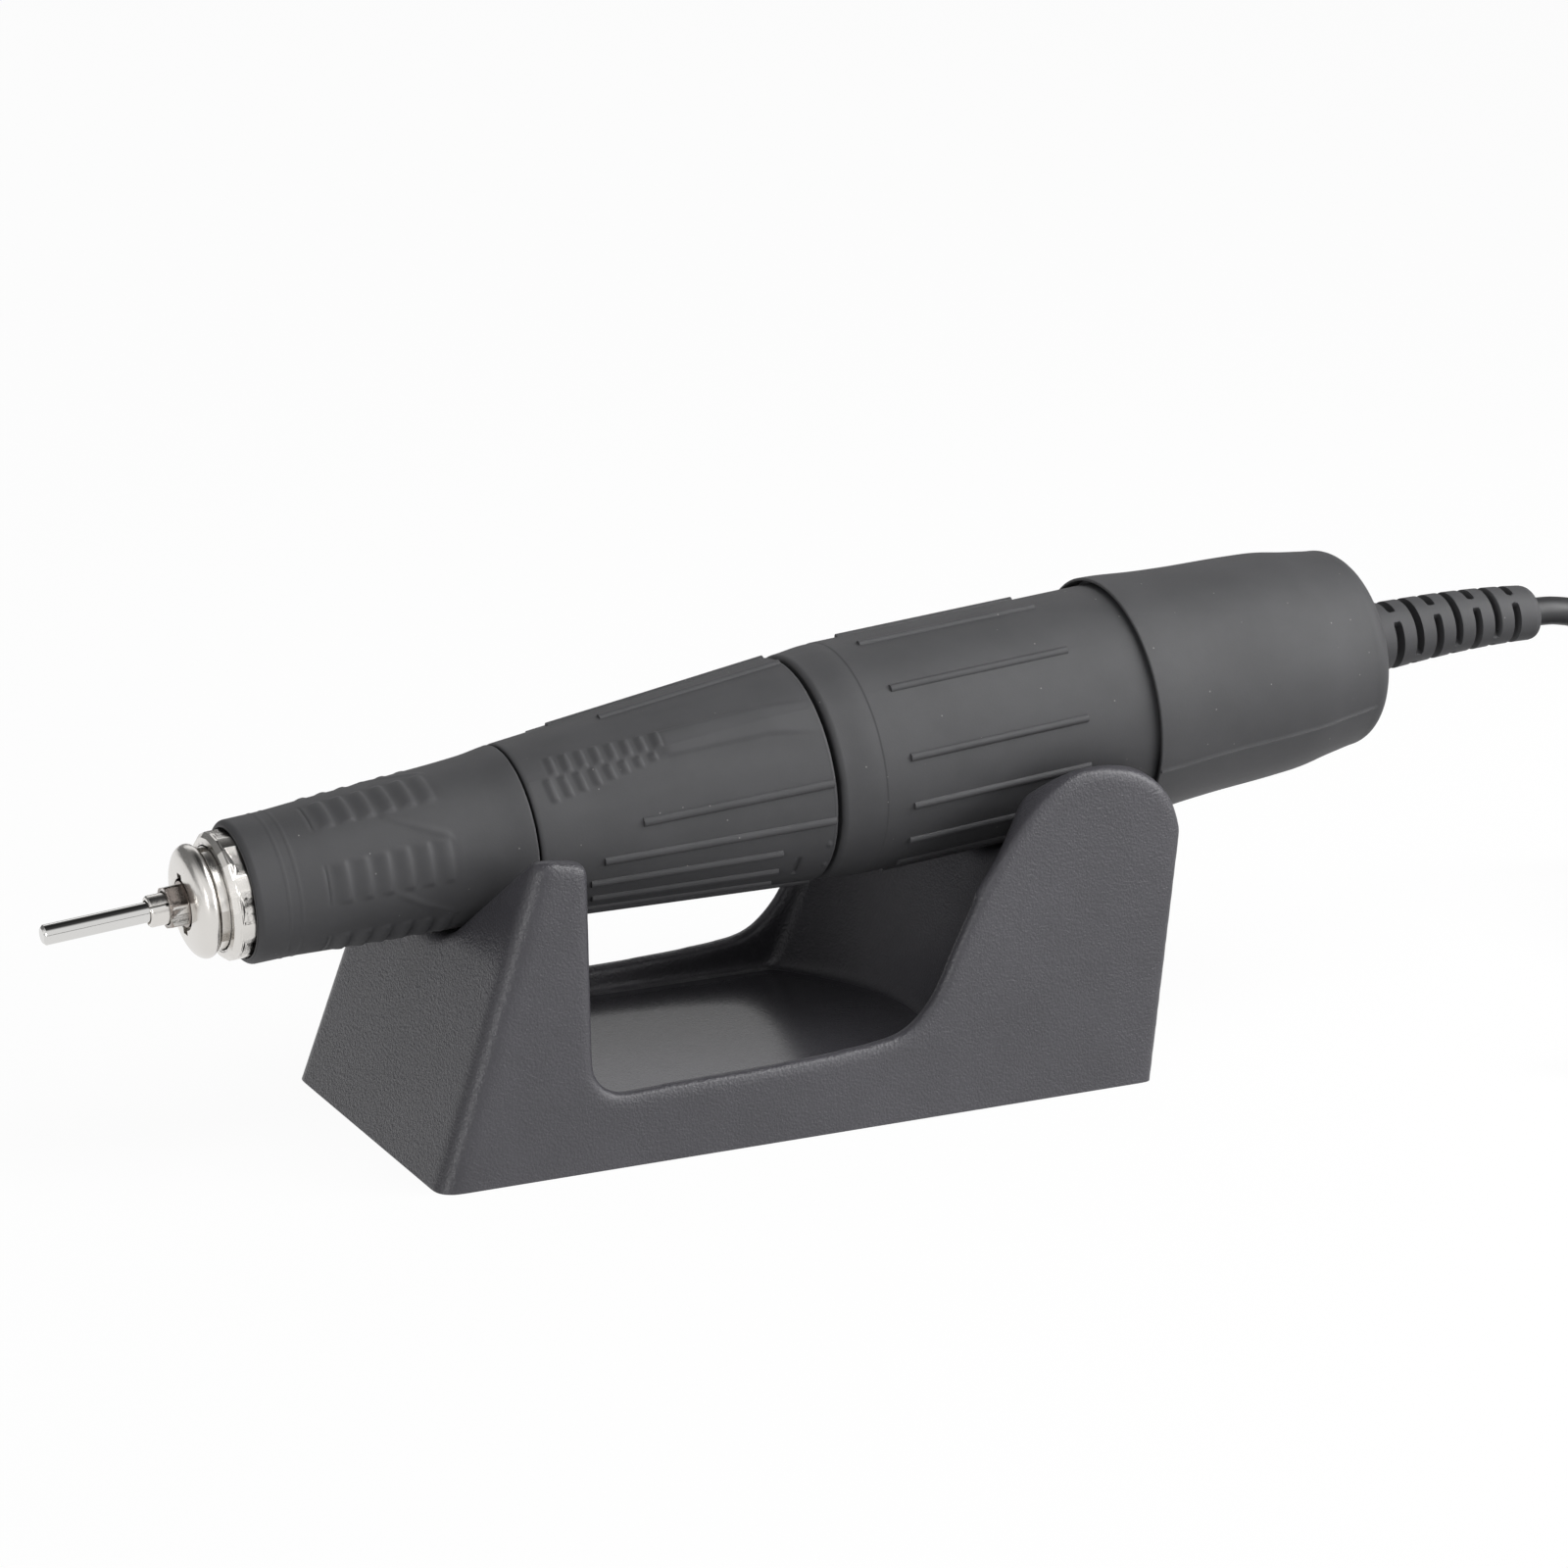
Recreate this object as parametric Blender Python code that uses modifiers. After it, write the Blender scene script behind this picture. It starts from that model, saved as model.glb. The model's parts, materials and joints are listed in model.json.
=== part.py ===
"""Nail drill handpiece lying in its moulded cradle, with its cord and plug.

Units are metres. The origin is the middle of the cradle's underside, +X runs
towards the cord and +Z up. The handpiece is built along the local X axis of an
empty that tilts it up towards the cord. Stations along that axis count from the
point above the cradle's middle, and azimuths count from the top of the handpiece
towards the side that faces -Y.
"""

import math

import bmesh
import bpy
from mathutils import Matrix, Vector

# Clearances and cutting allowances
GAP = 0.0003
FINE_GAP = 0.0002
OVERRUN = 0.001
CORD_LIFT = 0.0001
WELD_DISTANCE = 0.00001
SADDLE_OVERRUN = 0.009
POCKET_ALLOWANCE = 0.0006
BALL_GAP = 0.0002

# Facets of the turned pieces
SMALL_STEPS = 16
MIDDLE_STEPS = 24
LARGE_STEPS = 36
PIN_SIDES = 12
FILLET_POINTS = 4
SADDLE_POINTS = 10
MAGNET_ARC_POINTS = 10
PATH_STEPS = 12
CAM_SLOT_RESOLUTION = 3
CAM_SLOT_SIDES = 10

# Cradle
CRADLE_LENGTH = 0.0915
CRADLE_WIDTH = 0.0458
CRADLE_SIDE_LEAN = 0.0464
CRADLE_WALL = 0.0022
CRADLE_EDGE_RADIUS = 0.001
FRONT_SLOPE = 0.3525
TOWER_HEIGHT = 0.0364
TOWER_TOP_DEPTH = 0.0062
TOWER_TOP_DROP = 0.0011
NOTCH_GRIP_DISTANCE = 0.0104
TOWER_FOOT_RADIUS = 0.004
TOWER_TOP_RADIUS = 0.0012
RAIL_HEIGHT = 0.0086
RAIL_RISE = 0.0018
RAIL_END_RADIUS = 0.0022
EAR_HEIGHT = 0.0389
EAR_RISE_LENGTH = 0.0244
EAR_TOP_LENGTH = 0.0116
EAR_TOP_DROP = 0.0089
EAR_CLEARANCE = 0.0009
EAR_RISE_SHARES = (
    (0.102, 0.109),
    (0.193, 0.249),
    (0.299, 0.425),
    (0.402, 0.575),
    (0.533, 0.730),
    (0.660, 0.856),
    (0.754, 0.926),
    (0.869, 0.982),
    (1.000, 1.000),
)
EAR_TOP_SHARES = (
    (0.328, 0.056),
    (0.543, 0.135),
    (0.741, 0.315),
    (0.905, 0.562),
    (1.000, 1.000),
)
FLOOR_HEIGHT = 0.0055
SCOOP_SETBACK = 0.0021
SCOOP_DEPTH = 0.009
SCOOP_LEAN = 0.42
SCOOP_ARC_POINTS = 12
FRONT_FLANK = math.radians(41)
REAR_FLANK = math.radians(48)
BASE_RIB = 0.003
BASE_POCKET_COLUMNS = 3

# Handpiece axis
AXIS_HEIGHT = 0.0366
AXIS_TILT = math.radians(5)
RIB_PLANE = math.radians(42.5)

# Shank and chuck
SHANK_RADIUS = 0.001175
SHANK_REACH = 0.01235
SHANK_GRIP_DEPTH = 0.016
SHANK_CHAMFER = 0.00025
COLLET_WALL = 0.00045
COLLET_PROUD = 0.0021
COLLET_LENGTH = 0.021
COLLET_SLIT = 0.0004
COLLET_SLIT_DEPTH = 0.012
CHUCK_TRAVEL = 0.0012
DRAWBAR_REACH = 0.0032
CROSS_PIN_RADIUS = 0.0008
COLLAR_LENGTH = 0.0026
COLLAR_WALL = 0.0018

# Spindle
NOSE_ACROSS = 0.0046
NOSE_FLAT_LENGTH = 0.0021
NOSE_LENGTH = 0.0034
NOSE_PROUD = 0.0021
NOSE_CHAMFER = 0.0003
SPINDLE_WALL = 0.00095
SPINDLE_SHOULDER = 0.0014
SPINDLE_SHOULDER_LENGTH = 0.002
SPINDLE_TAIL_LENGTH = 0.0068
SPRING_WIRE_RADIUS = 0.00045
SPRING_TURNS = 6
SPRING_TURN_POINTS = 8
CLAW_SLOT = 0.0022
CLAW_TONGUE = 0.0016
CLAW_DEPTH = 0.003
CLAW_HUB_LENGTH = 0.0036

# Bearings
RACE_WALL = 0.0008
RACE_BAND = 0.00115
BEARING_LENGTH = 0.004
CAGE_WALL = 0.0004
CAGE_LENGTH = 0.001
BALL_COUNT = 7
SPACER_LENGTH = 0.009

# Nose cap
NOSE_CAP_BULGE = 0.0066
NOSE_CAP_FACE = 0.0036
NOSE_CAP_DOME_LENGTH = 0.0024
NOSE_CAP_GROOVE_LENGTH = 0.0012
NOSE_CAP_SPIGOT = 0.0024
NOSE_CAP_LIP = 0.0008
NOSE_CAP_DOME_SHARES = (
    (0.00, 0.00),
    (0.04, 0.36),
    (0.13, 0.62),
    (0.30, 0.84),
    (0.52, 0.96),
    (0.70, 1.00),
    (0.86, 0.96),
    (0.96, 0.84),
    (1.00, 0.76),
)
WINDOW_COUNT = 3
WINDOW_ARC = math.radians(41)
WINDOW_AZIMUTH = math.radians(109)
FACE_NOTCH = 0.0013
FACE_NOTCH_DEPTH = 0.0007

# Front barrel
BARREL_WALL = 0.0009
BARREL_COLLAR_HEIGHT = 0.0004
BARREL_COLLAR_LENGTH = 0.0027
BARREL_COLLAR_PROUD = 0.0024
BARREL_COLLAR_CHAMFER = 0.0005
BARREL_FLATS = 8
BARREL_FLAT_ARC = math.radians(31)
BARREL_FLAT_SETBACK = 0.0008
BARREL_FLANGE_LENGTH = 0.0024

# Front grip
GRIP_REAR_STATION = -0.028
GRIP_LENGTH = 0.0334
GRIP_FRONT_WALL = 0.00096
GRIP_RIM_RADIUS = 0.0007
GRIP_PATCHES = 6
GRIP_PATCH_AZIMUTH = math.radians(21)
GRIP_PATCH_ARC = math.radians(30)
GRIP_PATCH_START = 0.008
GRIP_PATCH_STEP = 0.0004
GRIP_PATCH_FADE = 0.0012
GRIP_PATCH_DEPTH = 0.0003
GRIP_GROOVES = 7
GRIP_GROOVE_PITCH = 0.00245
GRIP_CREST_SHARE = 0.7
GRIP_RISE_SHARES = (
    (0.045, 0.030),
    (0.150, 0.045),
    (0.280, 0.180),
    (0.420, 0.300),
    (0.540, 0.380),
    (0.660, 0.500),
    (0.780, 0.600),
    (0.900, 0.740),
    (0.960, 0.900),
)

# Twist ring and its cam
TWIST_LENGTH = 0.0361
TWIST_WALL = 0.0016
TWIST_REAR_WALL = 0.0019
TWIST_ANGLE = math.radians(60)
TWIST_EDGE = 0.0005
TWIST_BORE_CONE_LENGTH = 0.006
CAM_WALL = 0.0011
CAM_LENGTH = 0.0145
CAM_CURVE_POINTS = 9
PUSH_PIN_RADIUS = 0.001
PUSH_PIN_AZIMUTH = math.radians(90)
RIB_ROUND_SHARE = 0.7
PUSH_SLEEVE_LENGTH = 0.008
PUSH_SLEEVE_INSET = 0.0043
TWIST_RIB_WIDTH = 0.0011
TWIST_RIB_HEIGHT = 0.00035
TWIST_BARS = 8
TWIST_BAR_PITCH = 0.00188
TWIST_BAR_START = 0.0041
TWIST_BAR_WIDTH = 0.00095
TWIST_BAR_HEIGHT = 0.00025
TWIST_BAR_PARTING = math.radians(1.2)
TWIST_BAR_UPPER_ARCS = (math.radians(14.2), math.radians(10.9))
TWIST_BAR_LOWER_ARCS = (math.radians(16.3), math.radians(5.5))
TWIST_RIB_OFFSETS = (40, 60, 75.5, 90, 104.5, 120, 140)
TWIST_RIB_START_SHARES = (0.35, 0.21, 0.165, 0.18, 0.165, 0.21, 0.35)
TWIST_RIB_END_SHARES = (0.98, 0.98, 0.82, 0.82, 0.82, 0.98, 0.98)

# Motor housing
NECK_RADIUS = 0.0112
NECK_WALL = 0.0015
NECK_LENGTH = 0.0079
SEAM_GAP = 0.0006
SLEEVE_LENGTH = 0.0433
SLEEVE_WALL = 0.0017
SLEEVE_FRONT_WALL = 0.002
SLEEVE_NOSE_DROP = 0.0006
SLEEVE_NOSE_LENGTH = 0.0048
SLEEVE_TAIL_LENGTH = 0.0055
SLEEVE_TAIL_STEP = 0.0009
SLEEVE_EDGE = 0.0004
SLEEVE_RIB_OFFSETS = (0, 35.5, 60, 81.5, 102.5, 123.5, 144.5, 166)
SLEEVE_RIB_START_SHARE = 0.21
SLEEVE_RIB_END_SHARE = 0.76
SLEEVE_RIB_WIDTH = 0.001
SLEEVE_RIB_HEIGHT = 0.0004

# Motor
SHAFT_RADIUS = 0.0015
ROTOR_RADIUS = 0.0083
ROTOR_LENGTH = 0.020
ROTOR_TEETH = 7
ROTOR_CORE_RADIUS = 0.0042
ROTOR_TIP_THICKNESS = 0.0011
ROTOR_SLOT_MOUTH_SHARE = 0.2
ROTOR_TOOTH_SHARE = 0.34
AIR_GAP = 0.0004
MAGNET_THICKNESS = 0.0022
MAGNET_ARC = math.radians(140)
MAGNET_OVERHANG = 0.001
CAN_WALL = 0.001
CAN_PLATE = 0.0012
CAN_BOSS_LENGTH = 0.0035
CAN_BOSS_WALL = 0.001
CAN_BOSS_LIP = 0.0006
WINDING_LENGTH = 0.0032
WINDING_RADIUS = 0.0072
WINDING_CLEARANCE = 0.0008
COMMUTATOR_RADIUS = 0.0034
COMMUTATOR_LENGTH = 0.0042
COMMUTATOR_BARS = 7
COMMUTATOR_SLIT = 0.0005
COMMUTATOR_SLIT_DEPTH = 0.0006
MOTOR_BEARING_LENGTH = 0.003
MOTOR_BEARING_WALL = 0.0007
MOTOR_BEARING_BAND = 0.0009
END_BELL_THICKNESS = 0.0042
END_BELL_CLEARANCE = 0.0012
END_BELL_SEAT = 0.0006
BRUSH_WIDTH = 0.002
BRUSH_THICKNESS = 0.003
BRUSH_LENGTH = 0.0036
BRUSH_SPRING_RADIUS = 0.0008
BRUSH_SPRING_WIRE = 0.00018
BRUSH_SPRING_TURNS = 3
HOLDER_WALL = 0.0006
TERMINAL_WIRE_RADIUS = 0.0006
BRUSH_AZIMUTHS = (math.radians(90), math.radians(270))
BRUSH_SPRING_POINTS = 8
WIRE_SHARES = ((0.0, 0.95), (0.25, 0.92), (0.6, 0.75), (0.85, 0.42), (1.0, 0.3))
WIRE_POINTS = 7

# Rear cap and strain relief
CAP_LENGTH = 0.0360
CAP_LIP_DEPTH = 0.002
CAP_LIP_EDGE = 0.0003
CAP_WALL = 0.0015
CAP_END_WALL = 0.002
CAP_TAPER = 0.0031
CAP_CORNER = 0.0026
CAP_CORNER_POINTS = 3
CAP_CORNER_SHARE = 0.88
CAP_TAPER_SHARES = (
    (0.056, 0.010),
    (0.205, 0.177),
    (0.353, 0.274),
    (0.547, 0.340),
    (0.700, 0.435),
    (0.814, 0.680),
    (0.889, 0.790),
)
RELIEF_RADIUS = 0.0044
RELIEF_END_RADIUS = 0.00345
RELIEF_LENGTH = 0.0258
RELIEF_FLANGE_RADIUS = 0.0062
RELIEF_FLANGE_LENGTH = 0.002
RELIEF_DROOP = 0.0012
RELIEF_SIDES = 16
RELIEF_END_EDGE = 0.001
RELIEF_SLOTS = 7
RELIEF_SLOT_START = 0.00425
RELIEF_SLOT_PITCH = 0.00293
RELIEF_SLOT_WIDTH = 0.0011
RELIEF_SLOT_DEPTH = 0.0011
RELIEF_SLOT_FLANK = 0.00015

# Cord and plug
CORD_RADIUS = 0.0018
COIL_TURNS = 5
COIL_GAP = 0.00105
COIL_LAYER_GAP = 0.00105
COIL_INNER_RADIUS = 0.0085
COIL_CENTRE_X = 0.157
COIL_CENTRE_Y = -0.0106
COIL_START_ANGLE = math.radians(86)
COIL_LOOP_POINTS = 24
LEAD_ROUTE = (
    (0.1205, 0.0008, 0.0437),
    (0.1252, 0.0033, 0.0399),
    (0.1289, 0.0071, 0.0343),
    (0.1322, 0.0115, 0.0277),
    (0.1353, 0.0160, 0.0209),
    (0.1389, 0.0198, 0.0147),
    (0.1440, 0.0227, 0.0091),
)
LEAD_POINTS = 15
PLUG_RADIUS = 0.0044
PLUG_LENGTH = 0.020
PLUG_TAIL_LENGTH = 0.009
PLUG_TAIL_RADIUS = 0.0033
PLUG_NECK_LENGTH = 0.0022
PLUG_EDGE = 0.0009
PLUG_GRIP_RIBS = 3
PLUG_BARREL_RADIUS = 0.00275
PLUG_BARREL_BORE = 0.0013
PLUG_BARREL_LENGTH = 0.0095
PLUG_RING_LENGTH = 0.0009
TAIL_LENGTH = 0.014
PLUG_HEADING = math.radians(180)
TAIL_POINTS = 8
TAIL_STRAIGHT_SHARE = 0.1
PLUG_RIB_SHARE = 0.45

# Radii that follow from the pieces inside one another
COLLET_BORE = SHANK_RADIUS + FINE_GAP
COLLET_RADIUS = COLLET_BORE + COLLET_WALL
SPINDLE_BORE = COLLET_RADIUS + FINE_GAP
SPINDLE_RADIUS = SPINDLE_BORE + SPINDLE_WALL
DRAWBAR_RADIUS = COLLET_RADIUS
RACE_BORE = SPINDLE_RADIUS + FINE_GAP
INNER_RACE_RADIUS = RACE_BORE + RACE_WALL
OUTER_RACE_BORE = INNER_RACE_RADIUS + RACE_BAND
BEARING_RADIUS = OUTER_RACE_BORE + RACE_WALL
BARREL_BORE = BEARING_RADIUS + FINE_GAP
BARREL_RADIUS = BARREL_BORE + BARREL_WALL
BARREL_COLLAR_RADIUS = BARREL_RADIUS + BARREL_COLLAR_HEIGHT
COLLAR_RADIUS = RACE_BORE + COLLAR_WALL
BARREL_TAIL_BORE = COLLAR_RADIUS + GAP
NOSE_CORNER_RADIUS = NOSE_ACROSS / 2 / math.cos(math.pi / 6)
GRIP_BORE = BARREL_RADIUS + GAP
GRIP_FRONT_RADIUS = GRIP_BORE + GRIP_FRONT_WALL
CAM_BORE = BARREL_RADIUS + GAP
CAM_RADIUS = CAM_BORE + CAM_WALL
TWIST_BORE = CAM_RADIUS + GAP
TWIST_FRONT_RADIUS = TWIST_BORE + TWIST_WALL
TWIST_REAR_BORE = NECK_RADIUS + GAP
TWIST_REAR_RADIUS = TWIST_REAR_BORE + TWIST_REAR_WALL
MAGNET_BORE = ROTOR_RADIUS + AIR_GAP
MAGNET_RADIUS = MAGNET_BORE + MAGNET_THICKNESS
CAN_BORE = MAGNET_RADIUS + FINE_GAP
CAN_RADIUS = CAN_BORE + CAN_WALL
SLEEVE_BORE = CAN_RADIUS + FINE_GAP
SLEEVE_RADIUS = SLEEVE_BORE + SLEEVE_WALL
SLEEVE_TAIL_RADIUS = SLEEVE_RADIUS - SLEEVE_TAIL_STEP
CAP_BORE = SLEEVE_TAIL_RADIUS + GAP
CAP_RADIUS = CAP_BORE + CAP_WALL
CAP_MOUTH_BORE = SLEEVE_RADIUS + GAP
SHAFT_RACE_BORE = SHAFT_RADIUS + FINE_GAP
SHAFT_RACE_RADIUS = SHAFT_RACE_BORE + MOTOR_BEARING_WALL
MOTOR_RACE_BORE = SHAFT_RACE_RADIUS + MOTOR_BEARING_BAND
MOTOR_BEARING_RADIUS = MOTOR_RACE_BORE + MOTOR_BEARING_WALL
CAN_BOSS_BORE = MOTOR_BEARING_RADIUS + FINE_GAP
CAN_BOSS_RADIUS = CAN_BOSS_BORE + CAN_BOSS_WALL

# Stations that follow from one another
TWIST_FRONT = GRIP_REAR_STATION + GAP
TWIST_REAR = TWIST_FRONT + TWIST_LENGTH
SLEEVE_FRONT = TWIST_REAR + SEAM_GAP
SLEEVE_REAR = SLEEVE_FRONT + SLEEVE_LENGTH
NECK_FRONT = SLEEVE_FRONT - NECK_LENGTH
BARREL_REAR = NECK_FRONT - GAP
CAP_FRONT = SLEEVE_REAR + GAP - CAP_LIP_DEPTH
CAP_REAR = CAP_FRONT + CAP_LENGTH
GRIP_FRONT = GRIP_REAR_STATION - GRIP_LENGTH
BARREL_FRONT = GRIP_FRONT - BARREL_COLLAR_PROUD
NOSE_CAP_FRONT = BARREL_FRONT - NOSE_CAP_DOME_LENGTH - NOSE_CAP_GROOVE_LENGTH
NOSE_FRONT = NOSE_CAP_FRONT - NOSE_PROUD
COLLET_FRONT = NOSE_FRONT - COLLET_PROUD
COLLET_REAR = COLLET_FRONT + COLLET_LENGTH
SHANK_FRONT = COLLET_FRONT - SHANK_REACH
SHANK_REAR = COLLET_FRONT + SHANK_GRIP_DEPTH
FRONT_BEARING = BARREL_FRONT + NOSE_CAP_SPIGOT + GAP
SPACER_FRONT = FRONT_BEARING + BEARING_LENGTH + GAP
MIDDLE_BEARING = SPACER_FRONT + SPACER_LENGTH + GAP
BARREL_STEP = MIDDLE_BEARING + BEARING_LENGTH + GAP
SPRING_FRONT = BARREL_STEP + SPINDLE_SHOULDER_LENGTH + GAP
CAM_FRONT = TWIST_FRONT
CAM_REAR = CAM_FRONT + CAM_LENGTH
PUSH_SLEEVE_FRONT = CAM_FRONT + PUSH_SLEEVE_INSET
PUSH_SLEEVE_REAR = PUSH_SLEEVE_FRONT + PUSH_SLEEVE_LENGTH
PUSH_PIN_STATION = (PUSH_SLEEVE_FRONT + PUSH_SLEEVE_REAR) / 2
COLLAR_REAR = PUSH_SLEEVE_FRONT - GAP
COLLAR_FRONT = COLLAR_REAR - COLLAR_LENGTH
CROSS_PIN_STATION = (COLLAR_FRONT + COLLAR_REAR) / 2
SPRING_REAR = COLLAR_FRONT - CHUCK_TRAVEL - GAP
DRAWBAR_REAR = COLLAR_REAR + DRAWBAR_REACH
SPINDLE_BORE_REAR = DRAWBAR_REAR + GAP
SPINDLE_REAR = SPINDLE_BORE_REAR + SPINDLE_TAIL_LENGTH
CLAW_FRONT = SPINDLE_REAR + GAP
CLAW_REAR = CLAW_FRONT + CLAW_HUB_LENGTH
CAN_FRONT = SLEEVE_FRONT + SLEEVE_FRONT_WALL + GAP
CAN_BOSS_FRONT = CAN_FRONT + CAN_PLATE - CAN_BOSS_LENGTH
MOTOR_BEARING_FRONT = CAN_BOSS_FRONT + CAN_BOSS_LIP + GAP
WINDING_FRONT = CAN_FRONT + CAN_PLATE + WINDING_CLEARANCE
ROTOR_FRONT = WINDING_FRONT + WINDING_LENGTH + GAP
ROTOR_REAR = ROTOR_FRONT + ROTOR_LENGTH
WINDING_REAR = ROTOR_REAR + GAP
COMMUTATOR_FRONT = WINDING_REAR + WINDING_LENGTH + GAP
COMMUTATOR_REAR = COMMUTATOR_FRONT + COMMUTATOR_LENGTH
END_BELL_FRONT = COMMUTATOR_REAR + END_BELL_CLEARANCE
END_BELL_REAR = END_BELL_FRONT + END_BELL_THICKNESS
CAN_REAR = END_BELL_FRONT - GAP
REAR_BEARING = END_BELL_REAR - MOTOR_BEARING_LENGTH - END_BELL_SEAT
SHAFT_REAR = END_BELL_REAR
BRUSH_STATION = (COMMUTATOR_FRONT + COMMUTATOR_REAR) / 2
RELIEF_REAR = CAP_REAR + RELIEF_LENGTH

# Places on the cradle that follow from its sizes and from the handpiece
BASE_FRONT_X = -CRADLE_LENGTH / 2
BASE_REAR_X = CRADLE_LENGTH / 2
TOWER_FRONT_X = BASE_FRONT_X + FRONT_SLOPE * TOWER_HEIGHT
TOWER_REAR_X = TOWER_FRONT_X + TOWER_TOP_DEPTH
EAR_REAR_X = CAP_FRONT * math.cos(AXIS_TILT) - EAR_CLEARANCE
EAR_TOP_X = EAR_REAR_X - EAR_TOP_LENGTH
RAIL_END_X = EAR_TOP_X - EAR_RISE_LENGTH
RAIL_END_HEIGHT = RAIL_HEIGHT + RAIL_RISE
SCOOP_EDGE_X = RAIL_END_X + SCOOP_SETBACK

NOTCH_STATIONS = (TWIST_FRONT - NOTCH_GRIP_DISTANCE, TWIST_FRONT)
SEAT_RADIUS = SLEEVE_RADIUS + SLEEVE_RIB_HEIGHT + GAP

# Colour, roughness and metallic value of each material
FINISHES = {
    "Grained plastic": ((0.045, 0.045, 0.047), 0.55, 0.0),
    "Soft rubber": ((0.032, 0.032, 0.033), 0.62, 0.0),
    "Moulded plastic": ((0.028, 0.028, 0.029), 0.45, 0.0),
    "Satin steel": ((0.62, 0.61, 0.60), 0.28, 1.0),
    "Polished steel": ((0.72, 0.72, 0.72), 0.12, 1.0),
    "Spring steel": ((0.45, 0.45, 0.46), 0.30, 1.0),
    "Anodised aluminium": ((0.55, 0.56, 0.58), 0.35, 1.0),
    "Copper": ((0.72, 0.33, 0.16), 0.35, 1.0),
    "Laminated steel": ((0.30, 0.31, 0.33), 0.45, 1.0),
    "Ferrite": ((0.06, 0.06, 0.065), 0.60, 0.0),
    "Carbon": ((0.02, 0.02, 0.02), 0.50, 0.0),
    "Cord jacket": ((0.022, 0.022, 0.023), 0.50, 0.0),
    "Plated brass": ((0.70, 0.68, 0.62), 0.22, 1.0),
}


def clear_scene():
    """Remove the objects of the scene that Blender starts with."""
    for obj in list(bpy.data.objects):
        bpy.data.objects.remove(obj)


def make_collection(name, hidden=False):
    """Return a new collection linked to the scene."""
    collection = bpy.data.collections.new(name)
    collection.hide_render = hidden
    bpy.context.scene.collection.children.link(collection)
    return collection


def finish(name):
    """Return the named material, made on first use."""
    material = bpy.data.materials.get(name)
    if material is None:
        colour, roughness, metallic = FINISHES[name]
        material = bpy.data.materials.new(name)
        material.use_nodes = True
        shader = material.node_tree.nodes["Principled BSDF"]
        shader.inputs["Base Color"].default_value = (*colour, 1.0)
        shader.inputs["Roughness"].default_value = roughness
        shader.inputs["Metallic"].default_value = metallic
    return material


def place(name, data, material, parent=None):
    """Link a visible piece and give it its material."""
    obj = bpy.data.objects.new(name, data)
    PARTS.objects.link(obj)
    obj.parent = parent
    data.materials.append(finish(material))
    return obj


def place_cutter(name, data, parent=None):
    """Link a helper that only shapes other pieces."""
    obj = bpy.data.objects.new(name, data)
    CUTTERS.objects.link(obj)
    obj.parent = parent
    obj.hide_render = True
    obj.display_type = "WIRE"
    return obj


def combine(obj, other, operation):
    """Cut obj with the other piece, or join the other piece to it."""
    modifier = obj.modifiers.new(other.name, "BOOLEAN")
    modifier.operation = operation
    modifier.object = other
    return obj


def cut(obj, *cutters):
    """Take each cutter away from obj."""
    for cutter in cutters:
        combine(obj, cutter, "DIFFERENCE")
    return obj


def baked(obj):
    """Turn a curve or a modified mesh into a plain mesh object with the same name."""
    graph = bpy.context.evaluated_depsgraph_get()
    mesh = bpy.data.meshes.new_from_object(obj.evaluated_get(graph))
    solid = bmesh.new()
    solid.from_mesh(mesh)
    bmesh.ops.remove_doubles(solid, verts=solid.verts, dist=WELD_DISTANCE)
    bmesh.ops.recalc_face_normals(solid, faces=solid.faces)
    solid.to_mesh(mesh)
    solid.free()
    name = obj.name
    parent = obj.parent
    placement = obj.matrix_local.copy()
    collection = obj.users_collection[0]
    bpy.data.objects.remove(obj)
    result = bpy.data.objects.new(name, mesh)
    collection.objects.link(result)
    result.parent = parent
    result.matrix_local = placement
    return result


def profile_mesh(name, profile, closed):
    """Return the wire of a turned profile of (station, radius) points.

    The profile is listed with its outer side from front to rear, and is laid
    the other way round because the Screw wants it so about the X axis.
    """
    mesh = bpy.data.meshes.new(name)
    points = [(station, 0, radius) for station, radius in reversed(profile)]
    edges = [(index, index + 1) for index in range(len(points) - 1)]
    if closed:
        edges.append((len(points) - 1, 0))
    mesh.from_pydata(points, edges, [])
    return mesh


def add_turn(obj, steps):
    """Turn a profile about the X axis."""
    screw = obj.modifiers.new("Turn", "SCREW")
    screw.axis = "X"
    screw.steps = steps
    screw.render_steps = steps
    screw.use_smooth_shade = True
    screw.use_merge_vertices = True
    screw.merge_threshold = WELD_DISTANCE
    return obj


def is_closed(profile):
    """A profile that ends on the axis is a solid, and any other one is a ring."""
    return profile[0][1] > 0 or profile[-1][1] > 0


def turned(name, profile, steps, material, parent=None):
    """Make a turned piece from its (station, radius) profile."""
    mesh = profile_mesh(name, profile, is_closed(profile))
    return add_turn(place(name, mesh, material, parent or AXIS), steps)


def turned_cutter(name, profile, steps, parent=None):
    """Make a turned cutter from its (station, radius) profile."""
    mesh = profile_mesh(name, profile, is_closed(profile))
    return add_turn(place_cutter(name, mesh, parent or AXIS), steps)


def ring_profile(front, rear, bore, radius, edge=0.0):
    """Return the section of a plain ring, with both outer edges chamfered."""
    if edge == 0:
        return [(front, radius), (rear, radius), (rear, bore), (front, bore)]
    return [
        (front, radius - edge),
        (front + edge, radius),
        (rear - edge, radius),
        (rear, radius - edge),
        (rear, bore),
        (front, bore),
    ]


def rod_profile(front, rear, radius, edge=0.0):
    """Return the half section of a plain rod, with both ends chamfered."""
    if edge == 0:
        return [(front, 0), (front, radius), (rear, radius), (rear, 0)]
    return [
        (front, 0),
        (front, radius - edge),
        (front + edge, radius),
        (rear - edge, radius),
        (rear, radius - edge),
        (rear, 0),
    ]


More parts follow.
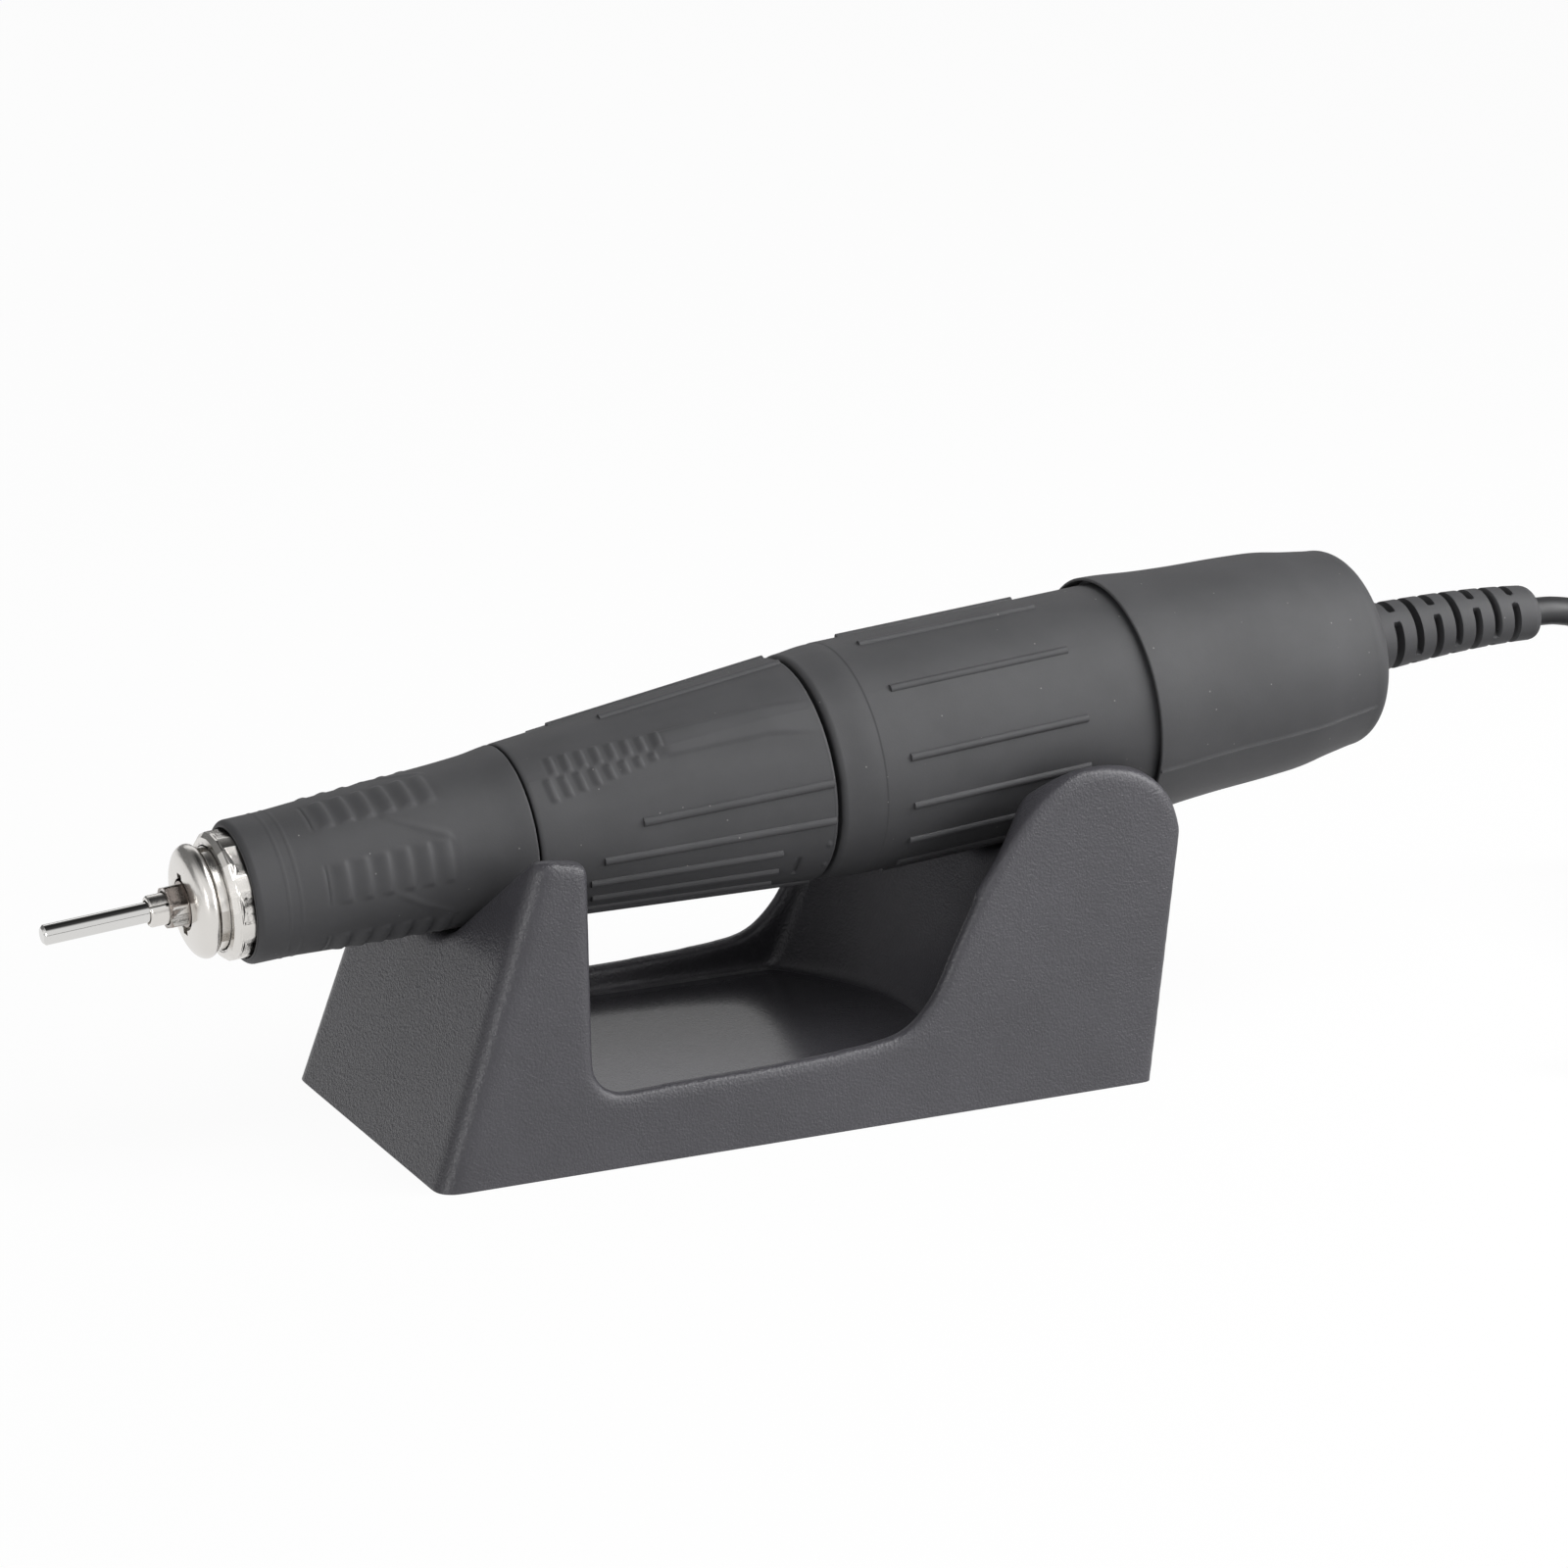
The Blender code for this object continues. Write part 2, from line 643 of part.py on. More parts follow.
def arc_points(centre, radius, start, end, count):
    """Return evenly spaced points of an arc as (x, y) pairs."""
    points = []
    for index in range(count + 1):
        angle = start + (end - start) * index / count
        points.append((centre[0] + radius * math.cos(angle), centre[1] + radius * math.sin(angle)))
    return points


def at(station, azimuth, radius=0.0):
    """Return the place on the handpiece whose local Z points away from the axis."""
    shift = Matrix.Translation((station, 0, 0))
    return shift @ Matrix.Rotation(azimuth, 4, "X") @ Matrix.Translation((0, 0, radius))


def add_box(solid, size, placement):
    """Add a box of the given size to a bmesh."""
    matrix = placement @ Matrix.Diagonal((*size, 1.0))
    bmesh.ops.create_cube(solid, size=1.0, matrix=matrix)


def add_rod(solid, radius, length, placement, sides):
    """Add a cylinder along local Z to a bmesh."""
    bmesh.ops.create_cone(
        solid,
        cap_ends=True,
        segments=sides,
        radius1=radius,
        radius2=radius,
        depth=length,
        matrix=placement,
    )


def to_mesh(name, solid):
    """Turn a bmesh into a mesh."""
    mesh = bpy.data.meshes.new(name)
    bmesh.ops.recalc_face_normals(solid, faces=solid.faces)
    solid.to_mesh(mesh)
    solid.free()
    return mesh


def loft_mesh(name, rings):
    """Skin a row of closed rings that have the same number of points."""
    solid = bmesh.new()
    rows = [[solid.verts.new(point) for point in ring] for ring in rings]
    count = len(rings[0])
    for front, rear in zip(rows, rows[1:]):
        for index in range(count):
            following = (index + 1) % count
            solid.faces.new((front[index], front[following], rear[following], rear[index]))
    solid.faces.new(rows[0])
    solid.faces.new(rows[-1])
    return to_mesh(name, solid)


def curve_data(name, points, radius, resolution):
    """Return a round tube with closed ends along the points."""
    curve = bpy.data.curves.new(name, "CURVE")
    curve.dimensions = "3D"
    curve.bevel_depth = radius
    curve.bevel_resolution = resolution
    curve.use_fill_caps = True
    spline = curve.splines.new("POLY")
    spline.points.add(len(points) - 1)
    for target, point in zip(spline.points, points):
        target.co = (*point, 1.0)
    return curve


def tube(name, points, radius, resolution, material, parent=None):
    """Make a round tube with closed ends along the points."""
    return place(name, curve_data(name, points, radius, resolution), material, parent)


def plate_data(name, outlines, thickness):
    """Return flat outlines, the first with the others as holes, as a plate."""
    curve = bpy.data.curves.new(name, "CURVE")
    curve.dimensions = "2D"
    curve.fill_mode = "BOTH"
    curve.extrude = thickness / 2
    for outline in outlines:
        spline = curve.splines.new("POLY")
        spline.points.add(len(outline) - 1)
        for target, point in zip(spline.points, outline):
            target.co = (*point, 0.0, 1.0)
        spline.use_cyclic_u = True
    return curve


def smooth_path(points, count):
    """Return evenly counted points of a smooth curve through the given ones."""
    knots = [Vector(point) for point in points]
    first = 2 * knots[0] - knots[1]
    last = 2 * knots[-1] - knots[-2]
    padded = [first, *knots, last]
    fine = []
    for index in range(1, len(padded) - 2):
        before, start, end, after = padded[index - 1:index + 3]
        for step in range(PATH_STEPS):
            share = step / PATH_STEPS
            bend = share * (1 - share) / 2
            point = start.lerp(end, share * share * (3 - 2 * share))
            point += bend * (1 - share) * (end - before) - bend * share * (after - start)
            fine.append(point)
    fine.append(knots[-1])
    lengths = [0.0]
    for start, end in zip(fine, fine[1:]):
        lengths.append(lengths[-1] + (end - start).length)
    result = []
    for index in range(count):
        target = lengths[-1] * index / (count - 1)
        place_index = 0
        while place_index < len(fine) - 2 and lengths[place_index + 1] < target:
            place_index += 1
        span = lengths[place_index + 1] - lengths[place_index]
        share = (target - lengths[place_index]) / span
        result.append(fine[place_index].lerp(fine[place_index + 1], share))
    return result


def share_points(shares, start, end, low, high):
    """Turn (length share, rise share) pairs into (station, radius) points."""
    return [
        (start + (end - start) * along, low + (high - low) * rise)
        for along, rise in shares
    ]


def grip_radius(station):
    """Return the outer radius of the front grip at a station."""
    shares = [(0.0, 0.0), *GRIP_RISE_SHARES, (1.0, 1.0)]
    along = (station - GRIP_FRONT) / GRIP_LENGTH
    for (start, low), (end, high) in zip(shares, shares[1:]):
        if along <= end:
            rise = low + (high - low) * (along - start) / (end - start)
            return GRIP_FRONT_RADIUS + (TWIST_FRONT_RADIUS - GRIP_FRONT_RADIUS) * rise
    return TWIST_FRONT_RADIUS


def notch_radii():
    """Return the front notch's radius at the grip and at the twist ring."""
    return grip_radius(NOTCH_STATIONS[0]) + GAP, TWIST_FRONT_RADIUS + GAP


def twist_radius(station):
    """Return the outer radius of the twist ring at a station."""
    along = (station - TWIST_FRONT) / TWIST_LENGTH
    return TWIST_FRONT_RADIUS + (TWIST_REAR_RADIUS - TWIST_FRONT_RADIUS) * along


def cradle_outline():
    """Return the (x, z) outline of the cradle's side."""
    points = [(BASE_FRONT_X, 0)]
    slope = math.atan2(TOWER_HEIGHT, FRONT_SLOPE * TOWER_HEIGHT)
    edge = TOWER_TOP_RADIUS
    points.append((TOWER_FRONT_X - edge * math.cos(slope), TOWER_HEIGHT - edge * math.sin(slope)))
    points.append((TOWER_FRONT_X + edge / 2, TOWER_HEIGHT - edge / 8))
    points.append((TOWER_REAR_X - edge, TOWER_HEIGHT - TOWER_TOP_DROP))
    points.append((TOWER_REAR_X - edge / 4, TOWER_HEIGHT - TOWER_TOP_DROP - edge / 4))
    points.append((TOWER_REAR_X, TOWER_HEIGHT - TOWER_TOP_DROP - edge))
    foot = TOWER_FOOT_RADIUS
    centre = (TOWER_REAR_X + foot, RAIL_HEIGHT + foot)
    points += arc_points(centre, foot, math.pi, math.pi * 3 / 2, FILLET_POINTS)
    points.append((RAIL_END_X - RAIL_END_RADIUS, RAIL_END_HEIGHT - RAIL_END_RADIUS / 8))
    rise = EAR_HEIGHT - RAIL_END_HEIGHT
    for along, up in EAR_RISE_SHARES:
        points.append((RAIL_END_X + EAR_RISE_LENGTH * along, RAIL_END_HEIGHT + rise * up))
    for along, down in EAR_TOP_SHARES:
        points.append((EAR_TOP_X + EAR_TOP_LENGTH * along, EAR_HEIGHT - EAR_TOP_DROP * down))
    points.append((BASE_REAR_X, 0))
    return points


def side_y(height):
    """Return half the cradle's width at a height."""
    return CRADLE_WIDTH / 2 - CRADLE_SIDE_LEAN * height


def cradle_block():
    """Return the cradle's outer block, with leaning sides and rounded edges."""
    outline = cradle_outline()
    left = [(x, side_y(z), z) for x, z in outline]
    right = [(x, -side_y(z), z) for x, z in outline]
    mesh = loft_mesh("cradle", [left, right])
    solid = bmesh.new()
    solid.from_mesh(mesh)
    solid.verts.ensure_lookup_table()
    rounded = []
    for edge in solid.edges:
        start, end = (vertex.co for vertex in edge.verts)
        along_side = start.y * end.y > 0
        if along_side and max(start.z, end.z) > 0:
            rounded.append(edge)
    bmesh.ops.bevel(
        solid,
        geom=rounded,
        offset=CRADLE_EDGE_RADIUS,
        segments=2,
        profile=0.5,
        affect="EDGES",
        clamp_overlap=True,
    )
    solid.to_mesh(mesh)
    solid.free()
    return place("cradle", mesh, "Grained plastic")


def scoop_x(height):
    """Return where the scooped face meets the cradle's side wall at a height."""
    return SCOOP_EDGE_X + SCOOP_LEAN * (height - FLOOR_HEIGHT)


def trough_ring(height):
    """Return the outline of the trough between the supports at a height."""
    edge_x = scoop_x(height)
    half = side_y(height) - CRADLE_WALL
    front = TOWER_REAR_X + GAP
    ring = [(front, half, height), (front, -half, height)]
    for index in range(SCOOP_ARC_POINTS + 1):
        share = 2 * index / SCOOP_ARC_POINTS - 1
        bulge = SCOOP_DEPTH * (1 - share * share)
        ring.append((edge_x + bulge, half * share, height))
    return ring


def trough_cutter():
    """Make the cutter of the trough and of the scooped face behind it."""
    heights = (FLOOR_HEIGHT, EAR_HEIGHT + OVERRUN)
    mesh = loft_mesh("trough_cutter", [trough_ring(height) for height in heights])
    return place_cutter("trough_cutter", mesh)


def saddle_ring(station, radius, flank):
    """Return a round-bottomed V about the handpiece's axis."""
    start = -math.pi / 2 - flank
    end = -math.pi / 2 + flank
    arc = arc_points((0, 0), radius, start, end, SADDLE_POINTS)
    top = radius
    reach = (top + radius * math.cos(flank)) / math.tan(flank)
    side = radius * math.sin(flank) + reach
    outline = [(-side, top), *arc, (side, top)]
    return [(station, y, z) for y, z in outline]


def saddle_cutter(name, stations, radii, flank):
    """Make the cutter that seats the handpiece between two stations."""
    slope = (radii[1] - radii[0]) / (stations[1] - stations[0])
    rings = []
    for station in (stations[0] - SADDLE_OVERRUN, stations[1] + SADDLE_OVERRUN):
        radius = radii[0] + slope * (station - stations[0])
        rings.append(saddle_ring(station, radius, flank))
    return place_cutter(name, loft_mesh(name, rings), AXIS)


def axis_height(x):
    """Return the height of the handpiece's axis at x."""
    return AXIS_HEIGHT + math.tan(AXIS_TILT) * x


def pocket_prism(solid, outline, inner_y, outer_y):
    """Add a prism with an (x, z) outline between two distances from the middle."""
    for side in (-1, 1):
        rows = []
        for y in (inner_y * side, outer_y * side):
            rows.append([solid.verts.new((x, y, z)) for x, z in outline])
        count = len(outline)
        for index in range(count):
            following = (index + 1) % count
            solid.faces.new((rows[0][index], rows[0][following], rows[1][following], rows[1][index]))
        solid.faces.new(rows[0])
        solid.faces.new(rows[1])


def base_pockets():
    """Make the cutter of the hollows under the cradle, left by its walls and ribs."""
    solid = bmesh.new()
    inner = BASE_RIB / 2
    front_top = axis_height(TOWER_REAR_X) - notch_radii()[1] - CRADLE_WALL - POCKET_ALLOWANCE
    front_outline = [
        (BASE_FRONT_X + CRADLE_WALL - FRONT_SLOPE * OVERRUN, -OVERRUN),
        (BASE_FRONT_X + CRADLE_WALL + FRONT_SLOPE * front_top, front_top),
        (TOWER_REAR_X - CRADLE_WALL, front_top),
        (TOWER_REAR_X - CRADLE_WALL, -OVERRUN),
    ]
    pocket_prism(solid, front_outline, inner, side_y(front_top) - CRADLE_WALL)
    rear_top = axis_height(EAR_TOP_X) - SEAT_RADIUS - CRADLE_WALL - POCKET_ALLOWANCE
    scoop_back = SCOOP_EDGE_X + SCOOP_DEPTH + CRADLE_WALL
    rear_outline = [
        (scoop_back - SCOOP_LEAN * (FLOOR_HEIGHT + OVERRUN), -OVERRUN),
        (scoop_back + SCOOP_LEAN * (rear_top - FLOOR_HEIGHT), rear_top),
        (BASE_REAR_X - CRADLE_WALL, rear_top),
        (BASE_REAR_X - CRADLE_WALL, -OVERRUN),
    ]
    pocket_prism(solid, rear_outline, inner, side_y(rear_top) - CRADLE_WALL)
    pan_front = TOWER_REAR_X
    pan_rear = scoop_back - SCOOP_LEAN * FLOOR_HEIGHT - CRADLE_WALL
    pitch = (pan_rear - pan_front) / BASE_POCKET_COLUMNS
    pan_top = FLOOR_HEIGHT - CRADLE_WALL
    for column in range(BASE_POCKET_COLUMNS):
        start = pan_front + pitch * column
        end = start + pitch - CRADLE_WALL
        outline = [(start, -OVERRUN), (start, pan_top), (end, pan_top), (end, -OVERRUN)]
        pocket_prism(solid, outline, inner, side_y(pan_top) - CRADLE_WALL)
    return place_cutter("base_pockets", to_mesh("base_pockets", solid))


def make_cradle():
    """Make the moulded cradle with its front notch, trough and rear seat."""
    notch = saddle_cutter("front_notch", NOTCH_STATIONS, notch_radii(), FRONT_FLANK)
    seat_stations = (RAIL_END_X, EAR_REAR_X)
    seat = saddle_cutter("rear_seat", seat_stations, (SEAT_RADIUS, SEAT_RADIUS), REAR_FLANK)
    return cut(cradle_block(), trough_cutter(), notch, seat, base_pockets())


def make_shank():
    """Make the plain test shank that the chuck holds."""
    profile = rod_profile(SHANK_FRONT, SHANK_REAR, SHANK_RADIUS, SHANK_CHAMFER)
    turned("test_shank", profile, SMALL_STEPS, "Polished steel")


def make_collet():
    """Make the slit collet, with its blind bore for the shank."""
    bore_rear = SHANK_REAR + GAP
    profile = [
        (bore_rear, 0),
        (bore_rear, COLLET_BORE),
        (COLLET_FRONT, COLLET_BORE),
        (COLLET_FRONT, COLLET_RADIUS - SHANK_CHAMFER),
        (COLLET_FRONT + SHANK_CHAMFER, COLLET_RADIUS),
        (COLLET_REAR, COLLET_RADIUS),
        (COLLET_REAR, 0),
    ]
    collet = turned("collet", profile, SMALL_STEPS, "Satin steel")
    solid = bmesh.new()
    length = COLLET_SLIT_DEPTH + OVERRUN
    for index in range(3):
        centre = COLLET_FRONT - OVERRUN + length / 2
        azimuth = math.pi * (2 * index + 1) / 3
        radius = COLLET_RADIUS
        add_box(solid, (length, COLLET_SLIT, COLLET_RADIUS), at(centre, azimuth, radius))
    cut(collet, place_cutter("collet_slits", to_mesh("collet_slits", solid), AXIS))


def make_drawbar():
    """Make the drawbar behind the collet, its cross pin and the collar that the pin carries."""
    profile = rod_profile(COLLET_REAR + GAP, DRAWBAR_REAR, DRAWBAR_RADIUS)
    drawbar = turned("drawbar", profile, SMALL_STEPS, "Satin steel")
    collar_profile = ring_profile(COLLAR_FRONT, COLLAR_REAR, RACE_BORE, COLLAR_RADIUS)
    collar = turned("push_collar", collar_profile, SMALL_STEPS, "Satin steel")
    for obj in (drawbar, collar):
        solid = bmesh.new()
        hole = CROSS_PIN_RADIUS + FINE_GAP
        length = 2 * (COLLAR_RADIUS + OVERRUN)
        add_rod(solid, hole, length, at(CROSS_PIN_STATION, 0), PIN_SIDES)
        name = obj.name + "_pin_hole"
        cut(obj, place_cutter(name, to_mesh(name, solid), AXIS))
    solid = bmesh.new()
    length = 2 * (COLLAR_RADIUS - FINE_GAP)
    add_rod(solid, CROSS_PIN_RADIUS, length, at(CROSS_PIN_STATION, 0), PIN_SIDES)
    place("cross_pin", to_mesh("cross_pin", solid), "Polished steel", AXIS)


def make_spindle():
    """Make the hollow spindle: wrench flats in front, pin windows and the claw slot behind."""
    nose_rear = NOSE_FRONT + NOSE_LENGTH
    edge = NOSE_CHAMFER
    profile = [
        (SPINDLE_BORE_REAR, 0),
        (SPINDLE_BORE_REAR, SPINDLE_BORE),
        (NOSE_FRONT, SPINDLE_BORE),
        (NOSE_FRONT, NOSE_CORNER_RADIUS - edge),
        (NOSE_FRONT + edge, NOSE_CORNER_RADIUS),
        (nose_rear, NOSE_CORNER_RADIUS),
        (nose_rear, SPINDLE_RADIUS),
        (BARREL_STEP, SPINDLE_RADIUS),
        (BARREL_STEP, SPINDLE_RADIUS + SPINDLE_SHOULDER),
        (BARREL_STEP + SPINDLE_SHOULDER_LENGTH, SPINDLE_RADIUS + SPINDLE_SHOULDER),
        (BARREL_STEP + SPINDLE_SHOULDER_LENGTH, SPINDLE_RADIUS),
        (SPINDLE_REAR, SPINDLE_RADIUS),
        (SPINDLE_REAR, 0),
    ]
    spindle = turned("spindle", profile, SMALL_STEPS, "Satin steel")
    solid = bmesh.new()
    flat = NOSE_ACROSS / 2
    length = NOSE_FLAT_LENGTH + OVERRUN
    chord = NOSE_CORNER_RADIUS
    for index in range(6):
        depth = NOSE_CORNER_RADIUS - flat + FINE_GAP
        radius = flat + depth / 2
        azimuth = RIB_PLANE + index * math.pi / 3
        centre = NOSE_FRONT - OVERRUN + length / 2
        add_box(solid, (length, chord, depth), at(centre, azimuth, radius))
    cut(spindle, place_cutter("nose_flats", to_mesh("nose_flats", solid), AXIS))
    solid = bmesh.new()
    half = CROSS_PIN_RADIUS + FINE_GAP
    front = CROSS_PIN_STATION - CHUCK_TRAVEL - half
    rear = CROSS_PIN_STATION + half
    size = (rear - front, 2 * half, 2 * (SPINDLE_RADIUS + OVERRUN))
    add_box(solid, size, at((front + rear) / 2, 0))
    cut(spindle, place_cutter("pin_windows", to_mesh("pin_windows", solid), AXIS))
    solid = bmesh.new()
    size = (2 * CLAW_DEPTH, CLAW_SLOT, 2 * (SPINDLE_RADIUS + OVERRUN))
    add_box(solid, size, at(SPINDLE_REAR, 0))
    cut(spindle, place_cutter("claw_slot", to_mesh("claw_slot", solid), AXIS))


def helix_points(turns, count, radius, front, rear):
    """Return the points of a spring's wire between two stations."""
    points = []
    for index in range(turns * count + 1):
        share = index / (turns * count)
        angle = 2 * math.pi * turns * share
        station = front + (rear - front) * share
        points.append((station, radius * math.cos(angle), radius * math.sin(angle)))
    return points


def make_collet_spring():
    """Make the spring that draws the collet shut, at its shortest length."""
    wire = SPRING_WIRE_RADIUS
    radius = RACE_BORE + wire + FINE_GAP
    points = helix_points(
        SPRING_TURNS, SPRING_TURN_POINTS, radius, SPRING_FRONT + wire, SPRING_REAR - wire
    )
    tube("collet_spring", points, wire, 1, "Spring steel", AXIS)


def make_bearing(name, front, length, radii, steps):
    """Make a bearing's outer and inner race from its four radii."""
    bore, inner, outer, radius = radii
    inner_profile = ring_profile(front, front + length, bore, inner)
    turned(name + "_inner_race", inner_profile, steps, "Polished steel")
    outer_profile = ring_profile(front, front + length, outer, radius)
    turned(name + "_outer_race", outer_profile, steps, "Polished steel")


def make_ball_cage(name, front):
    """Make the ring that carries a spindle bearing's balls, with the balls in it."""
    middle = front + BEARING_LENGTH / 2
    centre = (INNER_RACE_RADIUS + OUTER_RACE_BORE) / 2
    half = CAGE_LENGTH / 2
    profile = ring_profile(
        middle - half, middle + half, centre - CAGE_WALL / 2, centre + CAGE_WALL / 2
    )
    cage = turned(name, profile, SMALL_STEPS, "Plated brass")
    solid = bmesh.new()
    for index in range(BALL_COUNT):
        radius = (RACE_BAND - 2 * BALL_GAP) / 2
        placement = at(middle, 2 * math.pi * index / BALL_COUNT, centre)
        bmesh.ops.create_icosphere(solid, subdivisions=1, radius=radius, matrix=placement)
    balls = place_cutter(name + "_balls", to_mesh(name + "_balls", solid), AXIS)
    combine(cage, balls, "UNION")


def make_spindle_bearings():
    """Make the two spindle bearings and the tube that keeps them apart."""
    radii = (RACE_BORE, INNER_RACE_RADIUS, OUTER_RACE_BORE, BEARING_RADIUS)
    make_bearing("front_bearing", FRONT_BEARING, BEARING_LENGTH, radii, SMALL_STEPS)
    make_bearing("middle_bearing", MIDDLE_BEARING, BEARING_LENGTH, radii, SMALL_STEPS)
    make_ball_cage("front_bearing_cage", FRONT_BEARING)
    make_ball_cage("middle_bearing_cage", MIDDLE_BEARING)
    rear = SPACER_FRONT + SPACER_LENGTH
    profile = ring_profile(SPACER_FRONT, rear, OUTER_RACE_BORE, BEARING_RADIUS)
    turned("bearing_spacer", profile, SMALL_STEPS, "Anodised aluminium")


def make_nose_cap():
    """Make the domed nose cap with its face notches and groove windows."""
    dome_rear = NOSE_CAP_FRONT + NOSE_CAP_DOME_LENGTH
    spigot_radius = BEARING_RADIUS
    hole = NOSE_CORNER_RADIUS + GAP
    bore = SPINDLE_RADIUS + 2 * GAP
    spigot_rear = BARREL_FRONT + NOSE_CAP_SPIGOT
    dome = share_points(
        NOSE_CAP_DOME_SHARES, NOSE_CAP_FRONT, dome_rear, NOSE_CAP_FACE, NOSE_CAP_BULGE
    )
    profile = [
        *dome,
        (dome_rear, spigot_radius),
        (spigot_rear, spigot_radius),
        (spigot_rear, bore),
        (NOSE_CAP_FRONT + NOSE_CAP_LIP, bore),
        (NOSE_CAP_FRONT + NOSE_CAP_LIP, hole),
        (NOSE_CAP_FRONT, hole),
    ]
    cap = turned("nose_cap", profile, MIDDLE_STEPS, "Satin steel")
    solid = bmesh.new()
    window_centre = dome_rear + NOSE_CAP_GROOVE_LENGTH / 2
    width = 2 * spigot_radius * math.sin(WINDOW_ARC / 2)
    depth = spigot_radius - bore
    for index in range(WINDOW_COUNT):
        azimuth = WINDOW_AZIMUTH + 2 * math.pi * index / WINDOW_COUNT
        size = (NOSE_CAP_GROOVE_LENGTH - FINE_GAP, width, depth)
        add_box(solid, size, at(window_centre, azimuth, spigot_radius))
    for azimuth in (0, math.pi):
        size = (2 * FACE_NOTCH_DEPTH, FACE_NOTCH, FACE_NOTCH)
        add_box(solid, size, at(NOSE_CAP_FRONT, azimuth, hole))
    cut(cap, place_cutter("nose_cap_cuts", to_mesh("nose_cap_cuts", solid), AXIS))


def make_front_barrel():
    """Make the steel barrel: flatted collar, bearing seats, push slots and rear flange."""
    collar_rear = BARREL_FRONT + BARREL_COLLAR_LENGTH
    edge = BARREL_COLLAR_CHAMFER
    flange_front = BARREL_REAR - BARREL_FLANGE_LENGTH
    profile = [
        (BARREL_FRONT, BARREL_COLLAR_RADIUS - edge),
        (BARREL_FRONT + edge, BARREL_COLLAR_RADIUS),
        (collar_rear, BARREL_COLLAR_RADIUS),
        (collar_rear, BARREL_RADIUS),
        (flange_front, BARREL_RADIUS),
        (flange_front, NECK_RADIUS),
        (BARREL_REAR, NECK_RADIUS),
        (BARREL_REAR, BARREL_TAIL_BORE),
        (BARREL_STEP, BARREL_TAIL_BORE),
        (BARREL_STEP, BARREL_BORE),
        (BARREL_FRONT, BARREL_BORE),
    ]
    barrel = turned("front_barrel", profile, MIDDLE_STEPS, "Satin steel")
    solid = bmesh.new()
    flat = BARREL_COLLAR_RADIUS * math.cos(BARREL_FLAT_ARC / 2)
    width = 2 * BARREL_COLLAR_RADIUS * math.sin(BARREL_FLAT_ARC / 2)
    depth = BARREL_COLLAR_RADIUS - flat + FINE_GAP
    length = BARREL_COLLAR_LENGTH - BARREL_FLAT_SETBACK
    for index in range(BARREL_FLATS):
        azimuth = RIB_PLANE + 2 * math.pi * index / BARREL_FLATS
        centre = collar_rear - length / 2 + FINE_GAP
        add_box(solid, (length, width, depth), at(centre, azimuth, flat + depth / 2))
    cut(barrel, place_cutter("barrel_flats", to_mesh("barrel_flats", solid), AXIS))
    solid = bmesh.new()
    half = PUSH_PIN_RADIUS + GAP
    front = PUSH_PIN_STATION - CHUCK_TRAVEL - half
    rear = PUSH_PIN_STATION + half
    size = (rear - front, 2 * half, 2 * (BARREL_RADIUS + OVERRUN))
    add_box(solid, size, at((front + rear) / 2, PUSH_PIN_AZIMUTH))
    cut(barrel, place_cutter("push_slots", to_mesh("push_slots", solid), AXIS))


def grip_rows():
    """Return the (station, radius, patch depth) rows of the front grip's surface."""
    rim = GRIP_RIM_RADIUS
    patch_front = GRIP_FRONT + GRIP_PATCH_START
    first_groove = patch_front + GRIP_PATCH_STEP
    patch_rear = first_groove + GRIP_GROOVE_PITCH * (GRIP_GROOVES - 1 / 2) + GRIP_PATCH_FADE
    rise = share_points(
        GRIP_RISE_SHARES, GRIP_FRONT, GRIP_REAR_STATION, GRIP_FRONT_RADIUS, TWIST_FRONT_RADIUS
    )
    rows = [(GRIP_FRONT, GRIP_FRONT_RADIUS - rim, 0.0)]
    rows.append((GRIP_FRONT + rim / 4, GRIP_FRONT_RADIUS - rim / 3, 0.0))
    rows += [(station, radius, 0.0) for station, radius in rise if station < patch_front]
    rows.append((patch_front, grip_radius(patch_front), 0.0))
    for index in range(GRIP_GROOVES):
        groove = first_groove + GRIP_GROOVE_PITCH * index
        crest = groove + GRIP_GROOVE_PITCH / 2
        rows.append((groove, grip_radius(groove), GRIP_PATCH_DEPTH))
        rows.append((crest, grip_radius(crest), GRIP_PATCH_DEPTH * (1 - GRIP_CREST_SHARE)))
    rows.append((patch_rear, grip_radius(patch_rear), 0.0))
    rows += [(station, radius, 0.0) for station, radius in rise if station > patch_rear]
    rows.append((GRIP_REAR_STATION, TWIST_FRONT_RADIUS, 0.0))
    return rows


def make_front_grip():
    """Make the tapered rubber grip with its sunk patches of soft ribs."""
    rings = []
    for station, radius, depth in grip_rows():
        ring = []
        for index in range(LARGE_STEPS):
            turn = 2 * math.pi * index / LARGE_STEPS
            offset = math.remainder(turn, 2 * math.pi / GRIP_PATCHES)
            sunk = depth if abs(offset) < GRIP_PATCH_ARC / 2 else 0.0
            ring.append(at(station, GRIP_PATCH_AZIMUTH + turn, radius - sunk).translation)
        rings.append(ring)
    grip = place("front_grip", loft_mesh("front_grip", rings), "Soft rubber", AXIS)
    mouth = BARREL_COLLAR_RADIUS + FINE_GAP
    mouth_rear = BARREL_FRONT + BARREL_COLLAR_LENGTH + GAP
    bore = [
        (GRIP_FRONT - OVERRUN, 0),
        (GRIP_FRONT - OVERRUN, mouth),
        (mouth_rear, mouth),
        (mouth_rear, GRIP_BORE),
        (GRIP_REAR_STATION + OVERRUN, GRIP_BORE),
        (GRIP_REAR_STATION + OVERRUN, 0),
    ]
    cut(grip, turned_cutter("grip_bore", bore, LARGE_STEPS))


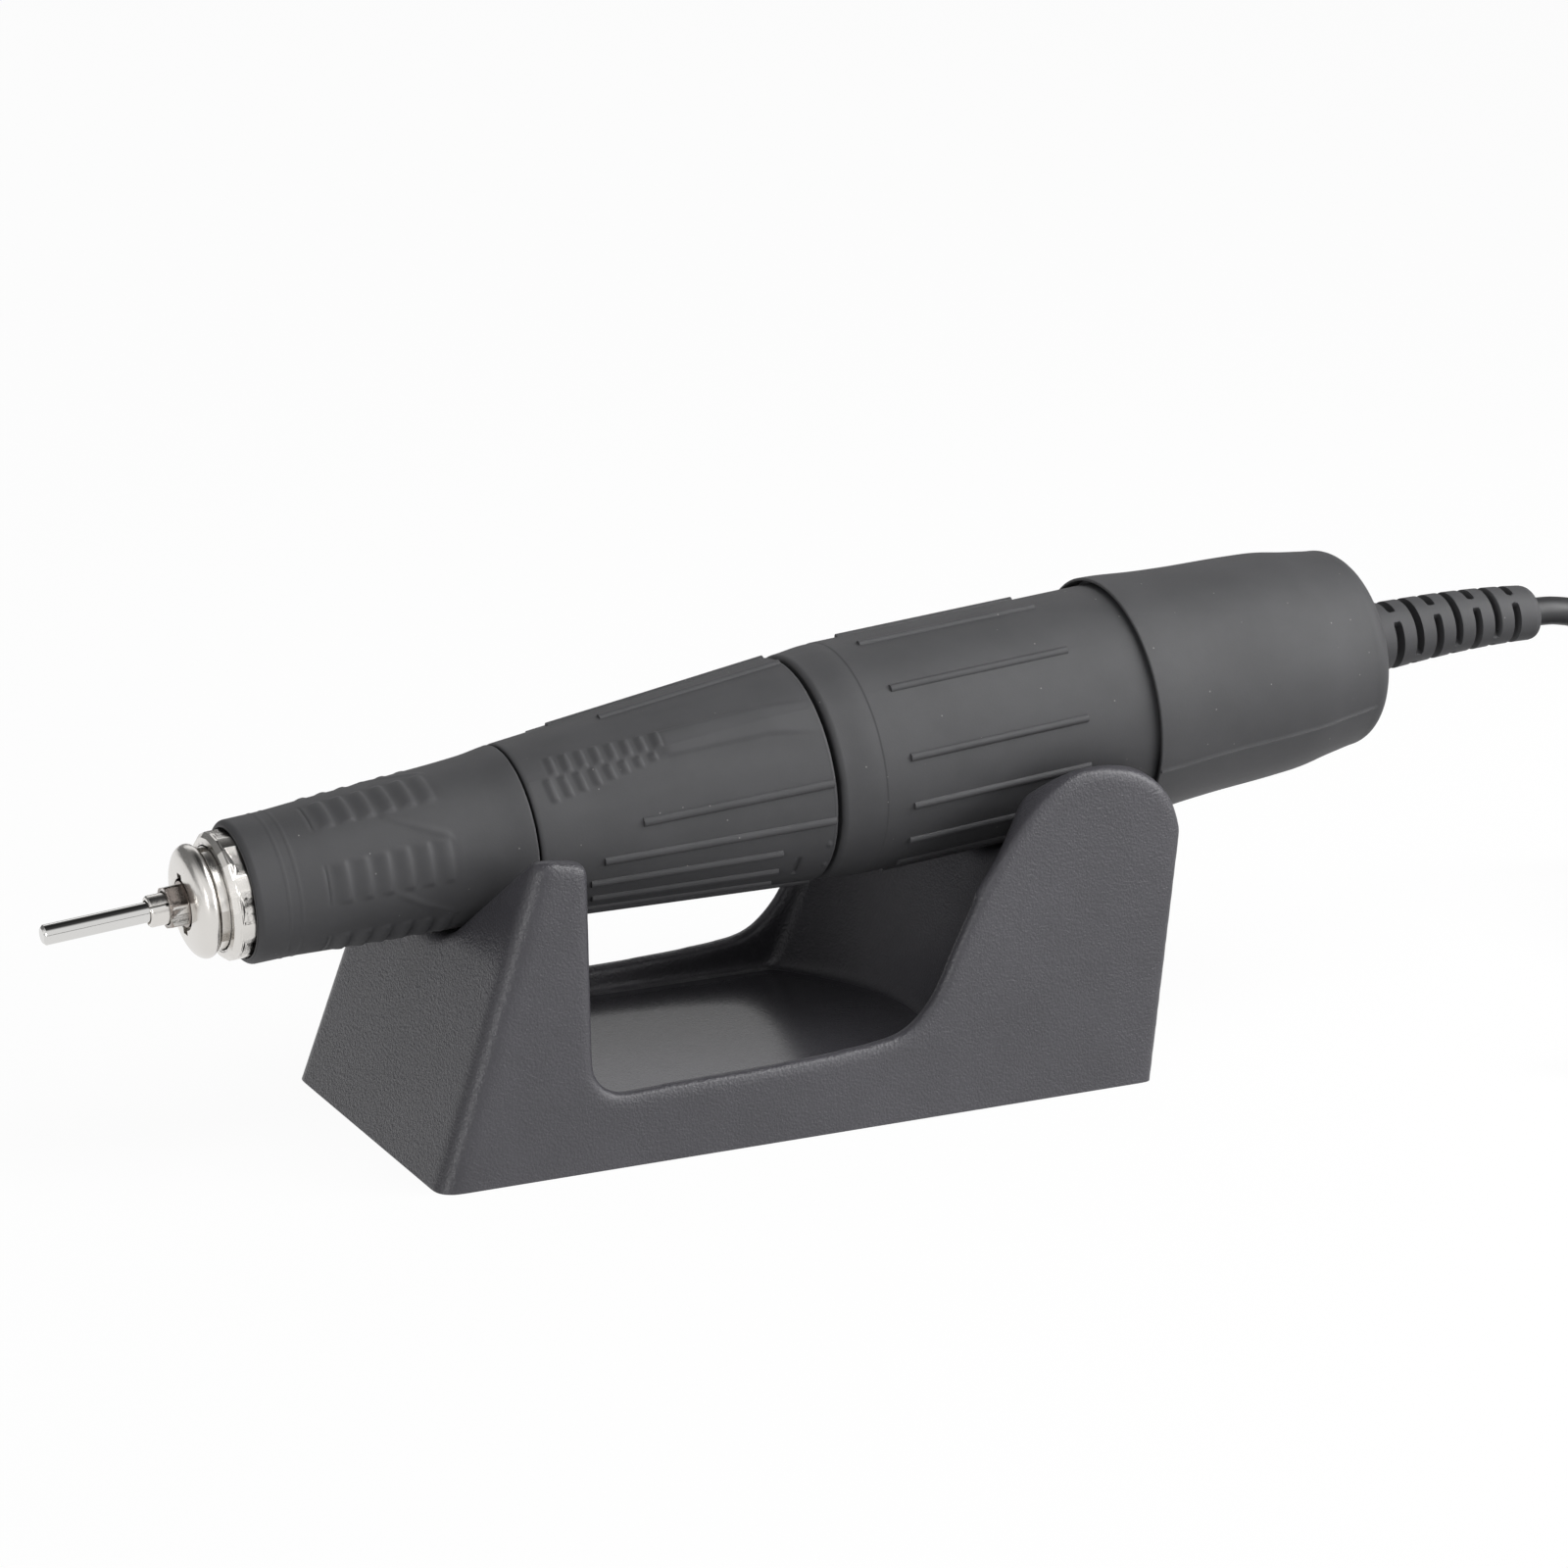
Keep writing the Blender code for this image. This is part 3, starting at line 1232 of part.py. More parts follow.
def make_push_sleeve():
    """Make the sleeve that pushes the collar, and its two radial pins."""
    bore = SPINDLE_RADIUS + GAP
    profile = ring_profile(PUSH_SLEEVE_FRONT, PUSH_SLEEVE_REAR, bore, COLLAR_RADIUS)
    sleeve = turned("push_sleeve", profile, SMALL_STEPS, "Satin steel")
    solid = bmesh.new()
    length = 2 * (COLLAR_RADIUS + OVERRUN)
    hole = PUSH_PIN_RADIUS + FINE_GAP
    add_rod(solid, hole, length, at(PUSH_PIN_STATION, PUSH_PIN_AZIMUTH), PIN_SIDES)
    cut(sleeve, place_cutter("push_pin_holes", to_mesh("push_pin_holes", solid), AXIS))
    inner = bore + FINE_GAP
    outer = CAM_RADIUS
    for index, name in enumerate(("push_pin_upper", "push_pin_lower")):
        solid = bmesh.new()
        azimuth = PUSH_PIN_AZIMUTH + math.pi * index
        placement = at(PUSH_PIN_STATION, azimuth, (inner + outer) / 2)
        add_rod(solid, PUSH_PIN_RADIUS, outer - inner, placement, PIN_SIDES)
        place(name, to_mesh(name, solid), "Polished steel", AXIS)


def make_cam_sleeve():
    """Make the sleeve whose two sloping slots drive the push pins."""
    profile = ring_profile(CAM_FRONT, CAM_REAR, CAM_BORE, CAM_RADIUS)
    cam = turned("cam_sleeve", profile, MIDDLE_STEPS, "Satin steel")
    radius = (CAM_BORE + CAM_RADIUS) / 2
    clearance = PUSH_PIN_RADIUS + GAP
    margin = (PUSH_PIN_RADIUS + 2 * GAP) / radius
    for index, name in enumerate(("cam_slot_upper", "cam_slot_lower")):
        points = []
        for step in range(CAM_CURVE_POINTS):
            share = step / (CAM_CURVE_POINTS - 1)
            turn = margin - (TWIST_ANGLE + 2 * margin) * share
            slide = CHUCK_TRAVEL * (turn / TWIST_ANGLE)
            azimuth = PUSH_PIN_AZIMUTH + math.pi * index + turn
            point = at(PUSH_PIN_STATION + slide, azimuth, radius).translation
            points.append(point)
        bevel = math.hypot(clearance, CAM_WALL) / math.cos(math.pi / CAM_SLOT_SIDES)
        data = curve_data(name, points, bevel, CAM_SLOT_RESOLUTION)
        cut(cam, baked(place_cutter(name, data, AXIS)))


def add_rib(solid, start, end, azimuth, width, height):
    """Add a raised bar along a cone between two (station, radius) points."""
    run = end[0] - start[0]
    climb = end[1] - start[1]
    length = math.hypot(run, climb)
    middle = at((start[0] + end[0]) / 2, azimuth, (start[1] + end[1]) / 2)
    tilt = Matrix.Rotation(-math.atan2(climb, run), 4, "Y")
    sunk = 2 * height
    lift = Matrix.Translation((0, 0, height - (height + sunk) / 2))
    before = len(solid.verts)
    add_box(solid, (length, width, height + sunk), middle @ tilt @ lift)
    solid.verts.ensure_lookup_table()
    new = set(solid.verts[before:])
    outward = middle.to_3x3() @ Vector((0, 0, 1))
    top_edges = [
        edge
        for edge in solid.edges
        if edge.verts[0] in new and is_outer_edge(edge, middle, outward)
    ]
    bmesh.ops.bevel(
        solid,
        geom=top_edges,
        offset=height * RIB_ROUND_SHARE,
        segments=1,
        profile=0.5,
        affect="EDGES",
    )


def is_outer_edge(edge, placement, outward):
    """An outer edge of a rib has both its ends above the surface that carries it."""
    return all((vertex.co - placement.translation).dot(outward) > 0 for vertex in edge.verts)


def mirrored_offsets(offsets):
    """Return azimuth offsets on both sides of the moulding plane, in radians."""
    both = []
    for offset in offsets:
        both.append(math.radians(offset))
        if 0 < offset < 180:
            both.append(-math.radians(offset))
    return both


def add_thumb_bars(solid, azimuth):
    """Add the two rows of short cross bars of one thumb pad on the twist ring."""
    for index in range(TWIST_BARS):
        share = index / (TWIST_BARS - 1)
        station = TWIST_FRONT + TWIST_BAR_START + TWIST_BAR_PITCH * index
        radius = twist_radius(station)
        for side, arcs in ((-1, TWIST_BAR_UPPER_ARCS), (1, TWIST_BAR_LOWER_ARCS)):
            reach = arcs[0] + (arcs[1] - arcs[0]) * share
            middle = azimuth + side * (reach + TWIST_BAR_PARTING) / 2
            length = radius * (reach - TWIST_BAR_PARTING)
            placement = at(station, middle, radius - TWIST_BAR_HEIGHT / 2)
            add_box(solid, (TWIST_BAR_WIDTH, length, 3 * TWIST_BAR_HEIGHT), placement)


def make_twist_ring():
    """Make the ribbed ring that is turned to open the chuck."""
    edge = TWIST_EDGE
    counterbore = NECK_FRONT - BARREL_FLANGE_LENGTH - 3 * GAP
    cone_front = counterbore - TWIST_BORE_CONE_LENGTH
    profile = [
        (TWIST_FRONT, TWIST_FRONT_RADIUS - edge / 2),
        (TWIST_FRONT + edge / 2, twist_radius(TWIST_FRONT + edge / 2)),
        (TWIST_REAR - edge, twist_radius(TWIST_REAR - edge)),
        (TWIST_REAR, TWIST_REAR_RADIUS - edge),
        (TWIST_REAR, TWIST_REAR_BORE),
        (counterbore, TWIST_REAR_BORE),
        (cone_front, TWIST_BORE),
        (TWIST_FRONT, TWIST_BORE),
    ]
    ring = turned("twist_ring", profile, LARGE_STEPS, "Soft rubber")
    solid = bmesh.new()
    rows = zip(TWIST_RIB_OFFSETS, TWIST_RIB_START_SHARES, TWIST_RIB_END_SHARES)
    for offset, start_share, end_share in rows:
        start = TWIST_FRONT + TWIST_LENGTH * start_share
        end = TWIST_FRONT + TWIST_LENGTH * end_share
        for turn in mirrored_offsets([offset]):
            add_rib(
                solid,
                (start, twist_radius(start)),
                (end, twist_radius(end)),
                RIB_PLANE + turn,
                TWIST_RIB_WIDTH,
                TWIST_RIB_HEIGHT,
            )
    for azimuth in (RIB_PLANE, RIB_PLANE + math.pi):
        add_thumb_bars(solid, azimuth)
    ribs = place_cutter("twist_ribs", to_mesh("twist_ribs", solid), AXIS)
    combine(ring, ribs, "UNION")


def make_motor_sleeve():
    """Make the ribbed housing of the motor, with the neck that carries the twist ring."""
    nose_rear = SLEEVE_FRONT + SLEEVE_NOSE_LENGTH
    edge = SLEEVE_EDGE
    tail_rear = SLEEVE_REAR + SLEEVE_TAIL_LENGTH
    neck_bore = NECK_RADIUS - NECK_WALL
    profile = [
        (NECK_FRONT, NECK_RADIUS),
        (SLEEVE_FRONT, NECK_RADIUS),
        (SLEEVE_FRONT, SLEEVE_RADIUS - SLEEVE_NOSE_DROP - edge),
        (SLEEVE_FRONT + edge, SLEEVE_RADIUS - SLEEVE_NOSE_DROP),
        ((SLEEVE_FRONT + nose_rear) / 2, SLEEVE_RADIUS - SLEEVE_NOSE_DROP / 5),
        (nose_rear, SLEEVE_RADIUS),
        (SLEEVE_REAR, SLEEVE_RADIUS),
        (SLEEVE_REAR, SLEEVE_TAIL_RADIUS),
        (tail_rear, SLEEVE_TAIL_RADIUS),
        (tail_rear, SLEEVE_BORE),
        (SLEEVE_FRONT + SLEEVE_FRONT_WALL, SLEEVE_BORE),
        (SLEEVE_FRONT + SLEEVE_FRONT_WALL, neck_bore),
        (NECK_FRONT, neck_bore),
    ]
    sleeve = turned("motor_sleeve", profile, LARGE_STEPS, "Soft rubber")
    solid = bmesh.new()
    start = SLEEVE_FRONT + SLEEVE_LENGTH * SLEEVE_RIB_START_SHARE
    end = SLEEVE_FRONT + SLEEVE_LENGTH * SLEEVE_RIB_END_SHARE
    for turn in mirrored_offsets(SLEEVE_RIB_OFFSETS):
        add_rib(
            solid,
            (start, SLEEVE_RADIUS),
            (end, SLEEVE_RADIUS),
            RIB_PLANE + turn,
            SLEEVE_RIB_WIDTH,
            SLEEVE_RIB_HEIGHT,
        )
    ribs = place_cutter("sleeve_ribs", to_mesh("sleeve_ribs", solid), AXIS)
    combine(sleeve, ribs, "UNION")


def make_motor_can():
    """Make the motor's steel can with the boss that holds its front bearing."""
    boss_lip = CAN_BOSS_FRONT + CAN_BOSS_LIP
    profile = [
        (CAN_BOSS_FRONT, CAN_BOSS_RADIUS),
        (CAN_FRONT, CAN_BOSS_RADIUS),
        (CAN_FRONT, CAN_RADIUS),
        (CAN_REAR, CAN_RADIUS),
        (CAN_REAR, CAN_BORE),
        (CAN_FRONT + CAN_PLATE, CAN_BORE),
        (CAN_FRONT + CAN_PLATE, CAN_BOSS_BORE),
        (boss_lip, CAN_BOSS_BORE),
        (boss_lip, SHAFT_RACE_RADIUS),
        (CAN_BOSS_FRONT, SHAFT_RACE_RADIUS),
    ]
    turned("motor_can", profile, MIDDLE_STEPS, "Laminated steel")


def arc_plate(name, front, rear, bore, radius, azimuth, arc):
    """Make a curved segment about the handpiece's axis, such as a magnet."""
    angle = math.pi / 2 - azimuth
    outer = arc_points((0, 0), radius, angle - arc / 2, angle + arc / 2, MAGNET_ARC_POINTS)
    inner = arc_points((0, 0), bore, angle + arc / 2, angle - arc / 2, MAGNET_ARC_POINTS)
    rings = []
    for station in (front, rear):
        rings.append([(station, y, z) for y, z in outer + inner])
    return place(name, loft_mesh(name, rings), "Ferrite", AXIS)


def make_magnets():
    """Make the two field magnets."""
    front = ROTOR_FRONT - MAGNET_OVERHANG
    rear = ROTOR_REAR + MAGNET_OVERHANG
    for name, azimuth in (("magnet_upper", 0), ("magnet_lower", math.pi)):
        arc_plate(name, front, rear, MAGNET_BORE, MAGNET_RADIUS, azimuth, MAGNET_ARC)


def rotor_outline():
    """Return the outline of the rotor's laminations, with a T-shaped tooth for each slot."""
    outline = []
    pitch = 2 * math.pi / ROTOR_TEETH
    tip = pitch * (1 - ROTOR_SLOT_MOUTH_SHARE) / 2
    tooth = pitch * ROTOR_TOOTH_SHARE / 2
    shoe = ROTOR_RADIUS - ROTOR_TIP_THICKNESS
    neck = shoe * math.sin(tooth)
    root = math.asin(neck / ROTOR_CORE_RADIUS)
    for index in range(ROTOR_TEETH):
        middle = pitch * index
        outline += arc_points((0, 0), ROTOR_CORE_RADIUS, middle - root, middle - root, 1)[:1]
        outline += arc_points((0, 0), shoe, middle - tooth, middle - tooth, 1)[:1]
        outline += arc_points((0, 0), shoe, middle - tip, middle - tip, 1)[:1]
        outline += arc_points((0, 0), ROTOR_RADIUS, middle - tip, middle + tip, 4)
        outline += arc_points((0, 0), shoe, middle + tip, middle + tip, 1)[:1]
        outline += arc_points((0, 0), shoe, middle + tooth, middle + tooth, 1)[:1]
        outline += arc_points((0, 0), ROTOR_CORE_RADIUS, middle + root, middle + root, 1)[:1]
    return outline


def make_rotor():
    """Make the rotor: shaft, claw, laminations, end turns and commutator."""
    shaft_front = CLAW_FRONT + GAP
    profile = rod_profile(CLAW_REAR + GAP, SHAFT_REAR, SHAFT_RADIUS)
    turned("motor_shaft", profile, SMALL_STEPS, "Polished steel")
    claw_profile = rod_profile(CLAW_FRONT, CLAW_REAR, SPINDLE_RADIUS)
    claw = turned("drive_claw", claw_profile, SMALL_STEPS, "Moulded plastic")
    solid = bmesh.new()
    length = CLAW_DEPTH
    size = (length, CLAW_TONGUE, 2 * (SPINDLE_RADIUS - GAP))
    add_box(solid, size, at(shaft_front - length / 2, 0))
    tongue = place_cutter("claw_tongue", to_mesh("claw_tongue", solid), AXIS)
    combine(claw, tongue, "UNION")
    bore = SHAFT_RADIUS + FINE_GAP
    hole = arc_points((0, 0), bore, 0, 2 * math.pi, SMALL_STEPS)[:-1]
    plate = plate_data("rotor_core", [rotor_outline(), hole], ROTOR_LENGTH)
    core = place("rotor_core", plate, "Laminated steel", AXIS)
    core.rotation_euler = (0, math.pi / 2, 0)
    core.location = ((ROTOR_FRONT + ROTOR_REAR) / 2, 0, 0)
    for name, front in (("winding_front", WINDING_FRONT), ("winding_rear", WINDING_REAR)):
        rear = front + WINDING_LENGTH
        edge = WINDING_LENGTH / 3
        profile = ring_profile(front, rear, bore, WINDING_RADIUS, edge)
        turned(name, profile, SMALL_STEPS, "Copper")
    profile = ring_profile(COMMUTATOR_FRONT, COMMUTATOR_REAR, bore, COMMUTATOR_RADIUS)
    commutator = turned("commutator", profile, SMALL_STEPS, "Copper")
    solid = bmesh.new()
    for index in range(COMMUTATOR_BARS):
        length = COMMUTATOR_LENGTH + 2 * OVERRUN
        azimuth = 2 * math.pi * index / COMMUTATOR_BARS
        size = (length, COMMUTATOR_SLIT, 2 * COMMUTATOR_SLIT_DEPTH)
        add_box(solid, size, at(BRUSH_STATION, azimuth, COMMUTATOR_RADIUS))
    cut(commutator, place_cutter("commutator_slits", to_mesh("commutator_slits", solid), AXIS))


def make_motor_bearings():
    """Make the bearings at the two ends of the motor's shaft."""
    radii = (SHAFT_RACE_BORE, SHAFT_RACE_RADIUS, MOTOR_RACE_BORE, MOTOR_BEARING_RADIUS)
    make_bearing("motor_front_bearing", MOTOR_BEARING_FRONT, MOTOR_BEARING_LENGTH, radii, SMALL_STEPS)
    make_bearing("motor_rear_bearing", REAR_BEARING, MOTOR_BEARING_LENGTH, radii, SMALL_STEPS)


def make_end_bell():
    """Make the end bell that holds the rear bearing and the two brush holders."""
    seat_front = REAR_BEARING - GAP
    profile = [
        (END_BELL_FRONT, CAN_RADIUS),
        (END_BELL_REAR, CAN_RADIUS),
        (END_BELL_REAR, CAN_BOSS_BORE),
        (seat_front, CAN_BOSS_BORE),
        (seat_front, SHAFT_RACE_RADIUS),
        (END_BELL_FRONT, SHAFT_RACE_RADIUS),
    ]
    bell = turned("end_bell", profile, MIDDLE_STEPS, "Moulded plastic")
    half_length = BRUSH_WIDTH / 2 + GAP + HOLDER_WALL
    front = BRUSH_STATION - half_length
    rear = END_BELL_FRONT + FINE_GAP
    inner = COMMUTATOR_RADIUS + 3 * GAP
    outer = CAN_BORE - 2 * GAP
    width = BRUSH_THICKNESS + 2 * (GAP + HOLDER_WALL)
    arms = bmesh.new()
    channels = bmesh.new()
    for azimuth in BRUSH_AZIMUTHS:
        middle = at((front + rear) / 2, azimuth, (inner + outer) / 2)
        add_box(arms, (rear - front, width, outer - inner), middle)
        reach = outer - HOLDER_WALL - inner + OVERRUN
        place_at = at(BRUSH_STATION, azimuth, inner - OVERRUN + reach / 2)
        size = (BRUSH_WIDTH + 2 * GAP, BRUSH_THICKNESS + 2 * GAP, reach)
        add_box(channels, size, place_at)
    combine(bell, place_cutter("brush_holders", to_mesh("brush_holders", arms), AXIS), "UNION")
    cut(bell, place_cutter("brush_channels", to_mesh("brush_channels", channels), AXIS))


def make_brushes():
    """Make the two carbon brushes and the springs behind them."""
    inner = COMMUTATOR_RADIUS + FINE_GAP
    spring_end = CAN_BORE - 2 * GAP - HOLDER_WALL - GAP
    spring_start = inner + BRUSH_LENGTH + GAP
    wire = BRUSH_SPRING_WIRE
    for azimuth, side in zip(BRUSH_AZIMUTHS, ("near", "far")):
        solid = bmesh.new()
        middle = at(BRUSH_STATION, azimuth, inner + BRUSH_LENGTH / 2)
        add_box(solid, (BRUSH_WIDTH, BRUSH_THICKNESS, BRUSH_LENGTH), middle)
        place("brush_" + side, to_mesh("brush_" + side, solid), "Carbon", AXIS)
        points = []
        helix = helix_points(
            BRUSH_SPRING_TURNS,
            BRUSH_SPRING_POINTS,
            BRUSH_SPRING_RADIUS - wire,
            spring_start + wire,
            spring_end - wire,
        )
        turn = at(BRUSH_STATION, azimuth)
        for radius, across, along in helix:
            points.append(turn @ Vector((along, across, radius)))
        tube("brush_spring_" + side, points, wire, 0, "Spring steel", AXIS)


def make_terminal_wires():
    """Make the two wires from the brushes to the cord."""
    wire = TERMINAL_WIRE_RADIUS
    front = END_BELL_REAR + wire + GAP
    rear = CAP_REAR - CAP_END_WALL - RELIEF_FLANGE_LENGTH - 2 * GAP
    for azimuth, side in zip(BRUSH_AZIMUTHS, ("near", "far")):
        points = []
        for along, out in WIRE_SHARES:
            station = front + (rear - front) * along
            points.append(at(station, azimuth, RELIEF_FLANGE_RADIUS * out).translation)
        tube("terminal_wire_" + side, smooth_path(points, WIRE_POINTS), wire, 1, "Cord jacket", AXIS)


def make_rear_cap():
    """Make the soft cap over the rear of the motor."""
    edge = CAP_LIP_EDGE
    corner = CAP_CORNER
    taper = share_points(
        CAP_TAPER_SHARES, CAP_FRONT, CAP_REAR, CAP_RADIUS, CAP_RADIUS - CAP_TAPER
    )
    corner_radius = CAP_RADIUS - CAP_TAPER * CAP_CORNER_SHARE
    centre = (CAP_REAR - corner, corner_radius - corner)
    end = arc_points(centre, corner, math.pi / 2, 0, CAP_CORNER_POINTS)
    mouth_rear = SLEEVE_REAR + GAP
    inner_rear = CAP_REAR - CAP_END_WALL
    inner_radius = corner_radius - CAP_WALL - CAP_TAPER * CAP_CORNER_SHARE / 4
    hole = RELIEF_RADIUS + GAP
    profile = [
        (CAP_FRONT, CAP_RADIUS - edge),
        (CAP_FRONT + edge, CAP_RADIUS),
        *taper,
        *end,
        (CAP_REAR, hole),
        (inner_rear, hole),
        (inner_rear, inner_radius - corner),
        (inner_rear - corner, inner_radius),
        (SLEEVE_REAR + SLEEVE_TAIL_LENGTH + GAP, CAP_BORE),
        (mouth_rear, CAP_BORE),
        (mouth_rear, CAP_MOUTH_BORE),
        (CAP_FRONT, CAP_MOUTH_BORE),
    ]
    turned("rear_cap", profile, LARGE_STEPS, "Soft rubber")


def relief_droop(station):
    """Return how far the strain relief has sagged from the axis at a station."""
    share = max(0.0, (station - CAP_REAR) / RELIEF_LENGTH)
    return RELIEF_DROOP * share ** 3


def relief_ring(station, radius, depth=0.0, bridge=0):
    """Return a ring of the strain relief, sunk all round but at its two bridges."""
    ring = []
    for index in range(RELIEF_SIDES):
        azimuth = RIB_PLANE + 2 * math.pi * index / RELIEF_SIDES
        sunk = depth if (index - bridge) % (RELIEF_SIDES // 2) else 0.0
        point = at(station, azimuth, radius - sunk).translation
        point.z -= relief_droop(station)
        ring.append(point)
    return ring


def make_strain_relief():
    """Make the tapered, slotted strain relief that bends down with the cord."""
    flange_rear = CAP_REAR - CAP_END_WALL - GAP
    rings = [
        relief_ring(flange_rear - RELIEF_FLANGE_LENGTH, RELIEF_FLANGE_RADIUS),
        relief_ring(flange_rear, RELIEF_FLANGE_RADIUS),
        relief_ring(flange_rear, RELIEF_RADIUS),
    ]
    flank = RELIEF_SLOT_FLANK
    offsets = (-flank, 0, RELIEF_SLOT_WIDTH - 2 * flank, RELIEF_SLOT_WIDTH - flank)
    depths = (0.0, RELIEF_SLOT_DEPTH, RELIEF_SLOT_DEPTH, 0.0)
    for index in range(RELIEF_SLOTS):
        front = RELIEF_SLOT_START + RELIEF_SLOT_PITCH * index - RELIEF_SLOT_WIDTH / 2 + flank
        bridge = index % 2 * RELIEF_SIDES // 4
        for offset, depth in zip(offsets, depths):
            along = front + offset
            taper = (RELIEF_END_RADIUS - RELIEF_RADIUS) * along / RELIEF_LENGTH
            rings.append(relief_ring(CAP_REAR + along, RELIEF_RADIUS + taper, depth, bridge))
    rings.append(relief_ring(RELIEF_REAR - RELIEF_END_EDGE, RELIEF_END_RADIUS))
    rings.append(relief_ring(RELIEF_REAR, RELIEF_END_RADIUS - RELIEF_END_EDGE))
    place("strain_relief", loft_mesh("strain_relief", rings), "Soft rubber", AXIS)


def coil_points():
    """Return the cord's coil: one layer wound in, a climb down, one layer wound out."""
    pitch = 2 * CORD_RADIUS + COIL_GAP
    low = CORD_RADIUS + CORD_LIFT
    high = low + 2 * CORD_RADIUS + COIL_LAYER_GAP
    outer = COIL_INNER_RADIUS + pitch * COIL_TURNS
    points = []
    winding = COIL_TURNS * COIL_LOOP_POINTS
    climb = COIL_LOOP_POINTS // 2
    for index in range(2 * winding + climb + 1):
        angle = COIL_START_ANGLE - 2 * math.pi * index / COIL_LOOP_POINTS
        if index <= winding:
            radius = outer - pitch * index / COIL_LOOP_POINTS
            height = high
        elif index <= winding + climb:
            radius = COIL_INNER_RADIUS
            share = (index - winding) / climb
            height = high + (low - high) * share
        else:
            radius = COIL_INNER_RADIUS + pitch * (index - winding - climb) / COIL_LOOP_POINTS
            height = low
        x = COIL_CENTRE_X + radius * math.cos(angle)
        y = COIL_CENTRE_Y + radius * math.sin(angle)
        points.append(Vector((x, y, height)))
    start = (points[0] - points[1]).normalized() * 2 * CORD_RADIUS
    end = (points[-1] - points[-2]).normalized() * 2 * CORD_RADIUS
    start.z = 0
    end.z = 0
    return [points[0] + start, *points, points[-1] + end]


def least_self_gap(points):
    """Return the smallest gap that the coil's turns leave between them."""
    least = math.inf
    skip = COIL_LOOP_POINTS // 2
    for index, point in enumerate(points):
        for start, end in zip(points[index + skip:], points[index + skip + 1:]):
            run = end - start
            share = max(0.0, min(1.0, (point - start).dot(run) / run.length_squared))
            least = min(least, (point - start - run * share).length)
    return least - 2 * CORD_RADIUS


def path_length(points):
    """Return the length of a row of points."""
    return sum((end - start).length for start, end in zip(points, points[1:]))


def make_cord():
    """Make the cord: the lead from the handpiece, the coil and the tail to the plug."""
    coil = coil_points()
    tube("cord_coil", coil, CORD_RADIUS, 1, "Cord jacket")
    print("least gap between the coil's turns, mm:", round(least_self_gap(coil) * 1000, 3))
    relief_end = AXIS.matrix_world @ Vector((RELIEF_REAR, 0, -RELIEF_DROOP))
    exit_way = AXIS.matrix_world.to_3x3() @ Vector((RELIEF_LENGTH, 0, -3 * RELIEF_DROOP)).normalized()
    start = relief_end + exit_way * GAP
    entry = (coil[1] - coil[0]).normalized()
    end = coil[0] - entry * GAP
    after_start = start + exit_way * 2 * CORD_RADIUS
    before_end = end - entry * 2 * CORD_RADIUS
    route = smooth_path([start, after_start, *LEAD_ROUTE, before_end, end], LEAD_POINTS)
    lead = [start, after_start, *route[1:-1], before_end, end]
    tube("cord_lead", lead, CORD_RADIUS, 2, "Cord jacket")
    leave = (coil[-1] - coil[-2]).normalized()
    tail_start = coil[-1] + leave * GAP
    plug_way = Vector((math.cos(PLUG_HEADING), math.sin(PLUG_HEADING), 0))
    climb = PLUG_RADIUS - CORD_RADIUS
    tail = []
    for index in range(TAIL_POINTS):
        share = index / (TAIL_POINTS - 1)
        rise = max(0.0, min(1.0, (share - TAIL_STRAIGHT_SHARE) / (1 - 2 * TAIL_STRAIGHT_SHARE)))
        along = leave.lerp(plug_way, share / 2)
        point = tail_start + along * TAIL_LENGTH * share
        point.z += climb * rise * rise * (3 - 2 * rise)
        tail.append(point)
    tube("cord_tail", tail, CORD_RADIUS, 2, "Cord jacket")
    length = path_length(lead) + path_length(coil) + path_length(tail)
    print("length of the cord, mm:", round(length * 1000, 1))
    return tail[-1] + plug_way * GAP, plug_way


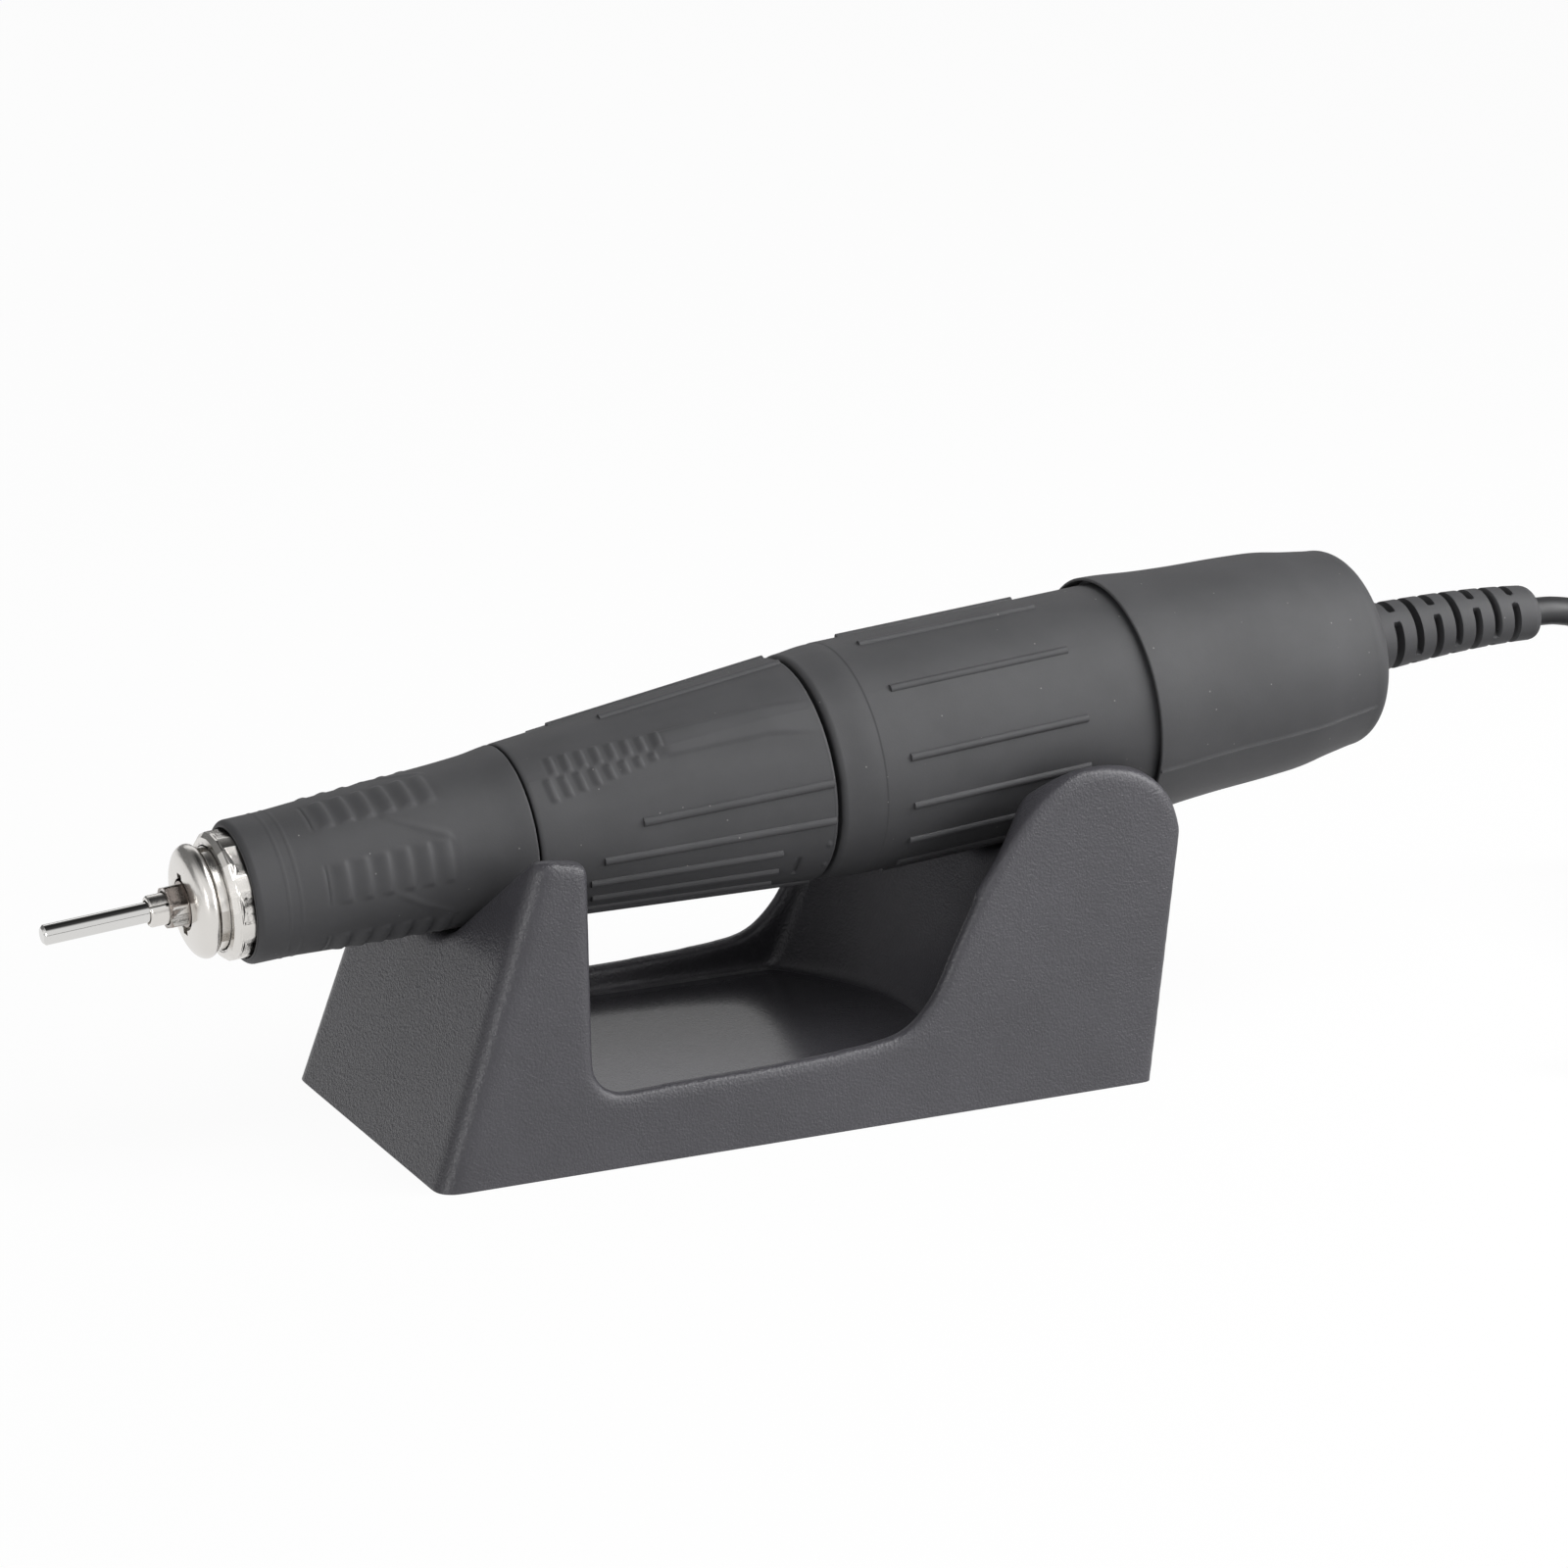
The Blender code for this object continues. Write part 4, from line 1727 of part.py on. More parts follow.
def make_plug(start, way):
    """Make the plug at the end of the cord: moulded body, barrel and insulating ring."""
    rest = bpy.data.objects.new("plug_axis", None)
    PARTS.objects.link(rest)
    rest.location = start
    rest.rotation_euler = (0, 0, math.atan2(way.y, way.x))
    body_front = PLUG_TAIL_LENGTH
    body_rear = PLUG_TAIL_LENGTH + PLUG_LENGTH
    edge = PLUG_EDGE
    profile = [(0, 0), (0, PLUG_TAIL_RADIUS)]
    profile.append((body_front - PLUG_NECK_LENGTH, PLUG_TAIL_RADIUS + edge))
    profile.append((body_front, PLUG_RADIUS - edge))
    profile.append((body_front + edge, PLUG_RADIUS))
    pitch = PLUG_LENGTH * PLUG_RIB_SHARE / PLUG_GRIP_RIBS
    for index in range(PLUG_GRIP_RIBS):
        groove = body_front + 2 * edge + pitch * index
        profile.append((groove, PLUG_RADIUS))
        profile.append((groove + edge / 2, PLUG_RADIUS - edge / 2))
        profile.append((groove + edge, PLUG_RADIUS - edge / 2))
        profile.append((groove + edge * 3 / 2, PLUG_RADIUS))
    profile.append((body_rear - edge, PLUG_RADIUS))
    profile.append((body_rear, PLUG_RADIUS - edge))
    profile.append((body_rear, 0))
    turned("plug_body", profile, SMALL_STEPS, "Moulded plastic", rest)
    barrel_front = body_rear + GAP
    barrel_rear = barrel_front + PLUG_BARREL_LENGTH
    profile = [
        (barrel_front, 0),
        (barrel_front, PLUG_BARREL_RADIUS),
        (barrel_rear, PLUG_BARREL_RADIUS),
        (barrel_rear, PLUG_BARREL_BORE),
        (barrel_front + OVERRUN, PLUG_BARREL_BORE),
        (barrel_front + OVERRUN, 0),
    ]
    turned("plug_barrel", profile, SMALL_STEPS, "Plated brass", rest)
    ring_front = barrel_rear + GAP
    profile = ring_profile(
        ring_front, ring_front + PLUG_RING_LENGTH, PLUG_BARREL_BORE, PLUG_BARREL_RADIUS - FINE_GAP
    )
    turned("plug_ring", profile, SMALL_STEPS, "Moulded plastic", rest)


def make_handpiece():
    """Make every piece of the handpiece."""
    make_shank()
    make_collet()
    make_drawbar()
    make_spindle()
    make_collet_spring()
    make_spindle_bearings()
    make_nose_cap()
    make_front_barrel()
    make_front_grip()
    make_push_sleeve()
    make_cam_sleeve()
    make_twist_ring()
    make_motor_sleeve()
    make_motor_can()
    make_magnets()
    make_rotor()
    make_motor_bearings()
    make_end_bell()
    make_brushes()
    make_terminal_wires()
    make_rear_cap()
    make_strain_relief()


def make_axis():
    """Return the empty that carries the handpiece at its tilt."""
    axis = bpy.data.objects.new("handpiece_axis", None)
    PARTS.objects.link(axis)
    axis.location = (0, 0, AXIS_HEIGHT)
    axis.rotation_euler = (0, -AXIS_TILT, 0)
    bpy.context.view_layer.update()
    return axis


clear_scene()
PARTS = make_collection("Nail_Drill")
CUTTERS = make_collection("Cutters", hidden=True)
AXIS = make_axis()
make_cradle()
make_handpiece()
plug_start, plug_way = make_cord()
make_plug(plug_start, plug_way)
bpy.context.view_layer.update()
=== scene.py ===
"""Nail drill handpiece lying in its moulded cradle: surfaces, finishes, light and camera.

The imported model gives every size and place. The pieces here lie where its nodes
lie: the turned skins carry the grip's recesses, lands and ribs, the cradle its
rounded edges and grain, and the cord its whole length.
"""

import json
import logging
import math
from contextlib import contextmanager
from dataclasses import dataclass
from enum import Enum
from typing import Callable, Iterable, Iterator, Sequence

import bmesh
import bpy
import numpy as np
from mathutils import Matrix, Vector


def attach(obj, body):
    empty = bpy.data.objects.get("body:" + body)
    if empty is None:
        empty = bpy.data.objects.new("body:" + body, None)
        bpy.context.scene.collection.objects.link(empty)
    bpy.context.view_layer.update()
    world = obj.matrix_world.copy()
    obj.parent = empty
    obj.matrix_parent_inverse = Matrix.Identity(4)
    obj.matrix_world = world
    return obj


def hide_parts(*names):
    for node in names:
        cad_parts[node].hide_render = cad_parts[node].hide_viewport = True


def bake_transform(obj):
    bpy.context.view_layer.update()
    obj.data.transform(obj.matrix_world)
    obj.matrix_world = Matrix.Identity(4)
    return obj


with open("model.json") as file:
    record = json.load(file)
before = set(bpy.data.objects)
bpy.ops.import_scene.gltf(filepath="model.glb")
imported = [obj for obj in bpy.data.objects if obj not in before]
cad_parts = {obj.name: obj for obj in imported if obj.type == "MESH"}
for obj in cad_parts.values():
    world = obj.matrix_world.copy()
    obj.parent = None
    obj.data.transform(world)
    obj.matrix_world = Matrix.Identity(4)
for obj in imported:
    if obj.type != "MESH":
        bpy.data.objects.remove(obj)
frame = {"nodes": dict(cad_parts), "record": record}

LOG = logging.getLogger("nail_drill")
MM = 0.001
FULL_TURN = 2 * math.pi
# Azimuth of the moulding plane that the handpiece's parts share
PLANE_DEG = 42.5
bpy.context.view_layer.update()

Pair = tuple[float, float]
Pairs = tuple[Pair, ...]
Triple = tuple[float, float, float]
Colour = tuple[float, float, float, float]
# A rib point is its station, radius, azimuth and share of the full width
RibPoint = tuple[float, float, float, float]
Reading = float | np.ndarray
Mesh = bpy.types.Mesh
Material = bpy.types.Material
Node = bpy.types.Node
Socket = bpy.types.NodeSocket


class Body(Enum):
    """The rigid bodies that the pieces ride on."""

    CRADLE = "cradle"
    HANDPIECE = "handpiece"
    TWIST = "twist"
    SPINDLE = "spindle"
    CHUCK = "chuck"
    SHANK = "shank"


def linear(digits: str) -> Colour:
    """Turn an sRGB colour into linear RGBA.

    Args:
        digits: six hex digits.

    Returns:
        The colour as four linear values.
    """
    values = [int(digits[start:start + 2], 16) / 255 for start in (0, 2, 4)]
    channels = [value / 12.92 if value <= 0.04045 else ((value + 0.055) / 1.055) ** 2.4 for value in values]
    return (*channels, 1.0)


def grey(level: float) -> Colour:
    """Return a neutral linear colour."""
    return (level, level, level, 1.0)


class NodeMaker:
    """Adds nodes of one family to a tree, and feeds their inputs."""

    def __init__(self, tree: bpy.types.NodeTree, family: str = "ShaderNode") -> None:
        """Remember the tree and the word that every type name of the family starts with."""
        self.tree = tree
        self.family = family

    def __call__(self, kind: str, inputs: dict | None = None, **settings: object) -> Node:
        """Add a node.

        Args:
            kind: the node's type name after its family's.
            inputs: sockets to link or plain values, by input name or number.
            settings: attributes of the node.

        Returns:
            The node.
        """
        node = self.tree.nodes.new(self.family + kind)
        for key, value in settings.items():
            setattr(node, key, value)
        self.feed(node, inputs or {})
        return node

    def feed(self, node: Node, inputs: dict) -> None:
        """Link a node's inputs to sockets, or give them plain values.

        Args:
            node: the node.
            inputs: sockets or values by input name or number.
        """
        for key, given in inputs.items():
            if isinstance(given, Socket):
                self.tree.links.new(given, node.inputs[key])
            else:
                node.inputs[key].default_value = given


def new_material(name: str) -> tuple[Material, NodeMaker, Node]:
    """Start a material.

    Args:
        name: its name.

    Returns:
        The material, the maker of its nodes and its shader.
    """
    material = bpy.data.materials.new(name)
    material.use_nodes = True
    return material, NodeMaker(material.node_tree), material.node_tree.nodes["Principled BSDF"]


def set_ramp(node: Node, stops: Sequence[tuple[float, Colour]]) -> None:
    """Give a colour ramp its stops.

    Args:
        node: the ramp's node.
        stops: its (position, colour) stops, from the lowest to the highest.
    """
    elements = node.color_ramp.elements
    for element, (position, colour) in zip(elements, (stops[0], stops[-1])):
        element.position = position
        element.color = colour
    for position, colour in stops[1:-1]:
        elements.new(position).color = colour


@dataclass(frozen=True)
class HandpieceAxis:
    """The handpiece's axis: stations run along it, azimuths from its top towards -Y."""

    height_mm: float = 36.6
    tilt_deg: float = 5.0

    def matrix(self) -> Matrix:
        """Return the pose of the axis, in metres."""
        tilt = Matrix.Rotation(-math.radians(self.tilt_deg), 4, "Y")
        return Matrix.Translation((0, 0, self.height_mm * MM)) @ tilt

    def places(self, stations: Reading, radii: Reading, azimuths: Reading, drop: float = 0.0) -> np.ndarray:
        """Return world points in metres.

        Args:
            stations: places along the axis in mm.
            radii: distances from the axis in mm.
            azimuths: angles from the top in radians.
            drop: how far the points hang below the straight axis, in mm.

        Returns:
            An array of points, one row each.
        """
        tilt = math.radians(self.tilt_deg)
        across = -radii * np.sin(azimuths)
        up = radii * np.cos(azimuths) - drop
        x = stations * math.cos(tilt) - up * math.sin(tilt)
        z = stations * math.sin(tilt) + up * math.cos(tilt) + self.height_mm
        return np.stack([x, across, z], axis=-1) * MM

    def pose(self, station: float, azimuth: float, radius: float) -> Matrix:
        """Find a pose on the handpiece whose local Z points away from the axis.

        Args:
            station: its place along the axis in mm.
            azimuth: its angle in radians.
            radius: its distance from the axis in mm.

        Returns:
            The pose, in metres.
        """
        shift = Matrix.Translation((station * MM, 0, 0))
        turn = Matrix.Rotation(azimuth, 4, "X")
        return self.matrix() @ shift @ turn @ Matrix.Translation((0, 0, radius * MM))


AXIS = HandpieceAxis()


def smooth_step(value: Reading, start: float, end: float) -> Reading:
    """Return 0 before start, 1 after end and a smooth rise between them."""
    share = np.clip((value - start) / (end - start), 0.0, 1.0)
    return share * share * (3 - 2 * share)


def plateau(value: Reading, rise: Pair, fall: Pair) -> Reading:
    """Return 1 between a smooth rise and a smooth fall, and 0 outside them."""
    return smooth_step(value, *rise) * (1 - smooth_step(value, *fall))


def bell(value: Reading, width: float) -> Reading:
    """Return a bell curve that is 1 at zero."""
    return np.exp(-((value / width) ** 2))


def aside(azimuths: np.ndarray, middle_deg: float, repeats: int = 1) -> np.ndarray:
    """Return how far azimuths lie from the nearest of evenly repeated middles, in radians."""
    turned = (azimuths - math.radians(middle_deg)) * repeats
    return ((turned + math.pi) % FULL_TURN - math.pi) / repeats


def softened(knots: Pairs, places: Reading, reach: float) -> Reading:
    """Read a row of knots as a curve whose corners are rounded over a reach.

    Args:
        knots: (place, value) pairs with rising places.
        places: where the curve is read.
        reach: half the width that each corner is rounded over.

    Returns:
        The values at the places.
    """
    xs, ys = np.array(knots).T
    shifts = np.linspace(-reach, reach, 9)
    return sum(np.interp(places + shift, xs, ys) for shift in shifts) / len(shifts)


def even_azimuths(count: int) -> np.ndarray:
    """Return evenly spaced azimuths over one turn."""
    return np.arange(count) * FULL_TURN / count


def edge_arc(station: float, radius: float, size: float, span_deg: Pair, count: int = 5) -> list[Pair]:
    """Return the points of a rounded edge.

    Args:
        station: the station of its centre, in mm.
        radius: the radius of its centre, in mm.
        size: the edge's own radius, in mm.
        span_deg: the angles where it starts and ends.
        count: how many points it has.

    Returns:
        (station, radius) points in mm.
    """
    start, end = span_deg
    points = []
    for index in range(count):
        angle = math.radians(start + (end - start) * index / (count - 1))
        points.append((station + size * math.cos(angle), radius + size * math.sin(angle)))
    return points


@contextmanager
def edited(mesh: Mesh) -> Iterator[bmesh.types.BMesh]:
    """Open a mesh for editing, and write it back at the end.

    Args:
        mesh: the mesh.

    Yields:
        Its editable form.
    """
    solid = bmesh.new()
    solid.from_mesh(mesh)
    yield solid
    solid.to_mesh(mesh)
    solid.free()


def faced_mesh(name: str, points: Sequence, faces: Sequence) -> Mesh:
    """Make a mesh from points and faces.

    Args:
        name: the mesh's name.
        points: its points.
        faces: each face's point numbers.

    Returns:
        The mesh.
    """
    mesh = bpy.data.meshes.new(name)
    mesh.from_pydata(points, [], faces)
    mesh.update()
    return mesh


def helper(name: str, data: bpy.types.ID) -> bpy.types.Object:
    """Link a new object.

    Args:
        name: its name.
        data: what it holds.

    Returns:
        The object.
    """
    obj = bpy.data.objects.new(name, data)
    bpy.context.scene.collection.objects.link(obj)
    return obj


def show(name: str, mesh: Mesh, material: Material, sharp_deg: float = 34.0) -> bpy.types.Object:
    """Link a finished mesh, shaded smooth but for its sharp edges.

    Args:
        name: the piece's name.
        mesh: its mesh, in world metres.
        material: its finish.
        sharp_deg: the angle from which an edge stays crisp.

    Returns:
        The piece.
    """
    mesh.name = name
    mesh.materials.clear()
    mesh.materials.append(material)
    mesh.shade_smooth()
    mesh.set_sharp_from_angle(angle=math.radians(sharp_deg))
    return helper(name, mesh)


def plain_mesh(obj: bpy.types.Object, name: str) -> Mesh:
    """Turn a helper object into a plain mesh.

    Args:
        obj: the helper, which is removed.
        name: the mesh's name.

    Returns:
        The evaluated mesh, in world metres.
    """
    graph = bpy.context.evaluated_depsgraph_get()
    mesh = bpy.data.meshes.new_from_object(obj.evaluated_get(graph))
    mesh.name = name
    mesh.transform(obj.matrix_world)
    bpy.data.objects.remove(obj)
    return mesh


def add_modifier(obj: bpy.types.Object, kind: str, **settings: object) -> bpy.types.Modifier:
    """Add a modifier.

    Args:
        obj: the object that gets it.
        kind: its type.
        settings: its attributes.

    Returns:
        The modifier.
    """
    modifier = obj.modifiers.new(kind.title(), kind)
    for key, value in settings.items():
        setattr(modifier, key, value)
    return modifier


def box_mesh(name: str, boxes: Iterable[tuple[Sequence[float], Matrix]]) -> Mesh:
    """Return a mesh of several boxes.

    Args:
        name: the mesh's name.
        boxes: the size in mm and the pose of each box.

    Returns:
        The mesh in metres.
    """
    mesh = bpy.data.meshes.new(name)
    with edited(mesh) as solid:
        for size, pose in boxes:
            scale = Matrix.Diagonal((*(value * MM for value in size), 1.0))
            bmesh.ops.create_cube(solid, size=1.0, matrix=pose @ scale)
    return mesh


def joined(name: str, meshes: Iterable[Mesh]) -> Mesh:
    """Put meshes together.

    Args:
        name: the new mesh's name.
        meshes: the meshes that it takes in.

    Returns:
        The new mesh.
    """
    result = bpy.data.meshes.new(name)
    with edited(result) as solid:
        for mesh in meshes:
            solid.from_mesh(mesh)
    return result


def carved(mesh: Mesh, cutters: Sequence[Mesh]) -> Mesh:
    """Cut other meshes out of a mesh.

    Args:
        mesh: the mesh.
        cutters: what is taken away from it.

    Returns:
        The carved mesh.
    """
    work = helper("carving", mesh)
    tools = [helper("tool", cutter) for cutter in cutters]
    for tool in tools:
        add_modifier(work, "BOOLEAN", operation="DIFFERENCE", object=tool)
    result = plain_mesh(work, mesh.name)
    for tool in tools:
        bpy.data.objects.remove(tool)
    return result


class TurnedSkin:
    """A closed turned mesh whose rows may vary with the azimuth.

    Rows run along the outside from the front to the rear, and back along the
    inside. A solid skin starts and ends on the axis, and is closed with fans there.
    """

    def __init__(self, azimuths: np.ndarray) -> None:
        """Start an empty skin with the rows' rising azimuths over one full turn."""
        self.azimuths = azimuths
        self.rows: list[np.ndarray] = []

    def row(self, station: float, radius: Reading, drop: float = 0.0) -> None:
        """Add a ring of points at a station and radius in mm."""
        radii = radius * np.ones(len(self.azimuths))
        self.rows.append(AXIS.places(station * np.ones(len(radii)), radii, self.azimuths, drop))

    def turn(self, *points: tuple[float, Reading]) -> None:
        """Add a ring at each (station, radius) point in mm."""
        for station, radius in points:
            self.row(station, radius)

    def relief(self, stations: np.ndarray, radius: Callable[[float, np.ndarray], np.ndarray]) -> None:
        """Add a row at each station with a radius that varies with the azimuth."""
        self.turn(*((station, radius(station, self.azimuths)) for station in stations.tolist()))

    def mesh(self, name: str, solid: bool = False) -> Mesh:
        """Build the mesh.

        Args:
            name: the mesh's name.
            solid: close both ends on the axis in place of joining them.

        Returns:
            The mesh in world metres.
        """
        count = len(self.azimuths)
        total = len(self.rows)
        column = np.arange(count)
        after = (column + 1) % count
        points = np.concatenate(self.rows).tolist()
        faces: list[tuple[int, ...]] = []
        for index in range(total - 1 if solid else total):
            front, rear = index * count, (index + 1) % total * count
            quads = np.stack([front + column, front + after, rear + after, rear + column], axis=1)
            faces.extend(map(tuple, quads.tolist()))
        if solid:
            for index, way in ((0, -1), (total - 1, 1)):
                points.append(self.rows[index].mean(axis=0).tolist())
                edges = np.stack([column, after], axis=1)[:, ::way] + index * count
                faces.extend((len(points) - 1, *edge) for edge in edges.tolist())
        return faced_mesh(name, points, faces)


class RibTree:
    """Geometry Nodes that sweep round ribs along a curve's splines and repeat the set."""

    def __init__(self) -> None:
        """Build the tree with its named inputs."""
        tree = bpy.data.node_groups.new("Moulded ribs", "GeometryNodeTree")
        kinds = {
            "Geometry": "Geometry",
            "Rib radius": "Float",
            "Sides": "Int",
            "Copies": "Int",
            "Finish": "Material",
        }
        for name, kind in kinds.items():
            tree.interface.new_socket(name, in_out="INPUT", socket_type="NodeSocket" + kind)
        tree.interface.new_socket("Geometry", in_out="OUTPUT", socket_type="NodeSocketGeometry")
        add = NodeMaker(tree, "")
        shape = NodeMaker(tree, "GeometryNode")
        maths = NodeMaker(tree)
        given = add("NodeGroupInput").outputs
        circle = {"Resolution": given["Sides"], "Radius": given["Rib radius"]}
        section = shape("CurvePrimitiveCircle", circle)
        route = {"Curve": given["Geometry"], "Profile Curve": section.outputs["Curve"], "Fill Caps": True}
        swept = shape("CurveToMesh", route)
        places = shape("MeshLine", {"Offset": (0, 0, 0), "Count": given["Copies"]})
        step = maths("Math", {0: FULL_TURN, 1: given["Copies"]}, operation="DIVIDE")
        index = shape("InputIndex").outputs["Index"]
        angle = maths("Math", {0: index, 1: step.outputs[0]}, operation="MULTIPLY")
        turn = maths("CombineXYZ", {"X": angle.outputs[0]})
        rotation = add("FunctionNodeEulerToRotation", {0: turn.outputs[0]}).outputs[0]
        copied = {"Points": places.outputs["Mesh"], "Instance": swept.outputs["Mesh"], "Rotation": rotation}
        real = shape("RealizeInstances", {0: shape("InstanceOnPoints", copied).outputs[0]})
        pose = AXIS.matrix()
        seat = {"Geometry": real.outputs[0], "Translation": pose.translation, "Rotation": pose.to_euler()}
        dress = {"Geometry": shape("Transform", seat).outputs[0], "Material": given["Finish"]}
        add("NodeGroupOutput", {0: shape("SetMaterial", dress).outputs[0]})
        self.tree = tree

    def sweep(
        self, splines: Iterable[list[RibPoint]], rib_mm: float, material: Material, copies: int = 1
    ) -> Mesh:
        """Sweep ribs about the handpiece's axis.

        Args:
            splines: each rib's points, in mm and radians.
            rib_mm: the radius of the rib's round section.
            material: the finish.
            copies: how often the set repeats around the axis.

        Returns:
            The ribs' mesh in world metres.
        """
        curve = bpy.data.curves.new("ribs", "CURVE")
        curve.dimensions = "3D"
        for points in splines:
            spline = curve.splines.new("POLY")
            spline.points.add(len(points) - 1)
            for target, (station, radius, azimuth, share) in zip(spline.points, points):
                across, up = -radius * math.sin(azimuth), radius * math.cos(azimuth)
                target.co = (station * MM, across * MM, up * MM, 1.0)
                target.radius = share
        work = helper("ribs", curve)
        modifier = add_modifier(work, "NODES", node_group=self.tree)
        values = {"Rib radius": rib_mm * MM, "Sides": 14, "Copies": copies, "Finish": material}
        for item in self.tree.interface.items_tree:
            if item.in_out == "INPUT" and item.name in values:
                modifier[item.identifier] = values[item.name]
        return plain_mesh(work, "ribs")


def bar_points(start: Pair, end: Pair, azimuth_deg: float, sunk: float, round_mm: float) -> list[RibPoint]:
    """Return the points of a straight rib with rounded ends.

    Args:
        start: the (station, surface radius) of its front end, in mm.
        end: the same of its rear end.
        azimuth_deg: its azimuth in degrees.
        sunk: how deep the section's centre lies under the surface.
        round_mm: the length over which each end rounds off.

    Returns:
        The rib's points.
    """
    run, rise = end[0] - start[0], end[1] - start[1]
    length = math.hypot(run, rise)
    ends = [round_mm * (1 - math.cos(math.pi / 2 * step / 5)) for step in range(6)]
    points = []
    for place in ends + [length - place for place in reversed(ends)]:
        near = min(1.0, min(place, length - place) / round_mm)
        share = max(0.05, math.sqrt(max(0.0, 1 - (1 - near) ** 2)))
        along = place / length
        station = start[0] + run * along
        radius = start[1] + rise * along - sunk
        points.append((station, radius, math.radians(azimuth_deg), share))
    return points


class Texture(Enum):
    """How the surface of a moulded piece was finished in its tool."""

    SOFT = "soft"
    GRAINED = "grained"
    SMOOTH = "smooth"


@dataclass(frozen=True)
class MouldedFinish:
    """A black moulded plastic or rubber."""

    name: str
    colour: str
    roughness: float
    texture: Texture
    grain_mm: float
    depth_mm: float
    dust: float = 0.0
    ior: float = 1.5
    smooth_mm: Pairs = ()
    cloud_mm: float = 9.0
    speck_pitch_mm: float = 2.4
    roughness_spread: float = 0.07
    smooth_gloss: float = 0.14
    smooth_bump: float = 0.12

    def build(self) -> Material:
        """Make the material with its tone, roughness and grain.

        Returns:
            The material.
        """
        material, add, shader = new_material(self.name)
        place = add("TexCoord").outputs["Object"]
        spread = {"Vector": place, "Scale": 1 / (self.cloud_mm * MM), "Detail": 4.0, "Roughness": 0.6}
        tone = add("ValToRGB", {"Fac": add("TexNoise", spread).outputs["Fac"]})
        base = linear(self.colour)[:3]
        tones = ((0.3, 0.9), (0.72, 1.1))
        set_ramp(tone, [(position, (*(value * share for value in base), 1.0)) for position, share in tones])
        colour = tone.outputs["Color"]
        if self.dust > 0:
            colour = self._dust(add, place, colour)
        grain = self._grain(add, place)
        low, high = self.roughness - self.roughness_spread, self.roughness + self.roughness_spread
        rough = add("MapRange", {"Value": grain, "To Min": low, "To Max": high}).outputs[0]
        strength = 1.0
        if self.smooth_mm:
            inside = self._smooth_box(add, place)
            less = add("Math", {0: inside, 1: self.smooth_gloss}, operation="MULTIPLY").outputs[0]
            rough = add("Math", {0: rough, 1: less}, operation="SUBTRACT").outputs[0]
            limits = {"Value": inside, "To Min": 1.0, "To Max": self.smooth_bump}
            strength = add("MapRange", limits).outputs[0]
        relief = {"Strength": strength, "Distance": self.depth_mm * MM, "Height": grain}
        bump = add("Bump", relief).outputs[0]
        add.feed(shader, {"IOR": self.ior, "Base Color": colour, "Roughness": rough, "Normal": bump})
        return material

    def _smooth_box(self, add: NodeMaker, place: Socket) -> Socket:
        """Mark the box that the tool left without grain.

        Args:
            add: the maker of the material's nodes.
            place: the place on the piece.

        Returns:
            1 inside the box and 0 outside it.
        """
        sides = []
        for part, (low, high) in zip(add("SeparateXYZ", {0: place}).outputs, self.smooth_mm):
            middle, half = (low + high) / 2 * MM, (high - low) / 2 * MM
            sides.append(add("Math", {0: part, 1: middle, 2: half}, operation="COMPARE").outputs[0])
        both = add("Math", {0: sides[0], 1: sides[1]}, operation="MULTIPLY").outputs[0]
        return add("Math", {0: both, 1: sides[2]}, operation="MULTIPLY").outputs[0]

    def _grain(self, add: NodeMaker, place: Socket) -> Socket:
        """Add the pattern of the mould's texture.

        Args:
            add: the maker of the material's nodes.
            place: the place on the piece.

        Returns:
            The pattern's height.
        """
        scale = 1 / (self.grain_mm * MM)
        if self.texture is Texture.GRAINED:
            honeycomb = {"Vector": place, "Scale": scale, "Smoothness": 0.7}
            cells = add("TexVoronoi", honeycomb, feature="SMOOTH_F1").outputs["Distance"]
            fine = add("TexNoise", {"Vector": place, "Scale": 2 * scale, "Detail": 3.0}).outputs["Fac"]
            return add("Mix", {0: 0.4, 2: cells, 3: fine}).outputs[0]
        detail = 5.0 if self.texture is Texture.SOFT else 1.0
        fine = add("TexNoise", {"Vector": place, "Scale": scale, "Detail": detail, "Roughness": 0.6})
        return fine.outputs["Fac"]

    def _dust(self, add: NodeMaker, place: Socket, colour: Socket) -> Socket:
        """Add a few pale specks of dust, as soft rubber picks up.

        Args:
            add: the maker of the material's nodes.
            place: the place on the piece.
            colour: the clean colour.

        Returns:
            The dusty colour.
        """
        spread = {"Vector": place, "Scale": 1 / (self.speck_pitch_mm * MM)}
        cells = add("TexVoronoi", spread).outputs["Distance"]
        limits = {"Value": cells, "From Min": 0.05, "From Max": 0.03, "To Min": 0.0, "To Max": self.dust}
        speck = add("MapRange", limits).outputs[0]
        return add("Mix", {0: speck, 6: colour, 7: linear("b9b8b4")}, data_type="RGBA").outputs[2]


